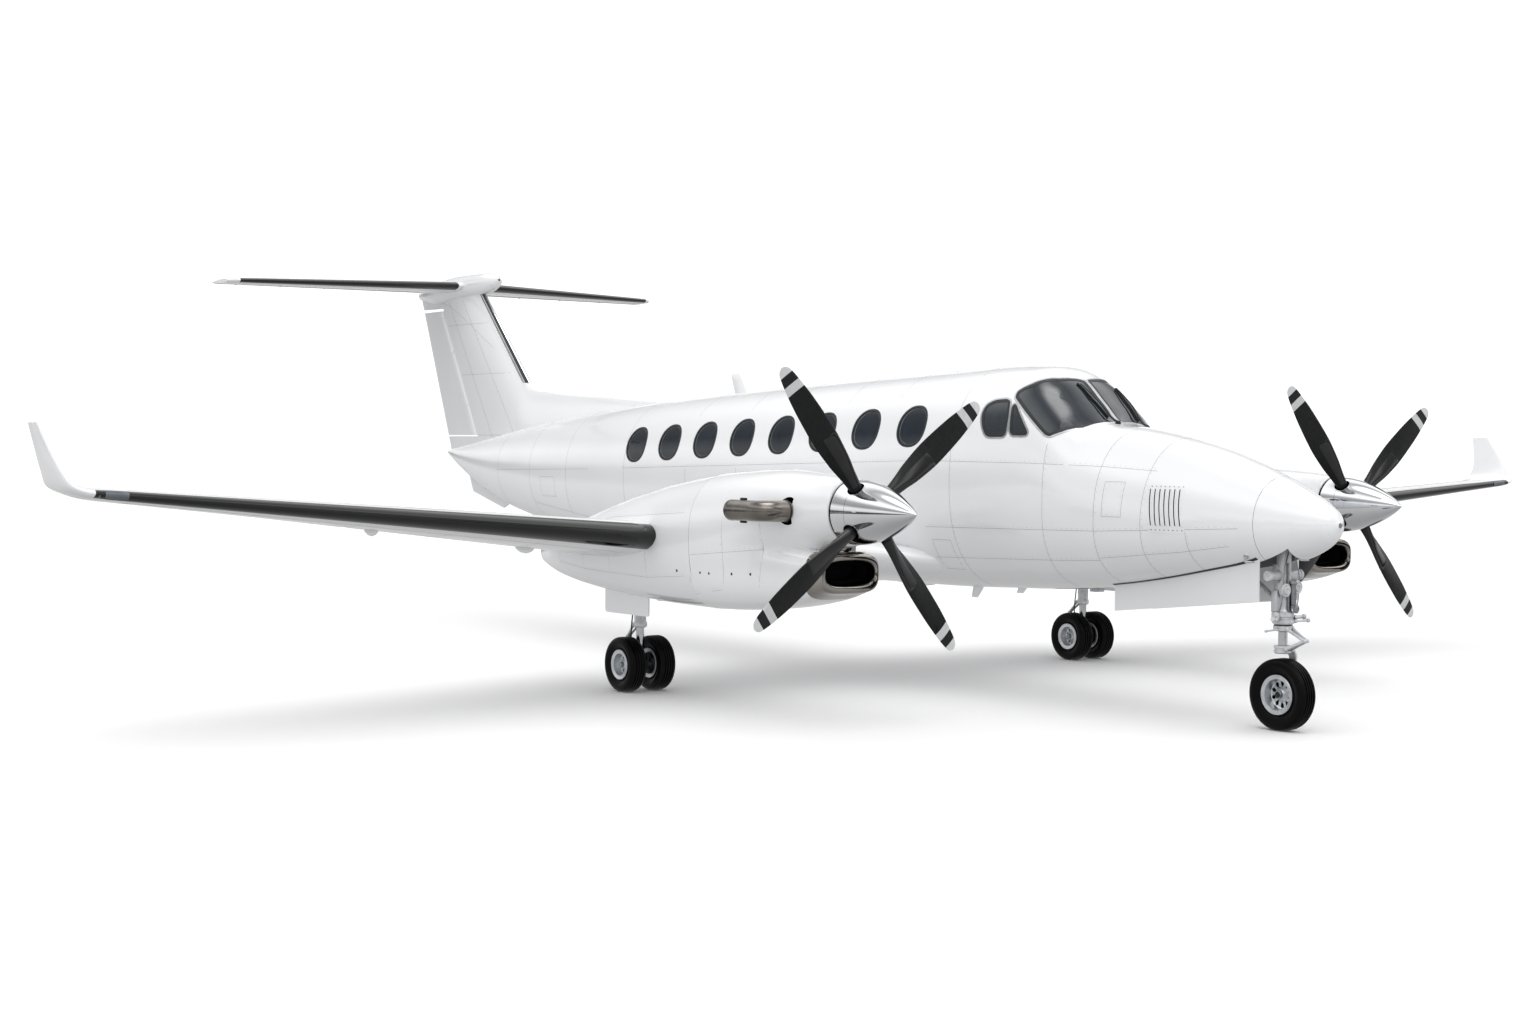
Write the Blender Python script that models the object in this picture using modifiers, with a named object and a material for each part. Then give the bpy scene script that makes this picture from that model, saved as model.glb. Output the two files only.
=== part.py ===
"""Twin turboprop airplane: low wing with winglets, T-tail and twin-wheel main gear, parked on its wheels.

X is the span, port side positive, -Y is the nose and Z is up. Stations run aft from a datum just
ahead of the nose, heights are above the ground, and everything is in metres.
"""
import math

import bmesh
import bpy
from mathutils import Matrix, Quaternion, Vector

# Driving sizes
NOSE_TIP = 0.33
TAIL_END = 15.40
MIDDLE = (NOSE_TIP + TAIL_END) / 2
SEAT = 0.0005
SKIN = 0.03
PANE = 0.02
HULL_SIDES = 32
ROUND = 20
WHEEL_STEPS = 20
SPINNER_STEPS = 20

# The fuselage's joints
RADOME_JOINT = 0.97
NOSE_JOINT = 2.30
TAIL_JOINT = 10.60
BULKHEAD = 0.10

# Engines and propellers
NACELLE_X = 2.78
SHAFT_Z = 1.67
FIREWALL = 4.35
COWL_FRONT = 2.69
PROP_STATION = 2.49
PROP_RADIUS = 1.36
BLADES = 4
BLADE_ANGLE = {"starboard": -38.0, "port": -40.0}
SPINNER_TIP = 1.945
SPINNER_REAR = 2.665
SPINNER_RADIUS = 0.25
SPINNER_WALL = 0.012
SHAFT_RADIUS = 0.055
ENGINE_RADIUS = 0.232
ENGINE_ROOM = 0.015
ENGINE_FRONT = 2.90
ENGINE_REAR = 4.32
EXHAUST_STATION = 3.12
EXHAUST_RADIUS = 0.09

# Landing gear
GEAR_X = 2.69
MAIN_STATION = 5.85
MAIN_TYRE = {"radius": 0.2415, "width": 0.171, "bead": 0.108, "hub": 0.045}
WHEEL_SPACING = 0.30
NOSE_STATION = 0.87
NOSE_TYRE = {"radius": 0.2795, "width": 0.171, "bead": 0.132, "hub": 0.05}
AXLE = 0.020
AXLE_PLAY = 0.0008
BAY_CEILING = 1.30
NOSE_BAY_CEILING = 1.45

# Fuselage sections: station, bottom, widest height, top, half width, upper power, lower power
FUSELAGE = (
    (0.33, 1.580, 1.60, 1.620, 0.020, 2.0, 2.0),
    (0.37, 1.500, 1.60, 1.690, 0.095, 2.0, 2.0),
    (0.47, 1.415, 1.60, 1.765, 0.175, 2.0, 2.0),
    (0.66, 1.330, 1.60, 1.860, 0.270, 2.0, 2.0),
    (0.97, 1.245, 1.60, 1.995, 0.375, 2.0, 2.1),
    (1.40, 1.180, 1.59, 2.145, 0.475, 2.0, 2.2),
    (1.90, 1.100, 1.58, 2.265, 0.565, 2.0, 2.3),
    (2.30, 1.045, 1.60, 2.335, 0.620, 2.2, 2.4),
    (2.64, 1.005, 1.64, 2.380, 0.660, 2.5, 2.4),
    (2.85, 0.985, 1.68, 2.550, 0.680, 2.9, 2.4),
    (3.07, 0.970, 1.72, 2.740, 0.700, 2.8, 2.4),
    (3.32, 0.955, 1.78, 2.865, 0.720, 2.5, 2.3),
    (3.70, 0.940, 1.85, 2.885, 0.745, 2.3, 2.3),
    (4.60, 0.910, 1.87, 2.850, 0.765, 2.3, 2.3),
    (6.50, 0.900, 1.85, 2.780, 0.765, 2.3, 2.3),
    (8.50, 0.930, 1.82, 2.690, 0.755, 2.3, 2.3),
    (9.60, 1.000, 1.82, 2.620, 0.720, 2.3, 2.2),
    (10.60, 1.100, 1.83, 2.550, 0.650, 2.2, 2.2),
    (11.60, 1.220, 1.86, 2.460, 0.540, 2.1, 2.1),
    (12.60, 1.370, 1.89, 2.350, 0.400, 2.0, 2.0),
    (13.50, 1.600, 1.95, 2.225, 0.260, 2.0, 2.0),
    (14.20, 1.870, 2.02, 2.130, 0.130, 2.0, 2.0),
    (14.58, 2.030, 2.06, 2.085, 0.030, 2.0, 2.0),
)

# Cowling and nacelle sections, with the same columns; the half width is from the nacelle's centre
COWLING = (
    (2.69, 1.410, 1.67, 1.930, 0.260, 2.0, 2.0),
    (3.00, 1.330, 1.65, 1.960, 0.315, 2.0, 2.0),
    (3.50, 1.150, 1.58, 1.985, 0.370, 2.1, 2.2),
    (4.00, 0.950, 1.50, 1.965, 0.395, 2.2, 2.5),
    (4.35, 0.825, 1.45, 1.940, 0.405, 2.2, 2.7),
)
SCOOP = (
    (2.72, 1.055, 1.20, 1.345, 0.275, 4.0, 4.0),
    (3.00, 0.965, 1.18, 1.380, 0.305, 3.6, 3.6),
    (3.50, 0.880, 1.20, 1.450, 0.345, 3.2, 3.2),
    (4.00, 0.840, 1.22, 1.480, 0.370, 3.0, 3.0),
    (4.35, 0.826, 1.24, 1.480, 0.385, 2.8, 2.8),
)
NACELLE = (
    (4.35, 0.825, 1.45, 1.940, 0.405, 2.2, 2.8),
    (5.00, 0.835, 1.38, 1.850, 0.400, 2.2, 3.0),
    (5.60, 0.860, 1.33, 1.730, 0.385, 2.2, 3.0),
    (6.20, 0.900, 1.28, 1.580, 0.345, 2.2, 2.8),
    (6.80, 0.965, 1.22, 1.400, 0.260, 2.1, 2.4),
    (7.20, 1.050, 1.17, 1.260, 0.140, 2.0, 2.0),
    (7.35, 1.105, 1.14, 1.175, 0.030, 2.0, 2.0),
)
BULLET = (
    (13.30, 4.150, 4.17, 4.190, 0.015, 2.0, 2.0),
    (13.38, 4.075, 4.16, 4.235, 0.080, 2.0, 2.0),
    (13.60, 4.015, 4.15, 4.270, 0.125, 2.0, 2.0),
    (14.20, 3.980, 4.13, 4.270, 0.145, 2.0, 2.0),
    (14.90, 3.940, 4.10, 4.220, 0.110, 2.0, 2.0),
    (15.40, 4.030, 4.09, 4.140, 0.025, 2.0, 2.0),
)

# Wing sections: span position, leading edge station, height, chord, thickness ratio, cant and
# incidence in degrees
WING_ROOT = (
    (0.45, 4.22, 1.155, 2.95, 0.10, 5.0, 4.0),
    (1.15, 4.80, 1.235, 2.18, 0.145, 5.0, 4.5),
    (2.68, 4.86, 1.372, 2.09, 0.15, 5.0, 5.0),
)
WING_OUTER = (
    (2.90, 4.86, 1.395, 2.05, 0.15, 5.0, 5.0),
    (7.80, 4.58, 1.795, 0.74, 0.13, 5.0, 1.5),
    (8.00, 4.57, 1.812, 0.68, 0.12, 12.0, 1.0),
    (8.12, 4.62, 1.860, 0.59, 0.11, 45.0, 0.5),
    (8.17, 4.72, 1.965, 0.46, 0.10, 74.0, 0.0),
    (8.24, 5.03, 2.305, 0.21, 0.10, 78.0, 0.0),
)
TAILPLANE = (
    (0.02, 13.93, 4.130, 1.36, 0.10, 0.0, 0.5),
    (2.90, 14.44, 4.095, 0.70, 0.10, 0.0, 0.5),
    (2.98, 14.55, 4.095, 0.52, 0.09, 0.0, 0.5),
)
# Fin sections: height, leading edge station, chord, thickness ratio
FIN = (
    (2.02, 11.64, 2.857, 0.082),
    (4.11, 13.75, 1.64, 0.078),
)
# Outline of the foil: share of the chord, half thickness as a share of the greatest thickness
FOIL = ((0.0, 0.0), (0.012, 0.16), (0.04, 0.29), (0.10, 0.41), (0.20, 0.48), (0.32, 0.50),
        (0.48, 0.455), (0.64, 0.345), (0.74, 0.255), (0.86, 0.145), (1.0, 0.012))

# Hinged surfaces: inner and outer end as shares of the first straight panel, hinge as a share of the
# chord, and the play past each end. The rudder's axis leans aft, so its top rises as it turns.
FLAP = {"inner": 0.095, "outer": 0.545, "hinge": 0.72, "play": (0.010, 0.010)}
AILERON = {"inner": 0.56, "outer": 0.965, "hinge": 0.72, "play": (0.010, 0.010)}
ELEVATOR = {"inner": 0.075, "outer": 0.96, "hinge": 0.68, "play": (0.010, 0.010)}
RUDDER = {"inner": 0.12, "outer": 0.875, "hinge": 0.70, "play": (0.012, 0.032)}
COVE = 0.008
HINGE_PIN = 0.008

# Flight deck windows as seen from ahead (x, z) and from the side (station, z)
WINDSHIELD = ((0.022, 2.405), (0.32, 2.355), (0.555, 2.275), (0.56, 2.33), (0.475, 2.575),
              (0.43, 2.615), (0.24, 2.70), (0.022, 2.735))
SIDE_WINDOWS = {
    "front": ((2.985, 2.275), (3.20, 2.275), (3.285, 2.55), (3.255, 2.575), (3.225, 2.56)),
    "rear": ((3.265, 2.275), (3.42, 2.275), (3.52, 2.31), (3.57, 2.41), (3.53, 2.52),
             (3.44, 2.60), (3.36, 2.60)),
}
WINDOW_PLAY = 0.001
# The post between windshield and side window: its front edge's station at the sill, and its rake
WINDOW_SILL = 2.275
POST_FOOT = 2.925
POST_RAKE = 0.87

# The airstair door on the port side: its stations and heights, and its play on each side
DOOR = {"front": 9.34, "rear": 10.02, "sill": 1.26, "head": 2.42, "corner": 0.10}
DOOR_PLAY = 0.010
DOOR_HEAD_PLAY = 0.022
STEPS = 4
DOOR_KNUCKLE = 0.008

# Jack pads: where each stands, its half width and the height of its flat underside
NOSE_JACK = {"x": 0.0, "station": 2.90, "underside": 0.955, "top": 1.00}
WING_JACK = {"x": 2.00, "station": 5.50, "underside": 1.060, "top": 1.20}
JACK_HALF = 0.045

SIDES = {"starboard": -1.0, "port": 1.0}

parts = bpy.data.collections.new("turboprop_airplane")
tools = bpy.data.collections.new("cutters")


def clear_scene():
    """Remove whatever the file holds and link the two collections."""
    for thing in list(bpy.data.objects):
        bpy.data.objects.remove(thing, do_unlink=True)
    bpy.context.scene.collection.children.link(parts)
    bpy.context.scene.collection.children.link(tools)


def at(x, station, height):
    """A point from its span position, station and height."""
    return Vector((x, station - MIDDLE, height))


# Materials: name, colour, roughness, metallic
FINISHES = {
    "white_paint": ((0.90, 0.90, 0.90), 0.12, 0.0),
    "glass": ((0.10, 0.13, 0.16), 0.05, 0.0),
    "graphite_blade": ((0.045, 0.045, 0.05), 0.35, 0.0),
    "chrome": ((0.85, 0.85, 0.86), 0.08, 1.0),
    "heat_steel": ((0.38, 0.31, 0.26), 0.30, 1.0),
    "engine_steel": ((0.35, 0.35, 0.36), 0.45, 1.0),
    "gear_grey": ((0.62, 0.63, 0.64), 0.35, 0.6),
    "wheel_alloy": ((0.72, 0.73, 0.74), 0.30, 0.8),
    "tyre": ((0.03, 0.03, 0.03), 0.75, 0.0),
    "deck_grey": ((0.20, 0.20, 0.21), 0.60, 0.0),
}


def material(name):
    """The named finish, made once."""
    known = bpy.data.materials.get(name)
    if known:
        return known
    colour, roughness, metallic = FINISHES[name]
    made = bpy.data.materials.new(name)
    made.use_nodes = True
    shader = made.node_tree.nodes["Principled BSDF"]
    shader.inputs["Base Color"].default_value = (*colour, 1.0)
    shader.inputs["Roughness"].default_value = roughness
    shader.inputs["Metallic"].default_value = metallic
    made.diffuse_color = (*colour, 1.0)
    return made


def add_part(name, mesh, finish):
    """Link a mesh as a named sub-part with its finish, shaded smooth."""
    thing = bpy.data.objects.new(name, mesh)
    parts.objects.link(thing)
    thing.data.materials.clear()
    thing.data.materials.append(material(finish))
    mesh.shade_smooth()
    mesh.set_sharp_from_angle(angle=math.radians(35))
    return thing


def add_tool(name, mesh):
    """Link a mesh as a hidden cutter or as a piece to be joined."""
    thing = bpy.data.objects.new(name, mesh)
    tools.objects.link(thing)
    thing.hide_render = True
    thing.display_type = "WIRE"
    return thing


def set_origin(thing, pivot):
    """Put a moving piece's origin on its joint's axis and leave its shape where it is."""
    thing.data.transform(Matrix.Translation(-pivot))
    thing.location = pivot


def boolean(target, other, operation):
    """Add an exact Boolean to the target."""
    change = target.modifiers.new(other.name, "BOOLEAN")
    change.operation = operation
    change.solver = "EXACT"
    change.object = other
    return target


def cut(target, *others):
    for other in others:
        boolean(target, other, "DIFFERENCE")
    return target


def join(target, *others):
    for other in others:
        boolean(target, other, "UNION")
    return target


def keep(target, other):
    return boolean(target, other, "INTERSECT")


def mesh_from(build, name):
    """Make a mesh with bmesh and turn its faces outwards."""
    shape = bmesh.new()
    build(shape)
    bmesh.ops.recalc_face_normals(shape, faces=shape.faces)
    mesh = bpy.data.meshes.new(name)
    shape.to_mesh(mesh)
    shape.free()
    return mesh


def skin_between(shape, near, far):
    """Triangles between two rows of corners, split the same way each time so that copies match."""
    for i in range(len(near)):
        j = (i + 1) % len(near)
        shape.faces.new((near[i], near[j], far[j]))
        shape.faces.new((near[i], far[j], far[i]))


def loft(name, rings):
    """A skin over rings of equal length, capped at both ends."""
    def build(shape):
        rows = [[shape.verts.new(point) for point in ring] for ring in rings]
        for near, far in zip(rows, rows[1:]):
            skin_between(shape, near, far)
        shape.faces.new(rows[0])
        shape.faces.new(rows[-1])
    return mesh_from(build, name)


def box(name, low, high):
    """An upright box from its lowest and highest corners."""
    size = Vector(high) - Vector(low)
    centre = (Vector(high) + Vector(low)) / 2

    def build(shape):
        bmesh.ops.create_cube(shape, size=1.0)
        bmesh.ops.scale(shape, vec=size, verts=shape.verts)
        bmesh.ops.translate(shape, vec=centre, verts=shape.verts)
    return mesh_from(build, name)


def rod(name, start, end, radius, sides=ROUND, end_radius=None):
    """A round bar, or a cone, between two points."""
    start = Vector(start)
    along = Vector(end) - start
    turn = along.to_track_quat("Z", "Y").to_matrix().to_4x4()

    def build(shape):
        bmesh.ops.create_cone(
            shape, cap_ends=True, segments=sides, radius1=radius,
            radius2=radius if end_radius is None else end_radius, depth=along.length,
            matrix=Matrix.Translation(start + along / 2) @ turn)
    return mesh_from(build, name)


def bar(name, start, end, width, depth, across=Vector((1, 0, 0))):
    """A flat bar between two points, width along the across direction."""
    start = Vector(start)
    end = Vector(end)
    along = (end - start).normalized()
    side = (across - along * across.dot(along)).normalized() * width / 2
    face = along.cross(side).normalized() * depth / 2
    rings = [[point + side + face, point - side + face, point - side - face, point + side - face]
             for point in (start, end)]
    return loft(name, rings)


def prism(name, outline, direction, near, far):
    """A flat outline swept along X between two limits, or along Y back to the windshield's post."""
    if direction == "x":
        rings = [[at(x, station, height) for station, height in outline] for x in (near, far)]
    else:
        rings = [[at(x, near, height) for x, height in outline],
                 [at(x, far + POST_RAKE * (height - WINDOW_SILL), height) for x, height in outline]]
    return loft(name, rings)


def turned(name, profile, centre, axis, finish, steps, on_flats=False):
    """A profile of (radius, distance along the axis), turned with a Screw modifier.

    The profile runs from the far end of the axis to its near end on the outer side. On flats, the
    facets lie at the profile's radii and one of them faces straight down, as a wheel stands.
    """
    half_step = math.pi / steps if on_flats else 0.0
    profile = [(radius / math.cos(half_step), along) for radius, along in profile]
    mesh = bpy.data.meshes.new(name)
    points = [(radius, 0.0, along) for radius, along in profile]
    edges = [(i, i + 1) for i in range(len(points) - 1)]
    if profile[0][0] > 0 or profile[-1][0] > 0:
        edges.append((len(points) - 1, 0))
    mesh.from_pydata(points, edges, [])
    thing = add_part(name, mesh, finish)
    screw = thing.modifiers.new("turned", "SCREW")
    screw.axis = "Z"
    screw.steps = steps
    screw.render_steps = steps
    screw.use_merge_vertices = True
    screw.merge_threshold = 0.00001
    screw.use_smooth_shade = True
    thing.rotation_mode = "QUATERNION"
    thing.rotation_quaternion = Vector(axis).to_track_quat("Z", "Y") @ Quaternion((0, 0, 1), half_step)
    thing.location = centre
    return thing


def slopes(stations, values):
    """Slopes for a smooth curve through a column that never overshoots it."""
    steps = [b - a for a, b in zip(stations, stations[1:])]
    rises = [(b - a) / step for a, b, step in zip(values, values[1:], steps)]
    result = [rises[0]]
    for i in range(1, len(values) - 1):
        before = rises[i - 1]
        after = rises[i]
        if before * after <= 0:
            result.append(0.0)
        else:
            first = 2 * steps[i] + steps[i - 1]
            second = steps[i] + 2 * steps[i - 1]
            result.append((first + second) / (first / before + second / after))
    result.append(rises[-1])
    return result


def section_at(table, station):
    """Read a table of sections at any station, smoothly."""
    stations = [row[0] for row in table]
    index = 0
    while index < len(stations) - 2 and station > stations[index + 1]:
        index += 1
    step = stations[index + 1] - stations[index]
    u = (station - stations[index]) / step
    row = [station]
    for column in range(1, len(table[0])):
        values = [line[column] for line in table]
        slope = slopes(stations, values)
        row.append(values[index] * (2 * u**3 - 3 * u**2 + 1)
                   + step * slope[index] * (u**3 - 2 * u**2 + u)
                   + values[index + 1] * (3 * u**2 - 2 * u**3)
                   + step * slope[index + 1] * (u**3 - u**2))
    return row


def hull_ring(row, x_centre=0.0, grow=0.0, sides=HULL_SIDES):
    """The outline of one section, grown or, when negative, shrunk."""
    station, bottom, widest, top, half_width, upper, lower = row
    points = []
    for i in range(sides):
        angle = 2 * math.pi * i / sides
        c = math.cos(angle)
        s = math.sin(angle)
        power = upper if s >= 0 else lower
        reach = (top - widest if s >= 0 else widest - bottom) + grow
        x = (half_width + grow) * math.copysign(abs(c) ** (2 / power), c)
        z = widest + reach * math.copysign(abs(s) ** (2 / power), s)
        points.append(at(x_centre + x, station, z))
    return points


def stations_between(table, start, end):
    """The table's stations inside a stretch, with its two ends."""
    inner = [row[0] for row in table if start + 0.02 < row[0] < end - 0.02]
    return [start, *inner, end]


def hull(table, start, end, x_centre=0.0, grow=0.0, sides=HULL_SIDES):
    """The rings of a body between two stations."""
    return [hull_ring(section_at(table, station), x_centre, grow, sides)
            for station in stations_between(table, start, end)]


def skin_x(table, station, height):
    """Half the body's width at a station and a height."""
    _, bottom, widest, top, half_width, upper, lower = section_at(table, station)
    above = height >= widest
    power = upper if above else lower
    reach = top - widest if above else widest - bottom
    share = min(abs(height - widest) / reach, 1.0)
    return half_width * (1 - share**power) ** (1 / power)


def foil_ring(side, row):
    """A wing section: the leading edge, the upper side to the trailing edge and the lower side back."""
    x, station, height, chord, thickness, cant, incidence = row
    lean = math.radians(cant)
    pitch = math.radians(incidence)
    up = Vector((-math.sin(lean) * side, 0, math.cos(lean)))
    aft = Vector((0, math.cos(pitch), 0)) - up * math.sin(pitch)
    nose = at(side * x, station, height)
    upper = [nose + aft * c * chord + up * h * thickness * chord for c, h in FOIL]
    lower = [nose + aft * c * chord - up * h * thickness * chord for c, h in FOIL[:0:-1]]
    return upper + lower


def wing_panel(name, side, table):
    return loft(name, [foil_ring(side, row) for row in table])


def fin_ring(row):
    """An upright section, thick along X."""
    height, station, chord, thickness = row
    nose = at(0, station, height)
    left = [nose + Vector((h * thickness * chord, c * chord, 0)) for c, h in FOIL]
    right = [nose + Vector((-h * thickness * chord, c * chord, 0)) for c, h in FOIL[:0:-1]]
    return left + right


def hinge_frame(inner, outer, plan):
    """The two ends of a surface's hinge line between two foil rings, each with the half thickness there."""
    count = len(FOIL)
    shares = [c for c, _ in FOIL]
    index = max(i for i in range(count) if shares[i] <= plan["hinge"])
    weight = (plan["hinge"] - shares[index]) / (shares[index + 1] - shares[index])

    def on_ring(ring, step):
        """A point at the hinge's chord share on the upper side, or on the lower side."""
        a, b = (index, index + 1) if step > 0 else (-index, -(index + 1))
        return ring[a].lerp(ring[b], weight)
    ends = []
    for share in (plan["inner"], plan["outer"]):
        ring = [a.lerp(b, share) for a, b in zip(inner, outer)]
        top = on_ring(ring, 1)
        bottom = on_ring(ring, -1)
        ends.append(((top + bottom) / 2, (top - bottom).length / 2))
    return ends


def hinged_surface(name, inner, outer, plan, finish, square_ends=True):
    """A control surface with a round nose about its hinge, and the cutter for its place in the wing."""
    (start, start_radius), (end, end_radius) = hinge_frame(inner, outer, plan)
    axis = (end - start).normalized()
    normal = axis if square_ends else (outer[0] - inner[0]).cross(Vector((0, 1, 0))).cross(
        Vector((0, 1, 0))).normalized()
    if normal.dot(axis) < 0:
        normal = -normal
    aft = (Vector((0, 1, 0)) - axis * axis.y).normalized()
    up = axis.cross(aft)
    tail = [i for i in range(len(FOIL)) if FOIL[i][0] > plan["hinge"] + 0.04]

    def slide(point_in, point_out, origin):
        """Where the line between two like points crosses the end plane."""
        along = point_out - point_in
        return point_in + along * ((origin - point_in).dot(normal) / along.dot(normal))
    rings = []
    for origin, radius in ((start, start_radius), (end, end_radius)):
        upper_first = slide(inner[tail[0]], outer[tail[0]], origin)
        lift = 1.0 if (upper_first - origin).dot(up) > 0 else -1.0
        nose = []
        for step in range(7):
            angle = math.radians(90 + 30 * step)
            spoke = aft * math.cos(angle) * radius + up * math.sin(angle) * radius * lift
            point = origin + spoke
            point -= axis * ((point - origin).dot(normal) / axis.dot(normal))
            nose.append(point)
        top = [slide(inner[i], outer[i], origin) for i in tail]
        low = [slide(inner[-i], outer[-i], origin) for i in tail]
        rings.append(top[::-1] + nose + low)
    surface = add_part(name, loft(name, rings), finish)

    # A pin on the hinge line at each end reaches the wall of its place
    square = min(normal.dot(axis), 1.0)
    pin_loss = HINGE_PIN * math.tan(math.acos(square)) + SEAT / square
    play = plan["play"]
    for end_name, point, way, room in (("inner", start, -1.0, play[0]), ("outer", end, 1.0, play[1])):
        pin_reach = room / square**2 - pin_loss
        pin = rod(f"{name}_{end_name}_pin", point - axis * way * 0.05, point + axis * way * pin_reach,
                  HINGE_PIN, 12)
        join(surface, add_tool(pin.name, pin))

    # The place is a wedge just clear of the nose, past the trailing edge and past both ends
    reach = max(start_radius, end_radius) * 3
    chord = (inner[len(FOIL) - 1] - start).length + 0.6
    corners = []
    for origin, radius, push in ((start, start_radius, -play[0]), (end, end_radius, play[1])):
        seat = origin + normal * push / max(axis.dot(normal), 0.5)
        corners.append([seat + aft * (-radius - COVE) + up * reach, seat + aft * chord + up * reach,
                        seat + aft * chord - up * reach, seat + aft * (-radius - COVE) - up * reach])
        if not square_ends:
            corners[-1] = [p - axis * ((p - seat).dot(normal) / axis.dot(normal)) for p in corners[-1]]
    place = add_tool(name + "_place", loft(name + "_place", corners))
    set_origin(surface, start)
    return surface, place


def rounded(outline, radius, steps=3):
    """Round the corners of a flat outline of two-number points."""
    result = []
    count = len(outline)
    for i in range(count):
        before = Vector(outline[i - 1])
        corner = Vector(outline[i])
        after = Vector(outline[(i + 1) % count])
        start = corner + (before - corner).normalized() * radius
        end = corner + (after - corner).normalized() * radius
        for step in range(steps + 1):
            t = step / steps
            result.append(tuple(start * (1 - t) ** 2 + corner * 2 * t * (1 - t) + end * t**2))
    return result


def grown(outline, by):
    """Move each point of an outline away from its centre by about the same amount."""
    centre = sum((Vector(p) for p in outline), Vector((0, 0))) / len(outline)
    return [tuple(Vector(p) + (Vector(p) - centre).normalized() * by) for p in outline]


def make_radome():
    piece = add_part("radome", loft("radome", hull(FUSELAGE, NOSE_TIP, RADOME_JOINT - SEAT)), "white_paint")
    return cut(piece, bpy.data.objects["nose_bay"])


def make_nose_section():
    mesh = loft("nose_section", hull(FUSELAGE, RADOME_JOINT, NOSE_JOINT - SEAT))
    return cut(add_part("nose_section", mesh, "white_paint"), bpy.data.objects["nose_bay"])


def window_outlines():
    """Name, sweep direction, near and far limits and outline of each flight deck window."""
    found = []
    for side, sign in SIDES.items():
        front = [(sign * x, z) for x, z in WINDSHIELD]
        found.append(("windshield_" + side, "y", NOSE_JOINT + 0.08, POST_FOOT, front))
        for place, outline in SIDE_WINDOWS.items():
            found.append((f"side_window_{place}_{side}", "x", sign * 0.36, sign * 0.90, list(outline)))
    return found


def make_windows_and_cabin():
    """The cabin's shell with its flight deck windows cut, a pane in each, and the airstair doorway."""
    outer = hull(FUSELAGE, NOSE_JOINT, TAIL_JOINT - SEAT)
    stations = stations_between(FUSELAGE, NOSE_JOINT, TAIL_JOINT - BULKHEAD)
    inner = [hull_ring(section_at(FUSELAGE, station), grow=-SKIN) for station in stations]

    def build(shape):
        walls = [[[shape.verts.new(point) for point in ring] for ring in rings] for rings in (outer, inner)]
        for rows in walls:
            for near, far in zip(rows, rows[1:]):
                skin_between(shape, near, far)
            shape.faces.new(rows[-1])
        skin_between(shape, walls[0][0], walls[1][0])
    cabin = add_part("cabin", mesh_from(build, "cabin"), "white_paint")
    join(cabin, jack_pad("jack_pad_nose", 1.0, NOSE_JACK))

    glazed = (NOSE_JOINT + 0.05, 3.90)
    for name, direction, near, far, outline in window_outlines():
        cut(cabin, add_tool(name + "_hole", prism(name + "_hole", outline, direction, near, far)))
        rings = hull(FUSELAGE, *glazed)
        pane = add_part(name, loft(name, rings), "glass")
        inside = [hull_ring(section_at(FUSELAGE, station), grow=-PANE)
                  for station in stations_between(FUSELAGE, glazed[0] - 0.01, glazed[1] + 0.01)]
        smaller = grown(outline, -WINDOW_PLAY)
        edge = prism(name + "_edge", smaller, direction, near, far - WINDOW_PLAY)
        keep(pane, add_tool(name + "_edge", edge))
        cut(pane, add_tool(name + "_inside", loft(name + "_inside", inside)))
    return cabin


def door_outline(shrink, shrink_head):
    low = DOOR["sill"] + shrink
    high = DOOR["head"] - shrink_head
    front = DOOR["front"] + shrink
    rear = DOOR["rear"] - shrink
    return rounded([(front, low), (rear, low), (rear, high), (front, high)], DOOR["corner"])


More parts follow.
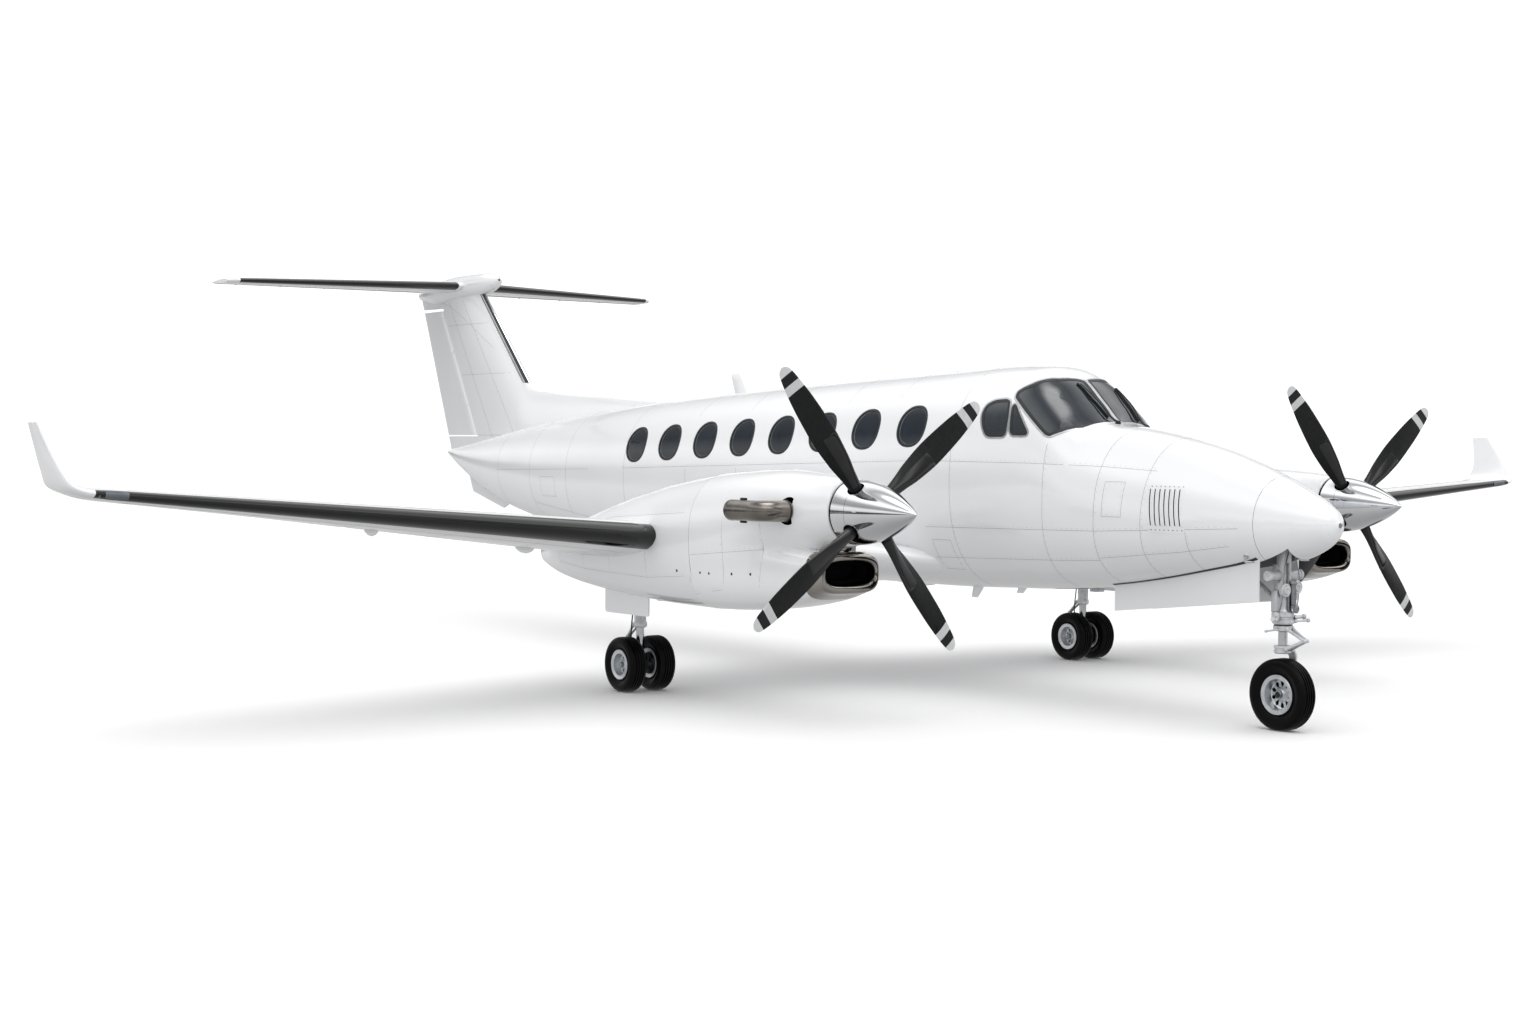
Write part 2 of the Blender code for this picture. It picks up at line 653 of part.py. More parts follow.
def make_airstair_door(cabin):
    """The door panel that hinges down from its foot, with its steps on the inside."""
    hole = prism("doorway", rounded([(DOOR["front"], DOOR["sill"]), (DOOR["rear"], DOOR["sill"]),
                                     (DOOR["rear"], DOOR["head"]), (DOOR["front"], DOOR["head"])],
                                    DOOR["corner"]), "x", 0.30, 1.0)
    # The hinge line lies just outside the skin, level with the middle of the gap under the door
    height = DOOR["sill"] + DOOR_PLAY / 2
    reach = DOOR_KNUCKLE + SEAT
    hinge = [at(skin_x(FUSELAGE, station, height) + reach, station, height)
             for station in (DOOR["front"] + DOOR_PLAY, DOOR["rear"] - DOOR_PLAY)]
    knuckles = {place: [hinge[0].lerp(hinge[1], share + half) for half in (-0.06, 0.06)]
                for place, share in (("front", 0.2), ("rear", 0.8))}
    for place, ends in knuckles.items():
        name = place + "_lug"
        below = Vector((-0.015, 0, -reach - 0.010))
        join(cabin, add_tool(name, bar(name, ends[0] + below, ends[1] + below, 0.040, 0.020)))
    cut(cabin, add_tool("doorway", hole))
    stretch = (DOOR["front"] - 0.2, DOOR["rear"] + 0.2)
    door = add_part("airstair_door", loft("airstair_door", hull(FUSELAGE, *stretch)), "white_paint")
    outline = door_outline(DOOR_PLAY, DOOR_HEAD_PLAY)
    keep(door, add_tool("door_edge", prism("door_edge", outline, "x", 0.30, 1.0)))
    inside = [hull_ring(section_at(FUSELAGE, station), grow=-SKIN)
              for station in (stretch[0] - 0.01, 9.60, stretch[1] + 0.01)]
    cut(door, add_tool("door_inside", loft("door_inside", inside)))
    front = DOOR["front"] + 0.10
    rear = DOOR["rear"] - 0.10
    for step in range(STEPS):
        height = DOOR["sill"] + 0.16 + step * 0.25
        out = skin_x(FUSELAGE, rear, height) - 0.03
        name = f"step_{step + 1}"
        join(door, add_tool(name, box(name, at(out - 0.20, front, height), at(out, rear, height + 0.03))))
    for place, ends in knuckles.items():
        name = place + "_knuckle"
        arm_name = place + "_arm"
        above = Vector((-0.0175, 0, 0.0175))
        arm = bar(arm_name, ends[0] + above, ends[1] + above, 0.035, 0.035)
        join(door, add_tool(arm_name, arm), add_tool(name, rod(name, *ends, DOOR_KNUCKLE, 12)))
    set_origin(door, hinge[0])


def make_tail_cone():
    """The hollow tail cone, open towards the cabin's rear bulkhead."""
    end = FUSELAGE[-1][0]
    cone = add_part("tail_cone", loft("tail_cone", hull(FUSELAGE, TAIL_JOINT, end)), "white_paint")
    inner_stations = (TAIL_JOINT - 0.05, 11.6, 12.6, 13.2)
    rings = [hull_ring(section_at(FUSELAGE, station), grow=-SKIN) for station in inner_stations]
    return cut(cone, add_tool("tail_hollow", loft("tail_hollow", rings)))


def make_flight_deck():
    """The cockpit floor with the instrument panel and the two pilots' seats on it."""
    floor = 1.36
    deck = add_part("flight_deck", box("flight_deck", at(-0.75, 2.52, floor - 0.04), at(0.75, 4.10, floor)),
                    "deck_grey")
    panel = box("panel", at(-0.60, 2.62, floor - 0.01), at(0.60, 2.80, 2.16))
    join(deck, add_tool("panel", panel))
    for side, sign in SIDES.items():
        x = sign * 0.27
        cushion = box("cushion_" + side, at(x - 0.20, 3.25, floor - 0.01), at(x + 0.20, 3.70, floor + 0.34))
        back = box("back_" + side, at(x - 0.20, 3.62, floor + 0.1), at(x + 0.20, 3.76, 2.42))
        join(deck, add_tool("cushion_" + side, cushion), add_tool("back_" + side, back))
    room = [hull_ring(section_at(FUSELAGE, station), grow=-SKIN - SEAT)
            for station in stations_between(FUSELAGE, NOSE_JOINT, 5.0)]
    keep(deck, add_tool("deck_room", loft("deck_room", room)))


def jack_pad(name, sign, plan):
    """A square boss with a flat underside for a jack."""
    x = sign * plan["x"]
    low = at(x - JACK_HALF, plan["station"] - JACK_HALF, plan["underside"])
    high = at(x + JACK_HALF, plan["station"] + JACK_HALF, plan["top"])
    return add_tool(name, box(name, low, high))


def make_body_tools():
    """Cutters a hair larger than the fuselage, the nacelles and the bullet, for what meets them."""
    add_tool("fuselage_room", loft("fuselage_room", hull(FUSELAGE, 3.5, FUSELAGE[-1][0], grow=SEAT)))
    add_tool("bullet_room", loft("bullet_room", hull(BULLET, BULLET[0][0], TAIL_END, grow=SEAT, sides=ROUND)))
    for side, sign in SIDES.items():
        name = "nacelle_room_" + side
        add_tool(name, loft(name, hull(NACELLE, FIREWALL, NACELLE[-1][0], sign * NACELLE_X, SEAT, ROUND)))
    nose_bay = box("nose_bay", at(-0.20, 0.66, 0.5), at(0.20, 2.24, NOSE_BAY_CEILING))
    add_tool("nose_bay", nose_bay)


def make_wing(side, sign):
    """The root and outer panels of one wing, with its flap and aileron."""
    nacelle_room = bpy.data.objects["nacelle_room_" + side]
    root = add_part("wing_root_" + side, wing_panel("wing_root_" + side, sign, WING_ROOT), "white_paint")
    join(root, jack_pad("jack_pad_" + side, sign, WING_JACK))
    cut(root, bpy.data.objects["fuselage_room"], nacelle_room)
    outer = add_part("wing_outer_" + side, wing_panel("wing_outer_" + side, sign, WING_OUTER), "white_paint")
    cut(outer, nacelle_room)
    rings = [foil_ring(sign, row) for row in WING_OUTER[:2]]
    for name, plan in (("flap_", FLAP), ("aileron_", AILERON)):
        _, place = hinged_surface(name + side, *rings, plan, "white_paint")
        cut(outer, place)


def make_nacelle(side, sign):
    """The rear nacelle with the bay for the wheels."""
    centre = sign * NACELLE_X
    name = "nacelle_" + side
    start = FIREWALL + SEAT
    mesh = loft(name, hull(NACELLE, start, NACELLE[-1][0], centre, 0.0, ROUND))
    nacelle = add_part(name, mesh, "white_paint")
    low, high = sorted((sign * (GEAR_X - 0.22), sign * (GEAR_X + 0.24)))
    bay = box("bay_" + side, at(low, 5.05, 0.5), at(high, 5.99, BAY_CEILING))
    cut(nacelle, add_tool("bay_" + side, bay))


def make_cowling(side, sign):
    """The hollow engine cowling with its intake scoop below and an exhaust hole in each flank."""
    centre = sign * NACELLE_X
    name = "cowling_" + side
    cowling = add_part(name, loft(name, hull(COWLING, COWL_FRONT, FIREWALL, centre, 0.0, ROUND)), "white_paint")
    scoop = loft("scoop_" + side, hull(SCOOP, SCOOP[0][0], FIREWALL, centre, 0.0, ROUND))
    join(cowling, add_tool("scoop_" + side, scoop))
    bore = rod("bore_" + side, at(centre, ENGINE_FRONT - 0.03, SHAFT_Z - 0.01),
               at(centre, FIREWALL + 0.05, SHAFT_Z - 0.01), ENGINE_RADIUS + ENGINE_ROOM)
    mouth = rod("shaft_hole_" + side, at(centre, COWL_FRONT - 0.1, SHAFT_Z),
                at(centre, ENGINE_FRONT, SHAFT_Z), 0.12)
    duct = box("duct_" + side, at(centre - 0.20, SCOOP[0][0] - 0.1, 1.12), at(centre + 0.20, 3.30, 1.28))
    cut(cowling, add_tool("bore_" + side, bore), add_tool("shaft_hole_" + side, mouth),
        add_tool("duct_" + side, duct))
    for hand, way in (("outer", sign), ("inner", -sign)):
        hole = rod(f"exhaust_hole_{hand}_{side}", at(centre + way * 0.20, EXHAUST_STATION, SHAFT_Z),
                   at(centre + way * 0.60, EXHAUST_STATION, SHAFT_Z), EXHAUST_RADIUS + 0.02)
        cut(cowling, add_tool(f"exhaust_hole_{hand}_{side}", hole))


def make_engine(side, sign):
    """A plain block of the engine's size, with the shaft housing that carries the propeller."""
    centre = sign * NACELLE_X
    name = "engine_" + side
    engine = add_part(name, rod(name, at(centre, ENGINE_FRONT, SHAFT_Z - 0.01),
                                at(centre, ENGINE_REAR, SHAFT_Z - 0.01), ENGINE_RADIUS), "engine_steel")
    nose = rod("gearbox_" + side, at(centre, 2.735, SHAFT_Z), at(centre, ENGINE_FRONT + 0.05, SHAFT_Z), 0.105)
    mount = rod("engine_mount_" + side, at(centre, ENGINE_REAR - 0.05, SHAFT_Z - 0.01),
                at(centre, FIREWALL, SHAFT_Z - 0.01), 0.16)
    join(engine, add_tool("gearbox_" + side, nose), add_tool("engine_mount_" + side, mount))


def tube_mesh(name, points, radius):
    """A bent tube as a closed mesh, from a curve with filled caps."""
    curve = bpy.data.curves.new(name, "CURVE")
    curve.dimensions = "3D"
    curve.bevel_depth = radius
    curve.bevel_resolution = 2
    curve.use_fill_caps = True
    spline = curve.splines.new("POLY")
    spline.points.add(len(points) - 1)
    for slot, point in zip(spline.points, points):
        slot.co = (*point, 1.0)
    guide = bpy.data.objects.new(name, curve)
    tools.objects.link(guide)
    bpy.context.view_layer.update()
    mesh = bpy.data.meshes.new_from_object(guide.evaluated_get(bpy.context.evaluated_depsgraph_get()))
    bpy.data.objects.remove(guide)
    shape = bmesh.new()
    shape.from_mesh(mesh)
    bmesh.ops.remove_doubles(shape, verts=shape.verts, dist=0.00001)
    bmesh.ops.recalc_face_normals(shape, faces=shape.faces)
    shape.to_mesh(mesh)
    shape.free()
    return mesh


def make_exhaust(side, sign, hand, way):
    """A stub that leaves the cowling sideways and bends aft, open at its end."""
    centre = sign * NACELLE_X
    inner_end = ENGINE_RADIUS + SEAT
    bend_centre = 0.42
    bend = 0.13
    points = [at(centre + way * inner_end, EXHAUST_STATION, SHAFT_Z)]
    for step in range(7):
        angle = math.radians(15 * step)
        out = bend_centre + bend * math.sin(angle)
        back = EXHAUST_STATION + bend * (1 - math.cos(angle))
        points.append(at(centre + way * out, back, SHAFT_Z))
    points.append(at(centre + way * (bend_centre + bend), 3.58, SHAFT_Z))
    name = f"exhaust_{hand}_{side}"
    stub = add_part(name, tube_mesh(name, points, EXHAUST_RADIUS), "heat_steel")
    outlet = rod(name + "_bore", at(centre + way * (bend_centre + bend), 3.36, SHAFT_Z),
                 at(centre + way * (bend_centre + bend), 3.65, SHAFT_Z), EXHAUST_RADIUS - 0.012, 12)
    cut(stub, add_tool(name + "_bore", outlet))


# Blade sections: radius, chord, thickness as a share of the chord, angle to the disc in degrees
BLADE = (
    (0.08, 0.100, 1.00, 50.0),
    (0.22, 0.104, 0.95, 48.0),
    (0.34, 0.118, 0.60, 42.0),
    (0.50, 0.160, 0.26, 35.0),
    (0.75, 0.192, 0.15, 28.0),
    (1.02, 0.200, 0.10, 22.0),
    (1.24, 0.180, 0.08, 18.0),
    (1.33, 0.140, 0.07, 17.0),
    (PROP_RADIUS, 0.070, 0.07, 17.0),
)
BLADE_SIDES = 8


def blade_mesh(name, centre, direction):
    """One propeller blade, round at its root and a twisted paddle further out."""
    out = Vector((math.sin(direction), 0, math.cos(direction)))
    turn = Vector((math.cos(direction), 0, -math.sin(direction)))
    rings = []
    for radius, chord, thickness, pitch in BLADE:
        angle = math.radians(pitch)
        along = turn * math.cos(angle) + Vector((0, -1, 0)) * math.sin(angle)
        face = out.cross(along)
        ring = []
        for i in range(BLADE_SIDES):
            t = 2 * math.pi * i / BLADE_SIDES
            ring.append(centre + out * radius + along * math.cos(t) * chord / 2
                        + face * math.sin(t) * chord * thickness / 2)
        rings.append(ring)
    return loft(name, rings)


def make_propeller(side, sign):
    """Four blades on their hub, and the pointed spinner around it."""
    centre = at(sign * NACELLE_X, PROP_STATION, SHAFT_Z)
    name = "propeller_" + side
    hub = rod(name, centre - Vector((0, 0.10, 0)), centre + Vector((0, 0.10, 0)), 0.13)
    propeller = add_part(name, hub, "graphite_blade")
    shaft = rod("shaft_" + side, centre, at(centre.x, 2.735 - SEAT, SHAFT_Z), SHAFT_RADIUS)
    join(propeller, add_tool("shaft_" + side, shaft))
    set_origin(propeller, centre)
    start = math.radians(BLADE_ANGLE[side])
    holes = []
    for blade in range(BLADES):
        direction = start + blade * 2 * math.pi / BLADES
        blade_name = f"blade_{blade + 1}_{side}"
        join(propeller, add_tool(blade_name, blade_mesh(blade_name, centre, direction)))
        out = Vector((math.sin(direction), 0, math.cos(direction)))
        hole_name = f"blade_hole_{blade + 1}_{side}"
        holes.append(add_tool(hole_name, rod(hole_name, centre + out * 0.16, centre + out * 0.30, 0.068, 12)))

    length = SPINNER_REAR - SPINNER_TIP

    def profile_radius(distance, radius):
        return radius * math.sin(math.pi / 2 * (distance / length) ** 0.85)
    steps = 6
    distances = [length * (i / steps) ** 1.3 for i in range(steps + 1)]
    outside = [(profile_radius(d, SPINNER_RADIUS), d) for d in distances]
    inside = [(profile_radius(d, SPINNER_RADIUS - SPINNER_WALL), d + 0.02) for d in distances[:-1]]
    plate = [(SHAFT_RADIUS + SEAT, length), (SHAFT_RADIUS + SEAT, length - 0.012),
             (SPINNER_RADIUS - SPINNER_WALL, length - 0.012)]
    profile = outside + plate + inside[::-1]
    tip = at(centre.x, SPINNER_TIP, SHAFT_Z)
    # Distances grow aft, so the turning axis points aft and the profile runs from its near end
    spinner = turned("spinner_" + side, profile[::-1], tip, (0, 1, 0), "chrome", SPINNER_STEPS)
    cut(spinner, *holes)


def tyre_profile(sizes):
    """A rounded square-shouldered tyre section, from the axis outwards and round."""
    half = sizes["width"] / 2
    outer = sizes["radius"]
    bead = sizes["bead"] + SEAT
    middle = (outer + bead) / 2
    return [(bead, half * 0.62), (bead + 0.014, half * 0.82), (middle, half), (outer - 0.035, half * 0.93),
            (outer - 0.012, half * 0.72), (outer, half * 0.36), (outer, -half * 0.36),
            (outer - 0.012, -half * 0.72), (outer - 0.035, -half * 0.93), (middle, -half),
            (bead + 0.014, -half * 0.82), (bead, -half * 0.62)]


def rim_profile(sizes, middle, inside):
    """A wheel's hub, web and rim with its flanges, about its middle on the axle.

    Inside is the radius where the profile starts and ends: the bore, or the axle it is one piece with.
    """
    half = sizes["width"] / 2 * 0.66
    web = 0.012
    bead = sizes["bead"]
    hub = sizes["hub"]
    well = bead - 0.012
    outline = [(inside, half), (hub, half), (hub, web), (well, web), (well, half), (bead, half),
               (bead, -half), (well, -half), (well, -web), (hub, -web), (hub, -half), (inside, -half)]
    return [(radius, middle + along) for radius, along in outline]


def make_main_gear(side, sign):
    """A main leg with its two wheels on one axle, and the door beside it."""
    x = sign * GEAR_X
    hub_z = MAIN_TYRE["radius"]
    name = "main_leg_" + side
    leg = add_part(name, rod(name, at(x, MAIN_STATION, 0.56), at(x, MAIN_STATION, BAY_CEILING + 0.05), 0.052),
                   "gear_grey")
    piston = rod("piston_" + side, at(x, MAIN_STATION, hub_z), at(x, MAIN_STATION, 0.60), 0.036)
    sleeve = rod("sleeve_" + side, at(x - 0.045, MAIN_STATION, hub_z), at(x + 0.045, MAIN_STATION, hub_z), 0.042)
    brace = rod("brace_" + side, at(x, MAIN_STATION - 0.01, 0.80), at(x, 5.28, BAY_CEILING + 0.02), 0.024, 12)
    knee = at(x, MAIN_STATION + 0.19, 0.47)
    upper_link = bar("upper_link_" + side, at(x, MAIN_STATION + 0.02, 0.60), knee, 0.05, 0.022)
    lower_link = bar("lower_link_" + side, at(x, MAIN_STATION + 0.02, 0.31), knee, 0.05, 0.022)
    join(leg, *[add_tool(mesh.name, mesh) for mesh in (piston, sleeve, brace, upper_link, lower_link)])
    bore = rod("axle_bore_" + side, at(x - 0.1, MAIN_STATION, hub_z), at(x + 0.1, MAIN_STATION, hub_z),
               AXLE + AXLE_PLAY)
    roof = box("roof_" + side, at(x - 0.4, 5.0, BAY_CEILING - SEAT), at(x + 0.4, 6.2, BAY_CEILING + 0.3))
    cut(leg, add_tool("axle_bore_" + side, bore), add_tool("roof_" + side, roof))

    reach = WHEEL_SPACING / 2
    centre = at(x, MAIN_STATION, hub_z)
    near = rim_profile(MAIN_TYRE, reach, AXLE)
    far = rim_profile(MAIN_TYRE, -reach, AXLE)
    wheels = [(0.0, near[0][1]), *near, *far, (0.0, far[-1][1])]
    turned("main_wheels_" + side, wheels, centre, (1, 0, 0), "wheel_alloy", WHEEL_STEPS, True)
    for place, way in (("inner", -sign), ("outer", sign)):
        middle = centre + Vector((way * reach, 0, 0))
        turned(f"main_tyre_{place}_{side}", tyre_profile(MAIN_TYRE), middle, (1, 0, 0), "tyre", WHEEL_STEPS, True)

    inner_x, outer_x = sorted((sign * (GEAR_X + 0.255), sign * (GEAR_X + 0.270)))
    door_name = "main_door_" + side
    door = add_part(door_name, box(door_name, at(inner_x, 5.13, 0.70), at(outer_x, 5.97, 1.05)), "white_paint")
    cut(door, bpy.data.objects["nacelle_room_" + side])


def make_nose_gear():
    """The nose leg, the steered fork with its scissors link, the wheel and the two long doors."""
    hub_z = NOSE_TYRE["radius"]
    top = 0.82
    leg = add_part("nose_leg", rod("nose_leg", at(0, NOSE_STATION, top),
                                   at(0, NOSE_STATION, NOSE_BAY_CEILING + 0.05), 0.058), "gear_grey")
    collar = rod("steering_collar", at(0, NOSE_STATION, top), at(0, NOSE_STATION, top + 0.10), 0.082)
    brace = rod("nose_brace", at(0, NOSE_STATION, 0.98), at(0, 1.57, NOSE_BAY_CEILING + 0.02), 0.024, 12)
    trunnion = rod("trunnion", at(-0.195, NOSE_STATION, 1.20), at(0.195, NOSE_STATION, 1.20), 0.035, 16)
    join(leg, *[add_tool(mesh.name, mesh) for mesh in (collar, brace, trunnion)])
    roof = box("nose_roof", at(-0.3, 0.5, NOSE_BAY_CEILING - SEAT), at(0.3, 2.0, NOSE_BAY_CEILING + 0.3))
    cut(leg, add_tool("nose_roof", roof))

    fork = add_part("nose_fork", rod("nose_fork", at(0, NOSE_STATION, 0.62), at(0, NOSE_STATION, top - SEAT),
                                     0.036), "gear_grey")
    ring = rod("upper_ring", at(0, NOSE_STATION, top - 0.05), at(0, NOSE_STATION, top - SEAT), 0.075)
    foot = rod("lower_ring", at(0, NOSE_STATION, 0.60), at(0, NOSE_STATION, 0.66), 0.068)
    arm_x = NOSE_TYRE["width"] / 2 + 0.035
    shoulder = box("shoulder", at(-0.02, NOSE_STATION - 0.045, 0.60), at(arm_x + 0.014, NOSE_STATION + 0.045, 0.64))
    arm = box("arm", at(arm_x - 0.014, NOSE_STATION - 0.04, hub_z - 0.04),
              at(arm_x + 0.014, NOSE_STATION + 0.04, 0.62))
    axle = rod("nose_axle", at(-0.075, NOSE_STATION, hub_z), at(arm_x, NOSE_STATION, hub_z), AXLE)
    knee = at(0, NOSE_STATION - 0.17, 0.715)
    upper_link = bar("nose_upper_link", at(0, NOSE_STATION - 0.02, 0.79), knee, 0.06, 0.022)
    lower_link = bar("nose_lower_link", at(0, NOSE_STATION - 0.02, 0.635), knee, 0.06, 0.022)
    join(fork, *[add_tool(mesh.name, mesh) for mesh in (ring, foot, shoulder, arm, axle, upper_link, lower_link)])
    set_origin(fork, at(0, NOSE_STATION, hub_z))

    centre = at(0, NOSE_STATION, hub_z)
    rim = rim_profile(NOSE_TYRE, 0.0, AXLE + AXLE_PLAY)
    turned("nose_wheel", rim, centre, (1, 0, 0), "wheel_alloy", WHEEL_STEPS, True)
    turned("nose_tyre", tyre_profile(NOSE_TYRE), centre, (1, 0, 0), "tyre", WHEEL_STEPS, True)

    room = add_tool("nose_room", loft("nose_room", hull(FUSELAGE, 0.5, 3.0, grow=SEAT)))
    outline = ((0.92, 1.00), (2.46, 0.83), (2.46, 1.30), (0.92, 1.40))
    for side, sign in SIDES.items():
        name = "nose_door_" + side
        door = add_part(name, prism(name, outline, "x", sign * 0.215, sign * 0.230), "white_paint")
        cut(door, room)


def make_tail():
    """The fin with its dorsal fillet, the rudder, the bullet, the tailplanes and their elevators."""
    rings = [fin_ring(row) for row in FIN]
    fin = add_part("fin", loft("fin", rings), "white_paint")
    dorsal = prism("dorsal", ((9.58, 2.50), (9.58, 2.625), (12.32, 2.795), (12.9, 2.90), (12.9, 2.20)),
                   "x", -0.045, 0.045)
    join(fin, add_tool("dorsal", dorsal))
    _, place = hinged_surface("rudder", *rings, RUDDER, "white_paint", square_ends=False)
    cut(fin, place, bpy.data.objects["fuselage_room"], bpy.data.objects["bullet_room"])

    mesh = loft("bullet_fairing", hull(BULLET, BULLET[0][0], TAIL_END, sides=ROUND))
    add_part("bullet_fairing", mesh, "white_paint")
    for side, sign in SIDES.items():
        name = "tailplane_" + side
        tailplane = add_part(name, wing_panel(name, sign, TAILPLANE), "white_paint")
        pair = [foil_ring(sign, row) for row in TAILPLANE[:2]]
        _, place = hinged_surface("elevator_" + side, *pair, ELEVATOR, "white_paint")
        cut(tailplane, place, bpy.data.objects["bullet_room"])

    outline = ((13.02, 1.44), (13.16, 1.385), (13.93, 1.57), (14.09, 1.885), (13.6, 1.75))
    ventral = add_part("ventral_fin", prism("ventral_fin", outline, "x", -0.012, 0.012), "white_paint")
    cut(ventral, bpy.data.objects["fuselage_room"])


def main():
    clear_scene()
    make_body_tools()
    make_radome()
    make_nose_section()
    cabin = make_windows_and_cabin()
    make_airstair_door(cabin)
    make_tail_cone()
    make_flight_deck()
    make_tail()
    make_nose_gear()
    for side, sign in SIDES.items():
        make_wing(side, sign)
        make_nacelle(side, sign)
        make_cowling(side, sign)
        make_engine(side, sign)
        make_propeller(side, sign)
        for hand, way in (("outer", sign), ("inner", -sign)):
            make_exhaust(side, sign, hand, way)
        make_main_gear(side, sign)


main()
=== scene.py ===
"""Looks of the twin turboprop airplane: smooth skins, glazing, propellers, gear and fittings.

Everything is in metres in the model's own frame: X is the span with port positive, -Y is the nose
and Z is up. Stations run aft from a datum just ahead of the nose, so y is station - MIDDLE.
"""
from math import asin, atan2, ceil, copysign, cos, hypot, pi, radians, sin, sqrt

import bmesh
import bpy
from mathutils import Matrix, Quaternion, Vector
from mathutils.bvhtree import BVHTree


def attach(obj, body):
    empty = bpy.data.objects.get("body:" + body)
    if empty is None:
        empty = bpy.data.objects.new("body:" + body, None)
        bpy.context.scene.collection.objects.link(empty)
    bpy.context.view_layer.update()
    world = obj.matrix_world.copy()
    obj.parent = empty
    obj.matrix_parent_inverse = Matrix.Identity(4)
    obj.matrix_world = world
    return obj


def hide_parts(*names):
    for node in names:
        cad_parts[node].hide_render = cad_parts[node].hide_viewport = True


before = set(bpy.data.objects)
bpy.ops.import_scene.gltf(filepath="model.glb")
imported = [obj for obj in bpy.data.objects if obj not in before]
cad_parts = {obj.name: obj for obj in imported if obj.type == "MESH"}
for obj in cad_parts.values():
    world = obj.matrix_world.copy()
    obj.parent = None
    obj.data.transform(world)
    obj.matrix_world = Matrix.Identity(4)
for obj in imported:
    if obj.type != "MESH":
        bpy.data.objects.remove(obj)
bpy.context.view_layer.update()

SIDES = {"starboard": -1.0, "port": 1.0}
MIDDLE = 7.865

# ------------------------------------------------------------ shape tables, as in the solids

# station, bottom, widest height, top, half width, upper power, lower power
FUSELAGE = (
    (0.33, 1.580, 1.60, 1.620, 0.020, 2.0, 2.0),
    (0.37, 1.500, 1.60, 1.690, 0.095, 2.0, 2.0),
    (0.47, 1.415, 1.60, 1.765, 0.175, 2.0, 2.0),
    (0.66, 1.330, 1.60, 1.860, 0.270, 2.0, 2.0),
    (0.97, 1.245, 1.60, 1.995, 0.375, 2.0, 2.1),
    (1.40, 1.180, 1.59, 2.145, 0.475, 2.0, 2.2),
    (1.90, 1.100, 1.58, 2.265, 0.565, 2.0, 2.3),
    (2.30, 1.045, 1.60, 2.335, 0.620, 2.2, 2.4),
    (2.64, 1.005, 1.64, 2.380, 0.660, 2.5, 2.4),
    (2.85, 0.985, 1.68, 2.550, 0.680, 2.9, 2.4),
    (3.07, 0.970, 1.72, 2.740, 0.700, 2.8, 2.4),
    (3.32, 0.955, 1.78, 2.865, 0.720, 2.5, 2.3),
    (3.70, 0.940, 1.85, 2.885, 0.745, 2.3, 2.3),
    (4.60, 0.910, 1.87, 2.850, 0.765, 2.3, 2.3),
    (6.50, 0.900, 1.85, 2.780, 0.765, 2.3, 2.3),
    (8.50, 0.930, 1.82, 2.690, 0.755, 2.3, 2.3),
    (9.60, 1.000, 1.82, 2.620, 0.720, 2.3, 2.2),
    (10.60, 1.100, 1.83, 2.550, 0.650, 2.2, 2.2),
    (11.60, 1.220, 1.86, 2.460, 0.540, 2.1, 2.1),
    (12.60, 1.370, 1.89, 2.350, 0.400, 2.0, 2.0),
    (13.50, 1.600, 1.95, 2.225, 0.260, 2.0, 2.0),
    (14.20, 1.870, 2.02, 2.130, 0.130, 2.0, 2.0),
    (14.58, 2.030, 2.06, 2.085, 0.030, 2.0, 2.0),
)
# The same columns; the half width is from the nacelle's centre
COWLING = (
    (2.69, 1.410, 1.67, 1.930, 0.260, 2.0, 2.0),
    (3.00, 1.330, 1.65, 1.960, 0.315, 2.0, 2.0),
    (3.50, 1.150, 1.58, 1.985, 0.370, 2.1, 2.2),
    (4.00, 0.950, 1.50, 1.965, 0.395, 2.2, 2.5),
    (4.35, 0.825, 1.45, 1.940, 0.405, 2.2, 2.7),
)
SCOOP = (
    (2.72, 1.055, 1.20, 1.345, 0.275, 4.0, 4.0),
    (3.00, 0.965, 1.18, 1.380, 0.305, 3.6, 3.6),
    (3.50, 0.880, 1.20, 1.450, 0.345, 3.2, 3.2),
    (4.00, 0.840, 1.22, 1.480, 0.370, 3.0, 3.0),
    (4.35, 0.826, 1.24, 1.480, 0.385, 2.8, 2.8),
)
NACELLE = (
    (4.35, 0.825, 1.45, 1.940, 0.405, 2.2, 2.8),
    (5.00, 0.835, 1.38, 1.850, 0.400, 2.2, 3.0),
    (5.60, 0.860, 1.33, 1.730, 0.385, 2.2, 3.0),
    (6.20, 0.900, 1.28, 1.580, 0.345, 2.2, 2.8),
    (6.80, 0.965, 1.22, 1.400, 0.260, 2.1, 2.4),
    (7.20, 1.050, 1.17, 1.260, 0.140, 2.0, 2.0),
    (7.35, 1.105, 1.14, 1.175, 0.030, 2.0, 2.0),
)
BULLET = (
    (13.30, 4.150, 4.17, 4.190, 0.015, 2.0, 2.0),
    (13.38, 4.075, 4.16, 4.235, 0.080, 2.0, 2.0),
    (13.60, 4.015, 4.15, 4.270, 0.125, 2.0, 2.0),
    (14.20, 3.980, 4.13, 4.270, 0.145, 2.0, 2.0),
    (14.90, 3.940, 4.10, 4.220, 0.110, 2.0, 2.0),
    (15.40, 4.030, 4.09, 4.140, 0.025, 2.0, 2.0),
)
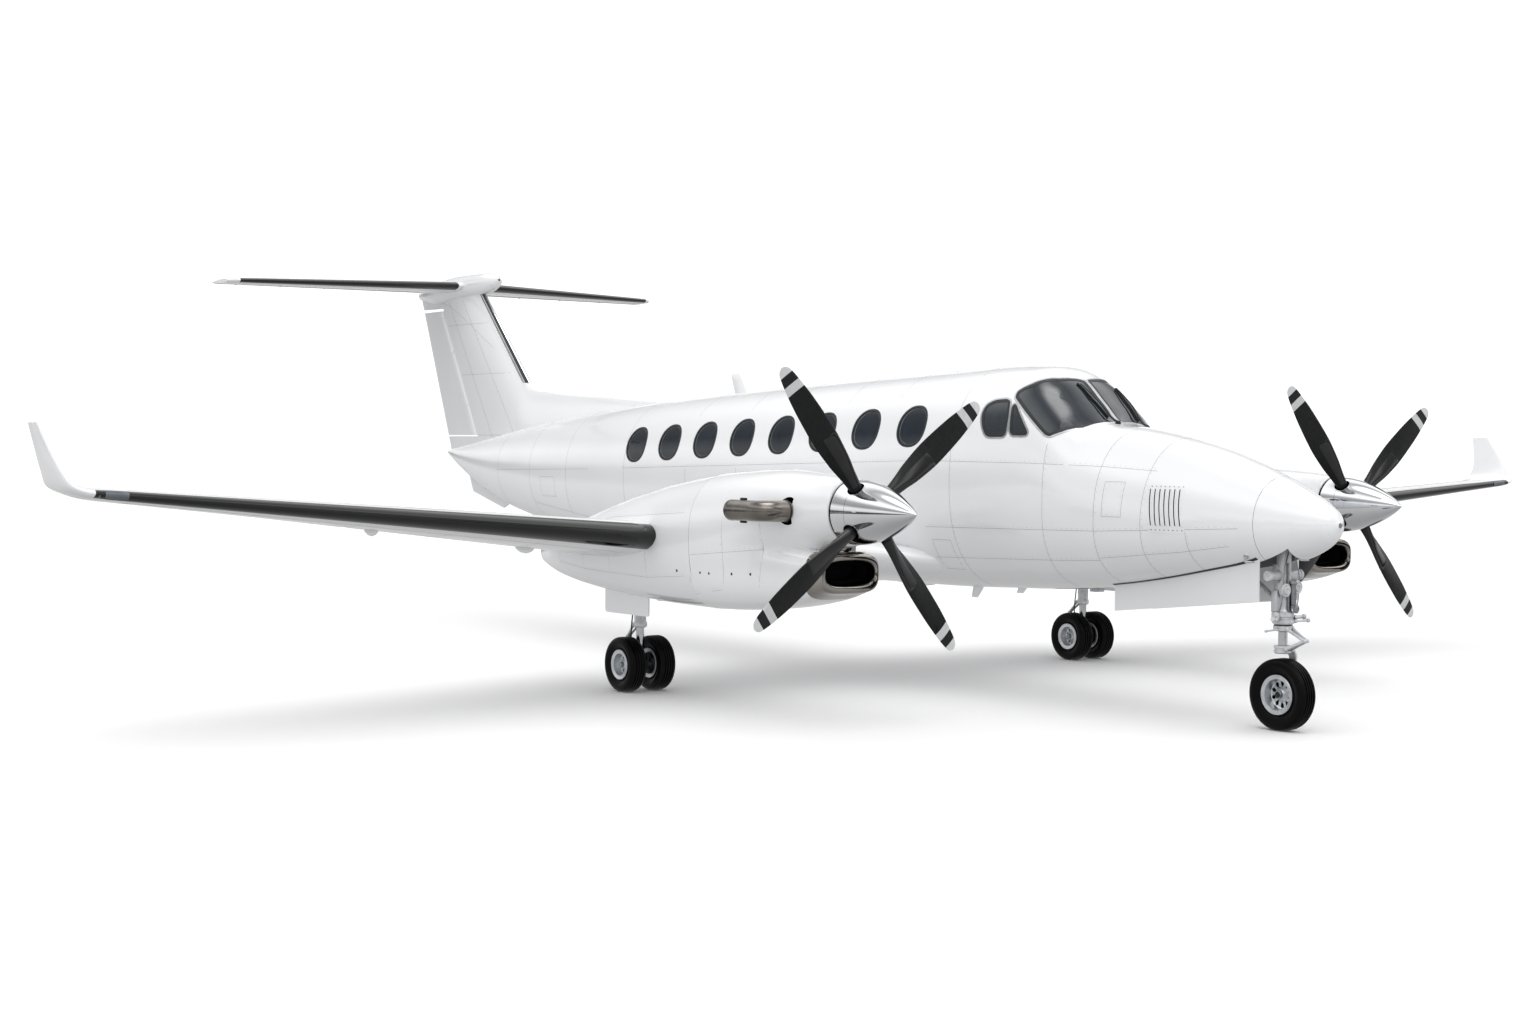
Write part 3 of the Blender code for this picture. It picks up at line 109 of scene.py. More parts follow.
# Wing sections: span position, leading edge station, height, chord, thickness ratio, cant and
# incidence in degrees
WING_ROOT = (
    (0.45, 4.22, 1.155, 2.95, 0.10, 5.0, 4.0),
    (1.15, 4.80, 1.235, 2.18, 0.145, 5.0, 4.5),
    (2.68, 4.86, 1.372, 2.09, 0.15, 5.0, 5.0),
)
WING_OUTER = (
    (2.90, 4.86, 1.395, 2.05, 0.15, 5.0, 5.0),
    (7.80, 4.58, 1.795, 0.74, 0.13, 5.0, 1.5),
    (8.00, 4.57, 1.812, 0.68, 0.12, 12.0, 1.0),
    (8.12, 4.62, 1.860, 0.59, 0.11, 45.0, 0.5),
    (8.17, 4.72, 1.965, 0.46, 0.10, 74.0, 0.0),
    (8.24, 5.03, 2.305, 0.21, 0.10, 78.0, 0.0),
)
TAILPLANE = (
    (0.02, 13.93, 4.130, 1.36, 0.10, 0.0, 0.5),
    (2.90, 14.44, 4.095, 0.70, 0.10, 0.0, 0.5),
    (2.98, 14.55, 4.095, 0.52, 0.09, 0.0, 0.5),
)
# Fin sections: height, leading edge station, chord, thickness ratio
FIN = (
    (2.02, 11.64, 2.857, 0.082),
    (4.11, 13.75, 1.64, 0.078),
)
# Outline of the foil: share of the chord, half thickness as a share of the greatest thickness
FOIL = ((0.0, 0.0), (0.012, 0.16), (0.04, 0.29), (0.10, 0.41), (0.20, 0.48), (0.32, 0.50),
        (0.48, 0.455), (0.64, 0.345), (0.74, 0.255), (0.86, 0.145), (1.0, 0.012))
# Control surfaces: ends as shares of the straight panel, hinge as a share of the chord, end play
FLAP = {"inner": 0.095, "outer": 0.545, "hinge": 0.72, "play": (0.010, 0.010)}
AILERON = {"inner": 0.56, "outer": 0.965, "hinge": 0.72, "play": (0.010, 0.010)}
ELEVATOR = {"inner": 0.075, "outer": 0.96, "hinge": 0.68, "play": (0.010, 0.010)}
RUDDER = {"inner": 0.12, "outer": 0.875, "hinge": 0.70, "play": (0.012, 0.032)}
COVE = 0.008

NACELLE_X = 2.78
SHAFT_Z = 1.67
PROP_STATION = 2.49
PROP_RADIUS = 1.36
GEAR_X = 2.69
MAIN_STATION = 5.85
NOSE_STATION = 0.87


# ------------------------------------------------------------ curves and sections

def at(x, station, height):
    """A point from its span position, station and height."""
    return Vector((x, station - MIDDLE, height))


def linear(code):
    """An sRGB hex colour as the linear colour that a shader takes."""
    parts = [int(code[i:i + 2], 16) / 255 for i in (1, 3, 5)]
    return (*[c / 12.92 if c <= 0.04045 else ((c + 0.055) / 1.055) ** 2.4 for c in parts], 1.0)


def slopes(places, values):
    """Slopes for a smooth curve through a column that never overshoots it."""
    steps = [b - a for a, b in zip(places, places[1:])]
    rises = [(b - a) / step for a, b, step in zip(values, values[1:], steps)]
    result = [rises[0]]
    for i in range(1, len(values) - 1):
        before, after = rises[i - 1], rises[i]
        if before * after <= 0:
            result.append(0.0)
        else:
            first = 2 * steps[i] + steps[i - 1]
            second = steps[i] + 2 * steps[i - 1]
            result.append((first + second) / (first / before + second / after))
    result.append(rises[-1])
    return result


def read_curve(places, columns, place):
    """Read columns of values at any place between the table's rows, smoothly."""
    index = 0
    while index < len(places) - 2 and place > places[index + 1]:
        index += 1
    step = places[index + 1] - places[index]
    u = (place - places[index]) / step
    result = []
    for values in columns:
        slope = slopes(places, values)
        result.append(values[index] * (2 * u**3 - 3 * u**2 + 1)
                      + step * slope[index] * (u**3 - 2 * u**2 + u)
                      + values[index + 1] * (3 * u**2 - 2 * u**3)
                      + step * slope[index + 1] * (u**3 - u**2))
    return result


def section_at(table, station):
    """One row of a table of sections, read at any station."""
    columns = list(zip(*table))
    return [station, *read_curve(columns[0], columns[1:], station)]


def hull_point(row, angle, x_centre=0.0, grow=0.0):
    """The point of a section's outline at an angle from the side, counted towards the top."""
    station, bottom, widest, top, half_width, upper, lower = row
    c, s = cos(angle), sin(angle)
    power = upper if s >= 0 else lower
    reach = (top - widest if s >= 0 else widest - bottom) + grow
    x = (half_width + grow) * swollen(c, 2 / power)
    z = widest + reach * swollen(s, 2 / power)
    return at(x_centre + x, station, z)


def hull_ring(row, x_centre=0.0, grow=0.0, sides=96):
    return [hull_point(row, a, x_centre, grow) for a in turns(sides)]


def table_ring(table, station, x_centre=0.0, grow=0.0, sides=96):
    return hull_ring(section_at(table, station), x_centre, grow, sides)


def turns(count):
    """Angles once round, evenly spaced."""
    return [2 * pi * k / count for k in range(count)]


def swollen(value, power):
    """A sine or cosine raised to a power, with its sign kept."""
    return copysign(abs(value) ** power, value)


def spread(start, end, pitch):
    """Places from start to end, no further apart than the pitch."""
    count = max(1, ceil(abs(end - start) / pitch - 1e-6))
    return [start + (end - start) * i / count for i in range(count + 1)]


def skin_angle(row, height):
    """The angle on the port side at which a section has that height."""
    station, bottom, widest, top, half_width, upper, lower = row
    above = height >= widest
    power = upper if above else lower
    reach = top - widest if above else widest - bottom
    share = min(abs(height - widest) / reach, 1.0)
    s = share ** (power / 2)
    return asin(min(s, 1.0)) * (1 if above else -1)


def body_point(station, height, side=1.0):
    """A point on the fuselage's side at a station and a height, and the direction outwards there."""
    def on_skin(s, a):
        point = hull_point(section_at(FUSELAGE, s), a)
        return Vector((side * point.x, point.y, point.z))
    angle = skin_angle(section_at(FUSELAGE, station), height)
    point = on_skin(station, angle)
    along = on_skin(station + 0.004, angle) - on_skin(station - 0.004, angle)
    around = on_skin(station, angle + 0.01) - on_skin(station, angle - 0.01)
    out = along.cross(around).normalized()
    if out.x * side < 0:
        out.negate()
    return point, out


FOIL_CURVE = ([sqrt(c) for c, _ in FOIL], [[h for _, h in FOIL]])


def foil_height(share):
    """Half the foil's thickness at a share of the chord."""
    return read_curve(FOIL_CURVE[0], FOIL_CURVE[1], sqrt(share))[0]


def foil_shares(count=22):
    """Shares of the chord from the nose to the tail, close together at the nose."""
    return [(1 - cos(pi / 2 * i / count)) ** 1.15 for i in range(count)] + [1.0]


def wing_axes(side, row):
    """A wing section's nose, its chord and its upward direction with half the foil's scale."""
    x, station, height, chord, thickness, cant, incidence = row
    lean, pitch = radians(cant), radians(incidence)
    up = Vector((-sin(lean) * side, 0, cos(lean)))
    aft = Vector((0, cos(pitch), 0)) - up * sin(pitch)
    return at(side * x, station, height), aft * chord, up * thickness * chord


def fin_axes(row):
    """A fin section's nose, its chord and its direction to port with half the foil's scale."""
    height, station, chord, thickness = row
    return at(0, station, height), Vector((0, chord, 0)), Vector((thickness * chord, 0, 0))


def fin_at(share):
    """The fin's axes at a share of its height."""
    return fin_axes([a + (b - a) * share for a, b in zip(*FIN)])


def foil_ring(axes, shares):
    """The leading edge, the upper side to the trailing edge and the lower side back."""
    nose, aft, up = axes
    upper = [nose + aft * c + up * foil_height(c) for c in shares]
    lower = [nose + aft * c - up * foil_height(c) for c in shares[::-1]]
    return upper + lower[:-1]


def wing_row(table, t):
    """A wing's row at t, where whole numbers are the table's rows; past the straight panel the rows
    are joined smoothly."""
    index = min(int(t), len(table) - 2)
    u = t - index
    if index == 0 or len(table) < 4:
        return [a + (b - a) * u for a, b in zip(table[index], table[index + 1])]
    columns = list(zip(*table))
    places = [0.0]
    for a, b in zip(table, table[1:]):
        places.append(places[-1] + hypot(b[0] - a[0], b[2] - a[2]))
    place = places[index] + (places[index + 1] - places[index]) * u
    return read_curve(places, columns, place)


# ------------------------------------------------------------ meshes and pieces

def skin(shape, rings, closed=True, caps=True):
    """Quads over rows of corners, with a cap on the first and the last row."""
    rows = [[shape.verts.new(point) for point in ring] for ring in rings]
    for near, far in zip(rows, rows[1:]):
        for i in range(len(near) if closed else len(near) - 1):
            j = (i + 1) % len(near)
            shape.faces.new((near[i], near[j], far[j], far[i]))
    if caps:
        shape.faces.new(rows[0])
        shape.faces.new(rows[-1])
    return rows


def tidy_mesh(shape, name):
    """Merge doubles, turn the faces outwards and make a mesh."""
    bmesh.ops.remove_doubles(shape, verts=shape.verts, dist=0.00002)
    bmesh.ops.dissolve_degenerate(shape, edges=shape.edges, dist=0.00001)
    bmesh.ops.recalc_face_normals(shape, faces=shape.faces)
    mesh = bpy.data.meshes.new(name)
    shape.to_mesh(mesh)
    shape.free()
    return mesh


def loft(name, rings, closed=True, caps=True):
    shape = bmesh.new()
    skin(shape, rings, closed, caps)
    return tidy_mesh(shape, name)


def shell(name, outer, inner):
    """A wall between an outer and an inner skin of the same rings, closed at both ends."""
    shape = bmesh.new()
    out = skin(shape, outer, caps=False)
    into = skin(shape, inner, caps=False)
    for a, b in ((out[0], into[0]), (out[-1], into[-1])):
        for i in range(len(a)):
            j = (i + 1) % len(a)
            shape.faces.new((a[i], a[j], b[j], b[i]))
    return tidy_mesh(shape, name)


def tube_rings(points, radius, sides=12):
    """Rings about a line of points; the radius may be one number or one for each point."""
    points = [Vector(p) for p in points]
    radii = radius if hasattr(radius, "__len__") else [radius] * len(points)
    rings = []
    across = None
    for i, point in enumerate(points):
        ahead = (points[min(i + 1, len(points) - 1)] - points[max(i - 1, 0)]).normalized()
        if across is None:
            across = ahead.orthogonal().normalized()
        across = (across - ahead * across.dot(ahead)).normalized()
        other = ahead.cross(across)
        rings.append([point + (across * cos(a) + other * sin(a)) * radii[i] for a in turns(sides)])
    return rings


def add_tube(shape, points, radius, sides=12):
    skin(shape, tube_rings(points, radius, sides))


def turned_rings(profile, centre, axis, steps=64):
    """Rings of a turned piece from (radius, distance along the axis)."""
    axis = Vector(axis).normalized()
    across = axis.orthogonal().normalized()
    other = axis.cross(across)
    return [[Vector(centre) + axis * along + (across * cos(a) + other * sin(a)) * radius
             for a in turns(steps)] for radius, along in profile]


def add_turned(shape, profile, centre, axis, steps=64):
    """A turned piece; its profile runs along the outside and, if it ends off the axis, comes back inside."""
    rings = turned_rings(profile, centre, axis, steps)
    if profile[0][0] < 1e-6 or profile[-1][0] < 1e-6:
        skin(shape, rings, caps=False)
    else:
        skin(shape, [*rings, rings[0]], caps=False)


def add_round(shape, profile, centre, axis, steps=64):
    """A turned piece that is closed on its axis at both ends of its profile."""
    add_turned(shape, [(0.0, profile[0][1]), *profile, (0.0, profile[-1][1])], centre, axis, steps)


def add_box(shape, centre, size, turn=None, bevel=0.0):
    """A block about its centre, with bevelled edges.

    A bevel makes its faces in an order that changes from run to run, so they are laid down again in
    order of their corners.
    """
    block = bmesh.new()
    bmesh.ops.create_cube(block, size=1.0)
    bmesh.ops.scale(block, vec=size, verts=block.verts)
    if bevel:
        bmesh.ops.bevel(block, geom=list(block.edges), offset=bevel, segments=2, profile=0.5,
                        affect="EDGES")
    matrix = Matrix.Translation(centre) @ (turn.to_matrix().to_4x4() if turn else Matrix.Identity(4))
    bmesh.ops.transform(block, matrix=matrix, verts=block.verts)
    faces = []
    for face in block.faces:
        corners = [tuple(v.co) for v in face.verts]
        first = corners.index(min(corners))
        faces.append(corners[first:] + corners[:first])
    block.free()
    for corners in sorted(faces):
        shape.faces.new([shape.verts.new(corner) for corner in corners])


def add_cushion(shape, middle, size, thin=2):
    """A padded cushion: crowned faces, round edges, and sides that pull in between its corners."""
    wide, deep = [axis for axis in range(3) if axis != thin]
    rings = []
    for step in range(1, 14):
        up = pi * (step / 14 - 0.5)
        ring = []
        for turn in turns(36):
            across, along_side = cos(turn), sin(turn)
            reach = cos(up) ** 0.45 * (1.0 - 0.05 * cos(2 * turn) ** 2)
            point = [0.0, 0.0, 0.0]
            point[wide] = size[wide] / 2 * reach * swollen(across, 0.35)
            point[deep] = size[deep] / 2 * reach * swollen(along_side, 0.35)
            point[thin] = size[thin] / 2 * swollen(sin(up), 0.6)
            ring.append(middle + Vector(point))
        rings.append(ring)
    skin(shape, rings)


def add_ribbon(shape, path, width, lift=0.0008, depth=0.002, closed=False):
    """A flat strip along a path of (point, direction outwards), let into the surface by its depth."""
    rows = []
    count = len(path)
    for i, (point, out) in enumerate(path):
        after = path[(i + 1) % count][0] if closed or i < count - 1 else point
        before = path[i - 1][0] if closed or i else point
        side = (after - before).cross(out).normalized() * width / 2
        rows.append([point - side + out * lift, point + side + out * lift,
                     point + side - out * depth, point - side - out * depth])
    if closed:
        rows.append(rows[0])
    skin(shape, rows, caps=not closed)


class Shading:
    """The directions outwards of a whole smooth skin, for the pieces that are cut from it."""

    def __init__(self, rings):
        mesh = loft("whole", rings, caps=False)
        self.points = [v.co.copy() for v in mesh.vertices]
        self.directions = [v.normal.copy() for v in mesh.vertices]
        self.faces = [tuple(f.vertices) for f in mesh.polygons]
        self.tree = BVHTree.FromPolygons(self.points, self.faces)

    def at(self, point):
        """The direction outwards nearest a point, and how far off the skin is."""
        near, normal, index, distance = self.tree.find_nearest(point)
        corners = self.faces[index]
        weights = [1 / ((self.points[c] - near).length_squared + 1e-9) for c in corners]
        found = sum((self.directions[c] * w for c, w in zip(corners, weights)), Vector())
        return found.normalized(), distance


def carve(name, mesh, cutters):
    """The mesh with the cutters' space taken out, in closed form."""
    scene = bpy.context.scene.collection
    thing = bpy.data.objects.new(name, mesh)
    scene.objects.link(thing)
    tools = []
    for cutter in cutters:
        tool = bpy.data.objects.new("cutter", cutter)
        scene.objects.link(tool)
        tools.append(tool)
        change = thing.modifiers.new("cut", "BOOLEAN")
        change.operation, change.solver, change.object = "DIFFERENCE", "EXACT", tool
    bpy.context.view_layer.update()
    result = bpy.data.meshes.new_from_object(
        thing.evaluated_get(bpy.context.evaluated_depsgraph_get()))
    for used in (thing, *tools):
        bpy.data.objects.remove(used)
    return result


def piece(name, mesh, finish, body="airframe", stands_for=(), shading=None, sharp=38, inside=None):
    """A finished piece of a mesh or of an open shape, with the body it rides on and what it replaces.

    Inside is a second material, for the faces that lie deeper than the skin.
    """
    if isinstance(mesh, bmesh.types.BMesh):
        mesh = tidy_mesh(mesh, name)
    mesh.materials.clear()
    mesh.materials.append(finish)
    mesh.shade_smooth()
    if inside:
        mesh.materials.append(inside)
        for face in mesh.polygons:
            out, distance = shading.at(face.center)
            face.material_index = 1 if distance > 0.004 or abs(out.dot(face.normal)) < 0.5 else 0
    if shading:
        keep = []
        for face in mesh.polygons:
            for corner in face.vertices:
                out, distance = shading.at(mesh.vertices[corner].co)
                keep.append(out if distance < 0.0015 and out.dot(face.normal) > 0.86 else face.normal)
        mesh.normals_split_custom_set(keep)
    else:
        mesh.set_sharp_from_angle(angle=radians(sharp))
    thing = bpy.data.objects.new(name, mesh)
    bpy.context.scene.collection.objects.link(thing)
    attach(thing, body)
    if stands_for:
        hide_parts(*stands_for)
    return thing


# ------------------------------------------------------------ materials

def add_node(tree, kind, inputs=None, **settings):
    """Add a node with its settings; an input is a value or another node's socket."""
    made = tree.nodes.new(kind)
    for key, value in settings.items():
        setattr(made, key, value)
    for key, value in (inputs or {}).items():
        if isinstance(value, bpy.types.NodeSocket):
            tree.links.new(value, made.inputs[key])
        else:
            made.inputs[key].default_value = value
    return made


def new_material(name, colour, roughness, metallic=0.0, **constants):
    """A material with its shader's constants set; its pattern is added by the caller."""
    made = bpy.data.materials.new(name)
    made.use_nodes = True
    shader = made.node_tree.nodes["Principled BSDF"]
    shader.inputs["Base Color"].default_value = linear(colour)
    shader.inputs["Roughness"].default_value = roughness
    shader.inputs["Metallic"].default_value = metallic
    for key, value in constants.items():
        shader.inputs[key.replace("_", " ")].default_value = value
    made.diffuse_color = linear(colour)
    return made, made.node_tree, shader


def mottle(tree, scale, low, high, detail=3.0, position=None):
    """A noise in metres, brought between two values."""
    place = position or add_node(tree, "ShaderNodeTexCoord").outputs["Object"]
    noise = add_node(tree, "ShaderNodeTexNoise", {"Vector": place, "Scale": scale, "Detail": detail})
    return add_node(tree, "ShaderNodeMapRange", {
        "Value": noise.outputs["Fac"], "From Min": 0.3, "From Max": 0.7, "To Min": low,
        "To Max": high}).outputs["Result"]


def tint(tree, factor, first, second):
    """A colour between two, by a factor."""
    mixed = add_node(tree, "ShaderNodeMix", {0: factor, 6: linear(first), 7: linear(second)},
                     data_type="RGBA")
    return mixed.outputs[2]


def rough_bump(tree, shader, height, strength, distance):
    bump = add_node(tree, "ShaderNodeBump", {"Height": height, "Strength": strength,
                                             "Distance": distance})
    tree.links.new(bump.outputs["Normal"], shader.inputs["Normal"])


def make_white_paint():
    """Two-pack polyurethane enamel, sprayed and gloss: a clean white with a faint orange peel."""
    made, tree, shader = new_material("polyurethane_gloss_white", "#EEEFF1", 0.16, IOR=1.5,
                                      Coat_Weight=0.6, Coat_Roughness=0.04)
    shade = tint(tree, mottle(tree, 0.9, 0.0, 1.0), "#ECEDEF", "#F0F1F3")
    tree.links.new(shade, shader.inputs["Base Color"])
    tree.links.new(mottle(tree, 2.5, 0.13, 0.20), shader.inputs["Roughness"])
    # Orange peel is about 3 mm across; drawn at 12 mm and very shallow so that it shows at all
    peel = add_node(tree, "ShaderNodeTexNoise", {
        "Vector": add_node(tree, "ShaderNodeTexCoord").outputs["Object"], "Scale": 80.0})
    rough_bump(tree, shader, peel.outputs["Fac"], 0.02, 0.001)
    return made


def make_glass(name, low, high, gloss=0.5):
    """Stretched acrylic with a dark tint: nearly black with a blue cast, mirror smooth. The pane is opaque,
    so its dark colour also paints the shade of the space behind it.
    """
    made, tree, shader = new_material(name, low, 0.03, IOR=1.49, Specular_IOR_Level=gloss)
    tree.links.new(tint(tree, mottle(tree, 3.0, 0.0, 1.0), low, high), shader.inputs["Base Color"])
    tree.links.new(mottle(tree, 9.0, 0.02, 0.06), shader.inputs["Roughness"])
    return made


def make_rubber(name, low, high, roughness, gloss=0.5):
    """Moulded rubber: near black, with fine dust that greys it in patches."""
    made, tree, shader = new_material(name, low, roughness, IOR=1.52, Specular_IOR_Level=gloss)
    tree.links.new(tint(tree, mottle(tree, 14.0, 0.0, 1.0), low, high), shader.inputs["Base Color"])
    tree.links.new(mottle(tree, 22.0, roughness - 0.06, roughness + 0.08), shader.inputs["Roughness"])
    # Rubber's grain is under 1 mm; drawn at 5 mm so that it shows close up
    grain = add_node(tree, "ShaderNodeTexNoise", {
        "Vector": add_node(tree, "ShaderNodeTexCoord").outputs["Object"], "Scale": 200.0})
    rough_bump(tree, shader, grain.outputs["Fac"], 0.15, 0.0005)
    return made


def make_metal(name, low, high, roughness, scale=20.0, **constants):
    """Bare metal, polished or brushed, with a slight change of tone and of polish."""
    made, tree, shader = new_material(name, low, roughness, 1.0, **constants)
    tree.links.new(tint(tree, mottle(tree, scale, 0.0, 1.0), low, high), shader.inputs["Base Color"])
    tree.links.new(mottle(tree, scale * 1.7, max(roughness - 0.03, 0.01), roughness + 0.05),
                   shader.inputs["Roughness"])
    return made


def make_heat_steel():
    """Stainless steel that exhaust heat has browned: straw and bronze with blue-grey patches."""
    made, tree, shader = new_material("heat_tinted_stainless_steel", "#7C7771", 0.24, 1.0)
    place = add_node(tree, "ShaderNodeTexCoord").outputs["Object"]
    noise = add_node(tree, "ShaderNodeTexNoise", {"Vector": place, "Scale": 4.0, "Detail": 2.0})
    ramp = add_node(tree, "ShaderNodeValToRGB", {"Fac": noise.outputs["Fac"]})
    stops = ramp.color_ramp.elements
    stops[0].position, stops[0].color = 0.30, linear("#6B6763")
    stops[1].position, stops[1].color = 0.72, linear("#928D87")
    stops.new(0.5).color = linear("#7F7A74")
    tree.links.new(ramp.outputs["Color"], shader.inputs["Base Color"])
    tree.links.new(mottle(tree, 16.0, 0.17, 0.28), shader.inputs["Roughness"])
    return made


# Radius in metres at which each band of the blade's tip starts, from the inside outwards
BLADE_BANDS = ((1.145, "#C9CACB"), (1.215, "#1C1D1F"), (1.290, "#CFD0D1"))


def make_blade_finish(side_name, side):
    """Graphite composite with a satin black coat; the tip has light, black and light bands."""
    made, tree, shader = new_material(f"graphite_composite_{side_name}", "#141517", 0.30, IOR=1.5,
                                      Specular_IOR_Level=0.2)
    place = add_node(tree, "ShaderNodeTexCoord").outputs["Object"]
    centred = add_node(tree, "ShaderNodeVectorMath", {0: place, 1: (-side * NACELLE_X, 0, -SHAFT_Z)})
    flat = add_node(tree, "ShaderNodeVectorMath", {0: centred.outputs[0], 1: (1, 0, 1)},
                    operation="MULTIPLY")
    radius = add_node(tree, "ShaderNodeVectorMath", {0: flat.outputs[0]}, operation="LENGTH")
    share = add_node(tree, "ShaderNodeMath", {0: radius.outputs["Value"], 1: 1.5}, operation="DIVIDE")
    ramp = add_node(tree, "ShaderNodeValToRGB", {"Fac": share.outputs[0]})
    ramp.color_ramp.interpolation = "CONSTANT"
    stops = ramp.color_ramp.elements
    stops[0].position, stops[0].color = 0.0, linear("#0E0F10")
    stops[1].position, stops[1].color = 0.60 / 1.5, linear("#131415")
    for place_m, colour in BLADE_BANDS:
        stops.new(place_m / 1.5).color = linear(colour)
    wear = mottle(tree, 30.0, 0.0, 0.10)
    worn = add_node(tree, "ShaderNodeMix", {0: wear, 6: ramp.outputs["Color"], 7: linear("#3A3B3D")},
                    data_type="RGBA")
    tree.links.new(worn.outputs[2], shader.inputs["Base Color"])
    tree.links.new(mottle(tree, 18.0, 0.26, 0.40), shader.inputs["Roughness"])
    return made


# The panes are opaque: their dark colour is the tint, and painted shade of the cabin behind.
CABIN_GLASS = make_glass("tinted_acrylic_cabin_glass", "#141B23", "#202A34", 0.30)
SCREEN_GLASS = make_glass("laminated_screen_glass", "#1E252B", "#2B333A", 0.7)
FRAME_CRESCENT = make_metal("anodised_window_ring", "#5B6166", "#747B81", 0.35)
# Black rubber for seals, seams and wiper blades; it also paints the shade line at the nose wheel's bay.
SEAL_AND_SHADE_BLACK = make_rubber("black_silicone_seal_and_painted_shade", "#101112", "#1B1C1D", 0.45)
BOOT = make_rubber("black_neoprene_deicing_boot", "#0A0B0C", "#121314", 0.10)
TYRE = make_rubber("vulcanised_tyre_rubber", "#040405", "#09090A", 0.36, 0.10)
# VOID is near black: it paints the shade in holes, gaps, slots, ducts and wheels, and the soot inside the
# exhaust pipes.
VOID = make_rubber("near_black_painted_shade_and_soot", "#060607", "#0C0C0D", 0.8, 0.12)
BAY_PAINT = make_rubber("grey_epoxy_bay_primer", "#6E7173", "#85888A", 0.55, 0.3)
LINING = make_rubber("cream_leather_cabin_lining", "#B9B2A6", "#C9C2B6", 0.6, 0.3)
JOINT = make_rubber("grey_polysulphide_joint_sealant", "#8B8E91", "#A0A3A6", 0.5, 0.3)
LENS = make_glass("clear_polycarbonate_lens", "#4A5056", "#737A80", 0.8)
RED_LENS = make_glass("red_polycarbonate_lens", "#6E1512", "#8A1E18", 0.6)
PLASTIC = make_rubber("black_moulded_plastic", "#141516", "#1E1F21", 0.38, 0.4)
CHROME = make_metal("polished_chrome", "#D6D8DB", "#E2E4E7", 0.03, 3.0)
NICKEL = make_metal("polished_warm_nickel", "#8F8B86", "#A29E99", 0.11, 3.0)
POLISHED = make_metal("polished_aluminium", "#C6C9CC", "#DADCDE", 0.16, 8.0)
BARE_FRAME = make_metal("satin_aluminium_frame", "#A4A8AC", "#BCC0C4", 0.28, 12.0)
WHEEL = make_metal("cast_aluminium_wheel", "#CDD0D3", "#E0E3E6", 0.36, 25.0)
STEEL = make_metal("zinc_plated_steel", "#8D9195", "#A9ADB1", 0.30, 30.0)
DARK_STEEL = make_metal("phosphated_dark_steel", "#4C4E50", "#66686A", 0.38, 40.0)
HEAT = make_heat_steel()


def make_gear_paint():
    """Epoxy enamel in silver grey over machined forgings, with random tone and painted shade in its corners.
    """
    made, tree, shader = new_material("silver_grey_gear_enamel", "#C6C9CC", 0.26, 0.30)
    unshaded_paint = tint(tree, mottle(tree, 12.0, 0.0, 1.0), "#BEC1C4", "#E2E4E6")
    # Painted shade: an Ambient Occlusion node darkens the corners between the bosses towards near black,
    # within some 45 mm
    corner_occlusion = add_node(tree, "ShaderNodeAmbientOcclusion", {"Distance": 0.045})
    painted_corner_shade = add_node(tree, "ShaderNodeMapRange", {
        "Value": corner_occlusion.outputs["AO"], "From Min": 0.25, "From Max": 0.85, "To Min": 0.0,
        "To Max": 1.0})
    corner_shaded_paint = add_node(tree, "ShaderNodeMix", {0: painted_corner_shade.outputs["Result"], 6: linear("#2A2B2C"), 7: unshaded_paint},
                      data_type="RGBA")
    tree.links.new(corner_shaded_paint.outputs[2], shader.inputs["Base Color"])
    tree.links.new(mottle(tree, 30.0, 0.24, 0.40), shader.inputs["Roughness"])
    return made


GEAR_PAINT = make_gear_paint()
WHITE = make_white_paint()

# ------------------------------------------------------------ fuselage skins

RADOME_JOINT = 0.88
NOSE_JOINT = 2.30
TAIL_JOINT = 10.60
SKIN = 0.03
SEAM = 0.0015
# The windshield as (station, metres round from the crown); the other windows as (station, height)
WINDSHIELD = ((2.640, 0.022), (2.690, 0.430), (2.795, 0.625), (2.860, 0.695), (2.900, 0.695),
              (3.330, 0.480), (3.340, 0.440), (3.235, 0.375), (3.110, 0.205), (3.070, 0.022))
GIRTH_CENTRE, GIRTH_RADIUS = 1.60, 0.95
SIDE_WINDOWS = {
    "front": ((3.065, 2.275), (3.262, 2.275), (3.322, 2.515), (3.302, 2.530), (3.275, 2.515)),
    "rear": ((3.318, 2.262), (3.540, 2.262), (3.615, 2.36), (3.652, 2.45), (3.642, 2.525),
             (3.56, 2.565), (3.42, 2.572), (3.372, 2.555), (3.330, 2.42)),
}
DOOR = {"front": 9.34, "rear": 10.02, "sill": 1.26, "head": 2.42, "corner": 0.10}
# Cabin windows: the first and the last one's station and height, their number and half sizes
CABIN_WINDOWS = {"first": (4.53, 2.35), "last": (9.06, 2.17), "count": 8, "half": (0.192, 0.182)}


def rounded(outline, radius, steps=5):
    """Round the corners of a flat outline of two-number points."""
    result = []
    count = len(outline)
    for i in range(count):
        before, corner, after = (Vector(outline[j % count]) for j in (i - 1, i, i + 1))
        reach = min(radius, (before - corner).length * 0.45, (after - corner).length * 0.45)
        start = corner + (before - corner).normalized() * reach
        end = corner + (after - corner).normalized() * reach
        for step in range(steps + 1):
            t = step / steps
            result.append(start * (1 - t) ** 2 + corner * 2 * t * (1 - t) + end * t**2)
    return result


def rectangle(front, rear, low, high):
    return (front, low), (rear, low), (rear, high), (front, high)


def refined(outline, pitch):
    """More points along a closed flat outline."""
    result = []
    for i, point in enumerate(outline):
        ahead = outline[(i + 1) % len(outline)]
        count = max(1, ceil((ahead - point).length / pitch))
        result += [point + (ahead - point) * k / count for k in range(count)]
    return result


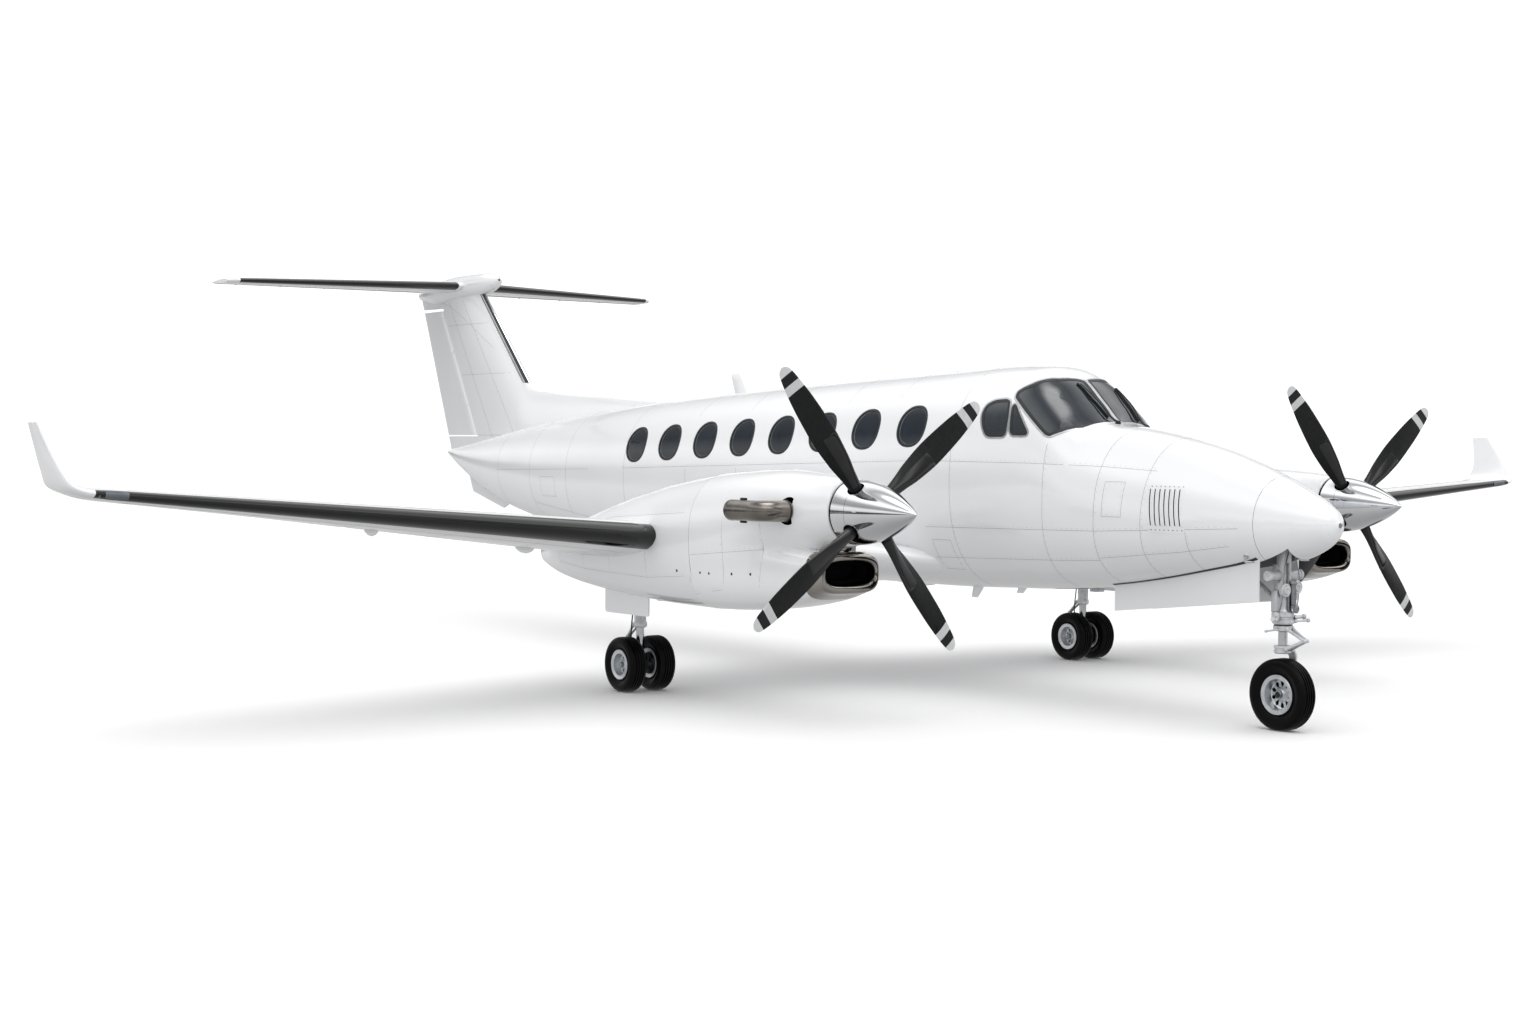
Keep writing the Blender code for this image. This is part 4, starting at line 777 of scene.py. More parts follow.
def offset(outline, by):
    """Move a closed flat outline outwards, or inwards where by is negative."""
    area = sum(a.x * b.y - b.x * a.y for a, b in zip(outline, outline[1:] + outline[:1]))
    way = by if area > 0 else -by
    result = []
    for i, point in enumerate(outline):
        along = outline[(i + 1) % len(outline)] - outline[i - 1]
        result.append(point + Vector((along.y, -along.x)).normalized() * way)
    return result


def oval(centre, half, power=2.25, count=40):
    """A rounded oval about a centre, a little squarer than an ellipse."""
    result = []
    for i in range(count):
        c, s = cos(2 * pi * i / count), sin(2 * pi * i / count)
        result.append(Vector((centre[0] + half[0] * swollen(c, 2 / power),
                              centre[1] + half[1] * swollen(s, 2 / power))))
    return result


def on_side(side):
    """Takes (station, height) on to one side of the fuselage."""
    return lambda flat: body_point(flat.x, flat.y, side)


def on_front(side):
    """Takes (station, metres round from the crown) on to the upper half of the nose and cabin."""
    def spot(station, turn):
        row = section_at(FUSELAGE, station)
        low, high = 0.0, pi / 2
        for _ in range(24):
            middle = (low + high) / 2
            point = hull_point(row, middle)
            low, high = (middle, high) if atan2(point.x, point.z - GIRTH_CENTRE) > turn else (low, middle)
        return hull_point(row, (low + high) / 2)

    def place(flat):
        turn = flat.y / GIRTH_RADIUS
        here = [spot(flat.x + ds, turn + da)
                for ds, da in ((0.006, 0), (-0.006, 0), (0, 0.012), (0, -0.012))]
        out = (here[0] - here[1]).cross(here[2] - here[3]).normalized()
        if out.z < 0:
            out.negate()
        point = spot(flat.x, turn)
        return Vector((side * point.x, point.y, point.z)), Vector((side * out.x, out.y, out.z))
    return place


def hole_cutter(outline, place):
    """The space of a small opening, from 50 mm outside the skin to 90 mm inside it."""
    found = [place(flat) for flat in outline]
    return loft("opening", [[p + n * 0.05 for p, n in found], [p - n * 0.09 for p, n in found]])


def add_pane(shape, outline, place, lift, depth, rings=6):
    """A pane or panel that follows the skin, lifted from it, with its edge and its back."""
    centre = sum(outline, Vector((0, 0))) / len(outline)
    rows = []
    for k in range(rings + 1):
        share = 1 - k / rings
        found = [place(centre + (flat - centre) * max(share, 0.001)) for flat in outline]
        rows.append([p + n * lift for p, n in found])
    back = [[p - n * (depth - lift) for p, n in (place(flat) for flat in outline)]]
    middle, out = place(centre)
    skin(shape, back + rows, caps=False)
    hub = shape.verts.new(middle - out * (depth - lift))
    shape.verts.ensure_lookup_table()
    first = shape.verts[len(shape.verts) - 1 - (rings + 2) * len(outline):][:len(outline)]
    for i in range(len(outline)):
        shape.faces.new((first[i], first[(i + 1) % len(outline)], hub))


def curved_cutter(outline, place):
    """The space of an opening that spans much of the skin's curve."""
    shape = bmesh.new()
    add_pane(shape, outline, place, 0.04, 0.13, rings=10)
    return tidy_mesh(shape, "opening")


def window_outlines():
    """Name, outline, the way on to the skin and the CAD node of every window."""
    found = []
    first, last = Vector(CABIN_WINDOWS["first"]), Vector(CABIN_WINDOWS["last"])
    for side_name, side in SIDES.items():
        found.append((f"windshield_{side_name}", rounded(WINDSHIELD, 0.03),
                      on_front(side), f"windshield_{side_name}"))
        for place, outline in SIDE_WINDOWS.items():
            found.append((f"side_window_{place}_{side_name}", rounded(outline, 0.05),
                          on_side(side), f"side_window_{place}_{side_name}"))
        for i in range(CABIN_WINDOWS["count"]):
            centre = first.lerp(last, i / (CABIN_WINDOWS["count"] - 1))
            found.append((f"cabin_window_{i + 1}_{side_name}", oval(centre, CABIN_WINDOWS["half"]),
                          on_side(side), None))
    return found


WINDOWS = window_outlines()
DOOR_OUTLINE = rounded(rectangle(DOOR["front"], DOOR["rear"], DOOR["sill"], DOOR["head"]),
                       DOOR["corner"])


def box_mesh(low, high):
    shape = bmesh.new()
    low, high = Vector(low), Vector(high)
    add_box(shape, (low + high) / 2, high - low)
    return tidy_mesh(shape, "box")


def fuselage_rings(start, end, grow=0.0, pitch=0.08):
    return [table_ring(FUSELAGE, s, grow=grow) for s in spread(start, end, pitch)]


FUSELAGE_SHADING = Shading(fuselage_rings(FUSELAGE[0][0], FUSELAGE[-1][0], pitch=0.05))


def make_fuselage():
    """Radome, nose, cabin and tail cone, with their bays, windows and doorway open."""
    bay = (at(-0.20, 0.66, 0.5), at(0.20, 2.24, 1.45))
    tip = spread(FUSELAGE[0][0], 0.45, 0.012) + spread(0.45, RADOME_JOINT - SEAM, 0.04)[1:]
    radome = loft("radome", [table_ring(FUSELAGE, s) for s in tip])
    piece("radome_skin", carve("radome", radome, [box_mesh(*bay)]), WHITE, stands_for=["radome"],
          inside=BAY_PAINT, shading=FUSELAGE_SHADING)
    nose = loft("nose", fuselage_rings(RADOME_JOINT + SEAM, NOSE_JOINT))
    piece("nose_skin", carve("nose", nose, [box_mesh(*bay)]), WHITE, stands_for=["nose_section"],
          inside=BAY_PAINT, shading=FUSELAGE_SHADING)
    cabin = shell("cabin", fuselage_rings(NOSE_JOINT, TAIL_JOINT),
                  fuselage_rings(NOSE_JOINT, TAIL_JOINT, -SKIN))
    holes = []
    for name, outline, place, _ in WINDOWS:
        fine = refined(outline, 0.03)
        cutter = curved_cutter if name.startswith("windshield") else hole_cutter
        holes.append(cutter(fine, place))
    # The doorway spans so much of the curve that a flat cutter would leave a patch of skin in it
    holes.append(curved_cutter(refined(DOOR_OUTLINE, 0.04), on_side(1.0)))
    piece("cabin_skin", carve("cabin", cabin, holes), WHITE, stands_for=["cabin"], inside=LINING,
          shading=FUSELAGE_SHADING)
    tail = loft("tail", fuselage_rings(TAIL_JOINT, FUSELAGE[-1][0]))
    piece("tail_skin", tail, WHITE, stands_for=["tail_cone"], shading=FUSELAGE_SHADING)


make_fuselage()


# ------------------------------------------------------------ nacelles, cowlings and scoops

FIREWALL = 4.35
UNION_START = 2.97


def outline_reach(row, centre_z, angle):
    """How far a section's outline is from a point on its middle line, in a direction."""
    station, bottom, widest, top, half_width, upper, lower = row
    c, s = abs(cos(angle)), sin(angle)
    low, high = 0.0, 1.2
    for _ in range(22):
        middle = (low + high) / 2
        z = centre_z + middle * s - widest
        power, reach = (upper, top - widest) if z >= 0 else (lower, widest - bottom)
        inside = (middle * c / half_width) ** power + (abs(z) / reach) ** power < 1
        low, high = (middle, high) if inside else (low, middle)
    return low


def smooth_largest(a, b, blend):
    """The larger of two lengths, with the corner between them filled over a blend width."""
    if blend <= 0:
        return max(a, b)
    share = max(blend - abs(a - b), 0.0) / blend
    return max(a, b) + share**2 * blend / 4


def pod_ring(station, x_centre, sides=96):
    """One ring of the cowling with its scoop, or of the nacelle behind it."""
    ring = []
    front = station <= FIREWALL
    rows = [section_at(table, station) for table in ((COWLING, SCOOP) if front else (NACELLE,))]
    share = (station - UNION_START) / (FIREWALL - UNION_START)
    centre_z = 1.355 + share * 0.095 if front else rows[0][2]
    blend = 0.07 * sin(pi * share)
    for angle in turns(sides):
        reaches = [outline_reach(row, centre_z, angle) for row in rows]
        reach = smooth_largest(*reaches, blend) if front else reaches[0]
        ring.append(at(x_centre + reach * cos(angle), station, centre_z + reach * sin(angle)))
    return ring


def make_pod(side_name, side):
    """The cowling, its scoop and the nacelle of one engine, with the wheel bay and exhaust holes open."""
    centre = side * NACELLE_X
    front_places = spread(UNION_START, FIREWALL - SEAM, 0.045)
    rear_places = spread(FIREWALL + SEAM, 7.1, 0.07) + spread(7.1, NACELLE[-1][0], 0.03)[1:]
    front = [pod_ring(s, centre) for s in front_places]
    rear = [pod_ring(s, centre) for s in rear_places]
    shading = Shading(front + rear)
    holes = []
    for way in (1.0, -1.0):
        rings = [[at(centre + way * x, 3.110 + 0.110 * cos(a), SHAFT_Z + 0.108 * sin(a))
                  for a in turns(48)] for x in (0.17, 0.60)]
        holes.append(loft("hole", rings))
    cowl = carve("cowl", loft("cowl", front), holes)
    # The walls of the exhaust holes, deeper than the skin, take the near black: painted shade.
    piece(f"cowling_skin_{side_name}", cowl, WHITE, stands_for=[f"cowling_{side_name}"], shading=shading,
          inside=VOID)
    low, high = sorted((side * (GEAR_X - 0.22), side * (GEAR_X + 0.24)))
    bay = box_mesh(at(low, 5.05, 0.5), at(high, 5.99, 1.30))
    rear_mesh = carve("nacelle", loft("nacelle", rear), [bay])
    piece(f"nacelle_skin_{side_name}", rear_mesh, WHITE, stands_for=[f"nacelle_{side_name}"],
          inside=BAY_PAINT, shading=shading)

    nose = [table_ring(COWLING, s, centre) for s in spread(2.70, 3.06, 0.03)]
    lip = [hull_ring(section_at(COWLING, 2.70 - 0.012 * sin(pi * k / 6)), centre,
                     -0.012 * (1 - cos(pi * k / 6))) for k in range(1, 7)]
    deep = [table_ring(COWLING, 2.80, centre, -0.03)]
    shape = bmesh.new()
    skin(shape, deep + lip[::-1] + nose)
    piece(f"cowl_nose_{side_name}", shape, WHITE)

    scoop = [table_ring(SCOOP, s, centre) for s in spread(2.84, 3.06, 0.03)]
    piece(f"scoop_skin_{side_name}", carve("scoop", loft("scoop", scoop), [box_mesh(
        at(centre - 0.22, 2.70, 1.12), at(centre + 0.22, 3.00, 1.28))]), WHITE)


for side_name, side in SIDES.items():
    make_pod(side_name, side)


# ------------------------------------------------------------ wings and tail

def lerp_axes(a, b, share):
    return [p + (q - p) * share for p, q in zip(a, b)]


def surface_place(inner, outer, plan, square_ends=True):
    """The space that a control surface takes from its wing, as in the solids."""
    ends = []
    for share in (plan["inner"], plan["outer"]):
        nose, aft, up = lerp_axes(inner, outer, share)
        index = max(i for i in range(len(FOIL)) if FOIL[i][0] <= plan["hinge"])
        (c0, h0), (c1, h1) = FOIL[index], FOIL[index + 1]
        half = h0 + (h1 - h0) * (plan["hinge"] - c0) / (c1 - c0)
        ends.append((nose + aft * plan["hinge"], up.length * half))
    (start, start_radius), (end, end_radius) = ends
    axis = (end - start).normalized()
    normal = axis if square_ends else Vector((0, 0, 1))
    aft = (Vector((0, 1, 0)) - axis * axis.y).normalized()
    up = axis.cross(aft)
    reach = max(start_radius, end_radius) * 3
    rings = []
    for origin, radius, push in ((start, start_radius, -plan["play"][0]), (end, end_radius, plan["play"][1])):
        seat = origin + normal * push / max(axis.dot(normal), 0.5)
        back, ahead = aft * 1.6, aft * (-radius - COVE)
        ring = [seat + ahead + up * reach, seat + back + up * reach, seat + back - up * reach,
                seat + ahead - up * reach]
        if not square_ends:
            ring = [p - axis * ((p - seat).dot(normal) / axis.dot(normal)) for p in ring]
        rings.append(ring)
    return loft("place", rings)


def wing_rings(side, table, places, shares):
    return [foil_ring(wing_axes(side, wing_row(table, t)), shares) for t in places]


def table_places(count, per_row, first=14):
    """Places along a wing's table: some in the straight panel and some in each row after it."""
    result = [i / first for i in range(first)]
    for row in range(1, count - 1):
        result += [row + i / per_row for i in range(per_row)]
    return [*result, count - 1.0]


def make_wing(side_name, side):
    shares = foil_shares()
    root = wing_rings(side, WING_ROOT, table_places(3, 8, 8), shares)
    piece(f"wing_root_skin_{side_name}", loft("root", root), WHITE, stands_for=[f"wing_root_{side_name}"])
    rings = wing_rings(side, WING_OUTER, table_places(len(WING_OUTER), 8), shares)
    pair = [wing_axes(side, row) for row in WING_OUTER[:2]]
    places = [surface_place(*pair, FLAP), surface_place(*pair, AILERON)]
    piece(f"wing_outer_skin_{side_name}", carve("wing", loft("wing", rings), places), WHITE,
          stands_for=[f"wing_outer_{side_name}"], shading=Shading(rings))
    tail = wing_rings(side, TAILPLANE, table_places(3, 6), shares)
    pair = [wing_axes(side, row) for row in TAILPLANE[:2]]
    piece(f"tailplane_skin_{side_name}", carve("tailplane", loft("tailplane", tail),
                                               [surface_place(*pair, ELEVATOR)]), WHITE,
          stands_for=[f"tailplane_{side_name}"], shading=Shading(tail))


# The dorsal ridge ahead of the fin, with the fuselage's columns
DORSAL = (
    (9.50, 2.40, 2.50, 2.622, 0.030, 1.6, 2.0),
    (10.60, 2.30, 2.42, 2.692, 0.060, 1.6, 2.0),
    (12.20, 2.15, 2.32, 2.790, 0.105, 1.6, 2.0),
    (12.42, 2.15, 2.32, 2.835, 0.112, 1.6, 2.0),
    (12.56, 2.15, 2.32, 2.930, 0.112, 1.7, 2.0),
    (12.75, 2.15, 2.32, 3.040, 0.105, 1.8, 2.0),
    (13.30, 2.15, 2.32, 3.060, 0.090, 1.8, 2.0),
)


def make_tail():
    shares = foil_shares()
    rings = [foil_ring(fin_at(u), shares) for u in spread(0.0, 1.0, 0.05)]
    pair = [fin_axes(row) for row in FIN]
    fin = carve("fin", loft("fin", rings), [surface_place(*pair, RUDDER, square_ends=False)])
    piece("fin_skin", fin, WHITE, stands_for=["fin"], shading=Shading(rings))
    ridge = [table_ring(DORSAL, s, sides=48) for s in spread(9.50, 13.30, 0.07)]
    piece("dorsal_ridge", loft("dorsal", ridge), WHITE)
    places = spread(13.30, 13.42, 0.015) + spread(13.42, 15.40, 0.05)[1:]
    bullet = [table_ring(BULLET, s, sides=64) for s in places]
    piece("bullet_skin", loft("bullet", bullet), WHITE, stands_for=["bullet_fairing"])


for side_name, side in SIDES.items():
    make_wing(side_name, side)
make_tail()
for name in ("ventral_fin", "nose_door_port", "nose_door_starboard"):
    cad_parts[name].data.materials[0] = WHITE


# ------------------------------------------------------------ glazing

def add_closed_ribbon(shape, outline, place, width, lift, depth, inset=0.0):
    """A flat ring on the skin along an outline."""
    path = [place(flat) for flat in (offset(outline, -inset) if inset else outline)]
    add_ribbon(shape, path, width, lift, depth, closed=True)


def make_glazing():
    """A pane, a black seal and, on the flight deck, a bare metal frame for every window."""
    for name, outline, place, node in WINDOWS:
        fine = refined(outline, 0.03)
        cabin_window = node is None
        shape = bmesh.new()
        add_pane(shape, refined(offset(outline, -0.002), 0.03), place, -0.006 if cabin_window else -0.001,
                 0.02)
        piece(f"{name}_pane", shape, CABIN_GLASS if cabin_window else SCREEN_GLASS,
              stands_for=[node] if node else (), sharp=50)
        shape = bmesh.new()
        add_closed_ribbon(shape, fine, place, 0.022 if cabin_window else 0.030, 0.0012, 0.012, 0.006)
        piece(f"{name}_seal", shape, SEAL_AND_SHADE_BLACK)
        shape = bmesh.new()
        if cabin_window:
            add_crescent(shape, outline, place)
            piece(f"{name}_ring", shape, FRAME_CRESCENT)
        else:
            add_closed_ribbon(shape, fine, place, 0.016, 0.0024, 0.006, -0.014)
            piece(f"{name}_frame", shape, BARE_FRAME)


def add_crescent(shape, outline, place):
    """The window's inner ring, which shows through the pane wider on its aft side."""
    outer = offset(outline, -0.019)
    centre = sum(outline, Vector((0, 0))) / len(outline)
    rows = []
    for flat in outer:
        aft = max((flat - centre).normalized().x, 0.0)
        inner = centre + (flat - centre) * (0.975 - 0.10 * aft)
        rows.append((place(flat), place(inner)))
    rings = []
    for (a, na), (b, nb) in rows:
        rings.append([a - na * 0.0045, b - nb * 0.0052, b - nb * 0.009, a - na * 0.009])
    skin(shape, [*rings, rings[0]], caps=False)


make_glazing()


# ------------------------------------------------------------ de-icing boots and edge strips

def foil_arc(axes, lower, upper, grow, count=10):
    """Points round a foil's nose from the lower side to the upper side, raised from the skin."""
    nose, aft, up = axes
    back, rise = aft.normalized(), up.normalized()
    points = []
    shares = [lower * (k / count) ** 2 for k in range(count, 0, -1)]
    for c in shares:
        points.append((c, -foil_height(c)))
    points.append((0.0, 0.0))
    for k in range(1, count + 1):
        c = upper * (k / count) ** 2
        points.append((c, foil_height(c)))
    result = []
    for i, (c, h) in enumerate(points):
        here = nose + aft * c + up * h
        a = points[max(i - 1, 0)]
        b = points[min(i + 1, len(points) - 1)]
        along = aft * (b[0] - a[0]) + up * (b[1] - a[1])
        out = rise * along.dot(back) - back * along.dot(rise)
        if i == len(points) // 2:
            out = -aft
        out = out.normalized()
        if (out.dot(up) < 0) != (h < 0) and abs(h) > 1e-6:
            out.negate()
        result.append(here + out * grow)
    return result


def edge_strip(name, rows, finish, lift=0.0022):
    """A thin sheet round a leading edge; rows are (axes, lower share, upper share)."""
    shape = bmesh.new()
    rings = []
    for i, (axes, lower, upper) in enumerate(rows):
        thin = lift - 0.0016 if i in (0, len(rows) - 1) else lift
        out = foil_arc(axes, lower, upper, thin)
        inside = foil_arc(axes, lower, upper, -0.004)
        out[0], out[-1] = inside[0].lerp(out[0], 0.7), inside[-1].lerp(out[-1], 0.7)
        rings.append(out + inside[::-1])
    skin(shape, rings)
    piece(name, shape, finish)


def wing_share(table, x):
    """The place in a wing's table at a span position."""
    index = max(i for i in range(len(table) - 1) if table[i][0] <= x)
    return index + (x - table[index][0]) / (table[index + 1][0] - table[index][0])


def axes_at(side, table, x):
    """A wing's axes at a span position."""
    return wing_axes(side, wing_row(table, wing_share(table, x)))


def make_boots():
    for side_name, side in SIDES.items():
        edge_strip(f"wing_boot_{side_name}", [(axes_at(side, WING_OUTER, x), 0.075, 0.060)
                                              for x in spread(3.10, 7.98, 0.12)], BOOT)
        edge_strip(f"tail_boot_{side_name}", [(axes_at(side, TAILPLANE, x), 0.085, 0.075)
                                              for x in spread(0.20, 2.86, 0.2)], BOOT)
    for name, share, lift, finish in (("fin_edge_strip", 0.042, 0.0022, POLISHED),
                                      ("fin_edge_boot", 0.021, 0.0045, BOOT),
                                      ("fin_edge_bead", 0.0035, 0.0068, POLISHED)):
        edge_strip(name, [(fin_at(u), share, share) for u in spread(0.42, 0.97, 0.06)], finish, lift)


make_boots()


# ------------------------------------------------------------ power plants

INTAKE_FRONT = 2.715
# The intake's opening with the fuselage's columns: its mouth, its throat and the duct's end
INTAKE = (
    (2.760, 1.108, 1.20, 1.290, 0.236, 3.0, 3.0),
    (2.840, 1.126, 1.20, 1.276, 0.222, 2.9, 2.9),
    (3.300, 1.160, 1.22, 1.290, 0.180, 2.6, 2.6),
)
# The propeller's blade: radius, chord, thickness as a share of the chord, pitch angle in degrees
BLADE = (
    (0.08, 0.096, 1.00, 40.0),
    (0.22, 0.100, 0.95, 37.0),
    (0.34, 0.122, 0.60, 30.0),
    (0.50, 0.172, 0.26, 21.0),
    (0.75, 0.208, 0.15, 14.0),
    (1.00, 0.192, 0.10, 10.0),
    (1.20, 0.152, 0.08, 7.0),
    (1.31, 0.112, 0.07, 6.0),
    (1.345, 0.076, 0.07, 6.0),
    (PROP_RADIUS, 0.020, 0.09, 6.0),
)
FIRST_BLADE = {"starboard": -38.0, "port": -40.0}
BLADES = 4
SPINNER = {"tip": 1.945, "rear": 2.665, "radius": 0.25, "wall": 0.006, "hole": 0.068, "seam": 2.515}
EXHAUST = {"station": 3.12, "start": 0.2325, "bend_centre": 0.42, "bend": 0.13, "end": 3.53,
           "radius": 0.083, "wall": 0.006}


def cup(name, rings, wall):
    """A thin-walled sleeve, open at its first ring and closed past its last."""
    def middle(ring):
        return sum(ring, Vector()) / len(ring)

    def grown(ring):
        centre = middle(ring)
        return [p + (p - centre).normalized() * wall for p in ring]
    back = (middle(rings[-1]) - middle(rings[0])).normalized() * wall
    far = middle(rings[-1])
    rows = [*rings, [far] * len(rings[0]), [far + back] * len(rings[0])]
    rows += [[p + back for p in grown(rings[-1])], *[grown(ring) for ring in rings[-2::-1]], rings[0]]
    shape = bmesh.new()
    skin(shape, rows, caps=False)
    return tidy_mesh(shape, name)


def make_intake(side_name, centre):
    """The polished lip round the scoop's mouth, its duct in near black that paints the shade inside it, and
    the neck up to the cowling.
    """
    outer = [section_at(SCOOP, s) for s in (2.76, 2.81, 2.86, 2.91)]
    rings = [hull_ring(row, centre, 0.0015) for row in outer[::-1]]
    mouth = INTAKE[0]
    for k in range(1, 12):
        turn = pi * k / 12
        share = (1 - cos(turn)) / 2
        row = [a + (b - a) * share for a, b in zip(outer[0], mouth)]
        row[0] = outer[0][0] - (outer[0][0] - INTAKE_FRONT) * sin(turn)
        rings.append(hull_ring(row, centre, 0.0015 * (1 - share)))
    inner = [table_ring(INTAKE, s, centre) for s in (2.76, 2.79, 2.82, 2.85)]
    rings += inner
    back = table_ring(SCOOP, 2.85, centre, -0.004)
    rings += [back, hull_ring(outer[-1], centre, -0.004)]
    shape = bmesh.new()
    skin(shape, [*rings, rings[0]], caps=False)
    piece(f"intake_lip_{side_name}", shape, NICKEL, sharp=60)
    # The duct is near black: painted shade inside the mouth.
    duct = [table_ring(INTAKE, s, centre, -0.005) for s in spread(2.82, 3.28, 0.05)]
    piece(f"intake_duct_{side_name}", cup("duct", duct, 0.004), VOID)
    neck = []
    for height in spread(1.325, 1.43, 0.007):
        waist = 1 - 0.10 * sin(pi * (height - 1.325) / 0.105)
        neck.append([at(centre + 0.150 * waist * swollen(cos(a), 0.7),
                        2.895 - 0.14 * waist * swollen(sin(a), 0.8), height)
                     for a in turns(48)])
    piece(f"intake_neck_{side_name}", loft("neck", neck), NICKEL)
    shelf = [hull_ring((s, 1.352, 1.357, 1.362, half, 2.0, 2.0), centre, sides=32)
             for s, half in ((2.742, 0.14), (2.75, 0.165), (2.80, 0.185), (3.0, 0.22))]
    piece(f"intake_shelf_{side_name}", loft("shelf", shelf), NICKEL)
    # The slit under the shelf is near black: painted shade of the gap.
    slit = [hull_ring((s, 1.338, 1.346, 1.354, half, 3.0, 3.0), centre, sides=32)
            for s, half in ((2.752, 0.150), (3.0, 0.20))]
    piece(f"intake_slit_{side_name}", loft("slit", slit), VOID)


def outwards(direction):
    """The way out from the shaft, at an angle from straight up."""
    return Vector((sin(direction), 0, cos(direction)))


def blade_rings(centre, direction, grow=0.0, stretch=(0.0, 1.0), reach=(0.10, PROP_RADIUS)):
    """Sections of a blade from its root to its tip; stretch takes a part of the chord."""
    out = outwards(direction)
    turn = Vector((cos(direction), 0, -sin(direction)))
    columns = list(zip(*BLADE))
    places = spread(reach[0], min(reach[1], 1.32), 0.028)
    if reach[1] > 1.33:
        places += [1.332, 1.342, 1.350, 1.355, 1.358, reach[1]]
    rings = []
    for radius in places:
        chord, thickness, degrees = read_curve(columns[0], columns[1:], radius)
        angle = radians(degrees)
        ahead = turn * cos(angle) + Vector((0, -1, 0)) * sin(angle)
        face = out.cross(ahead)
        flat = min(max((radius - 0.26) / 0.30, 0.0), 1.0)
        upper, lower = [], []
        count = 14
        for k in range(count + 1):
            share = (1 - cos(pi * k / count)) / 2
            share = stretch[0] + (stretch[1] - stretch[0]) * share
            round_half = sqrt(max(share * (1 - share), 0.0))
            foil_half = foil_height(share)
            half = (round_half * (1 - flat) + foil_half * flat) * thickness * chord + grow
            place = centre + out * radius + ahead * chord * (0.5 - share)
            upper.append(place + face * half)
            lower.append(place - face * half)
        rings.append(upper + lower[-2:0:-1] if grow == 0 else upper + lower[::-1])
    return rings


def spinner_radius(station, radius):
    length = SPINNER["rear"] - SPINNER["tip"]
    return radius * sin(pi / 2 * (max(station - SPINNER["tip"], 0.0) / length) ** 0.85)


def spinner_point(centre_x, station, direction):
    """A point on the spinner at an angle about the shaft, and the direction outwards."""
    spoke = outwards(direction)
    radius = spinner_radius(station, SPINNER["radius"])
    rise = (spinner_radius(station + 0.002, SPINNER["radius"])
            - spinner_radius(station - 0.002, SPINNER["radius"])) / 0.004
    return at(centre_x, station, SHAFT_Z) + spoke * radius, (spoke - Vector((0, rise, 0))).normalized()


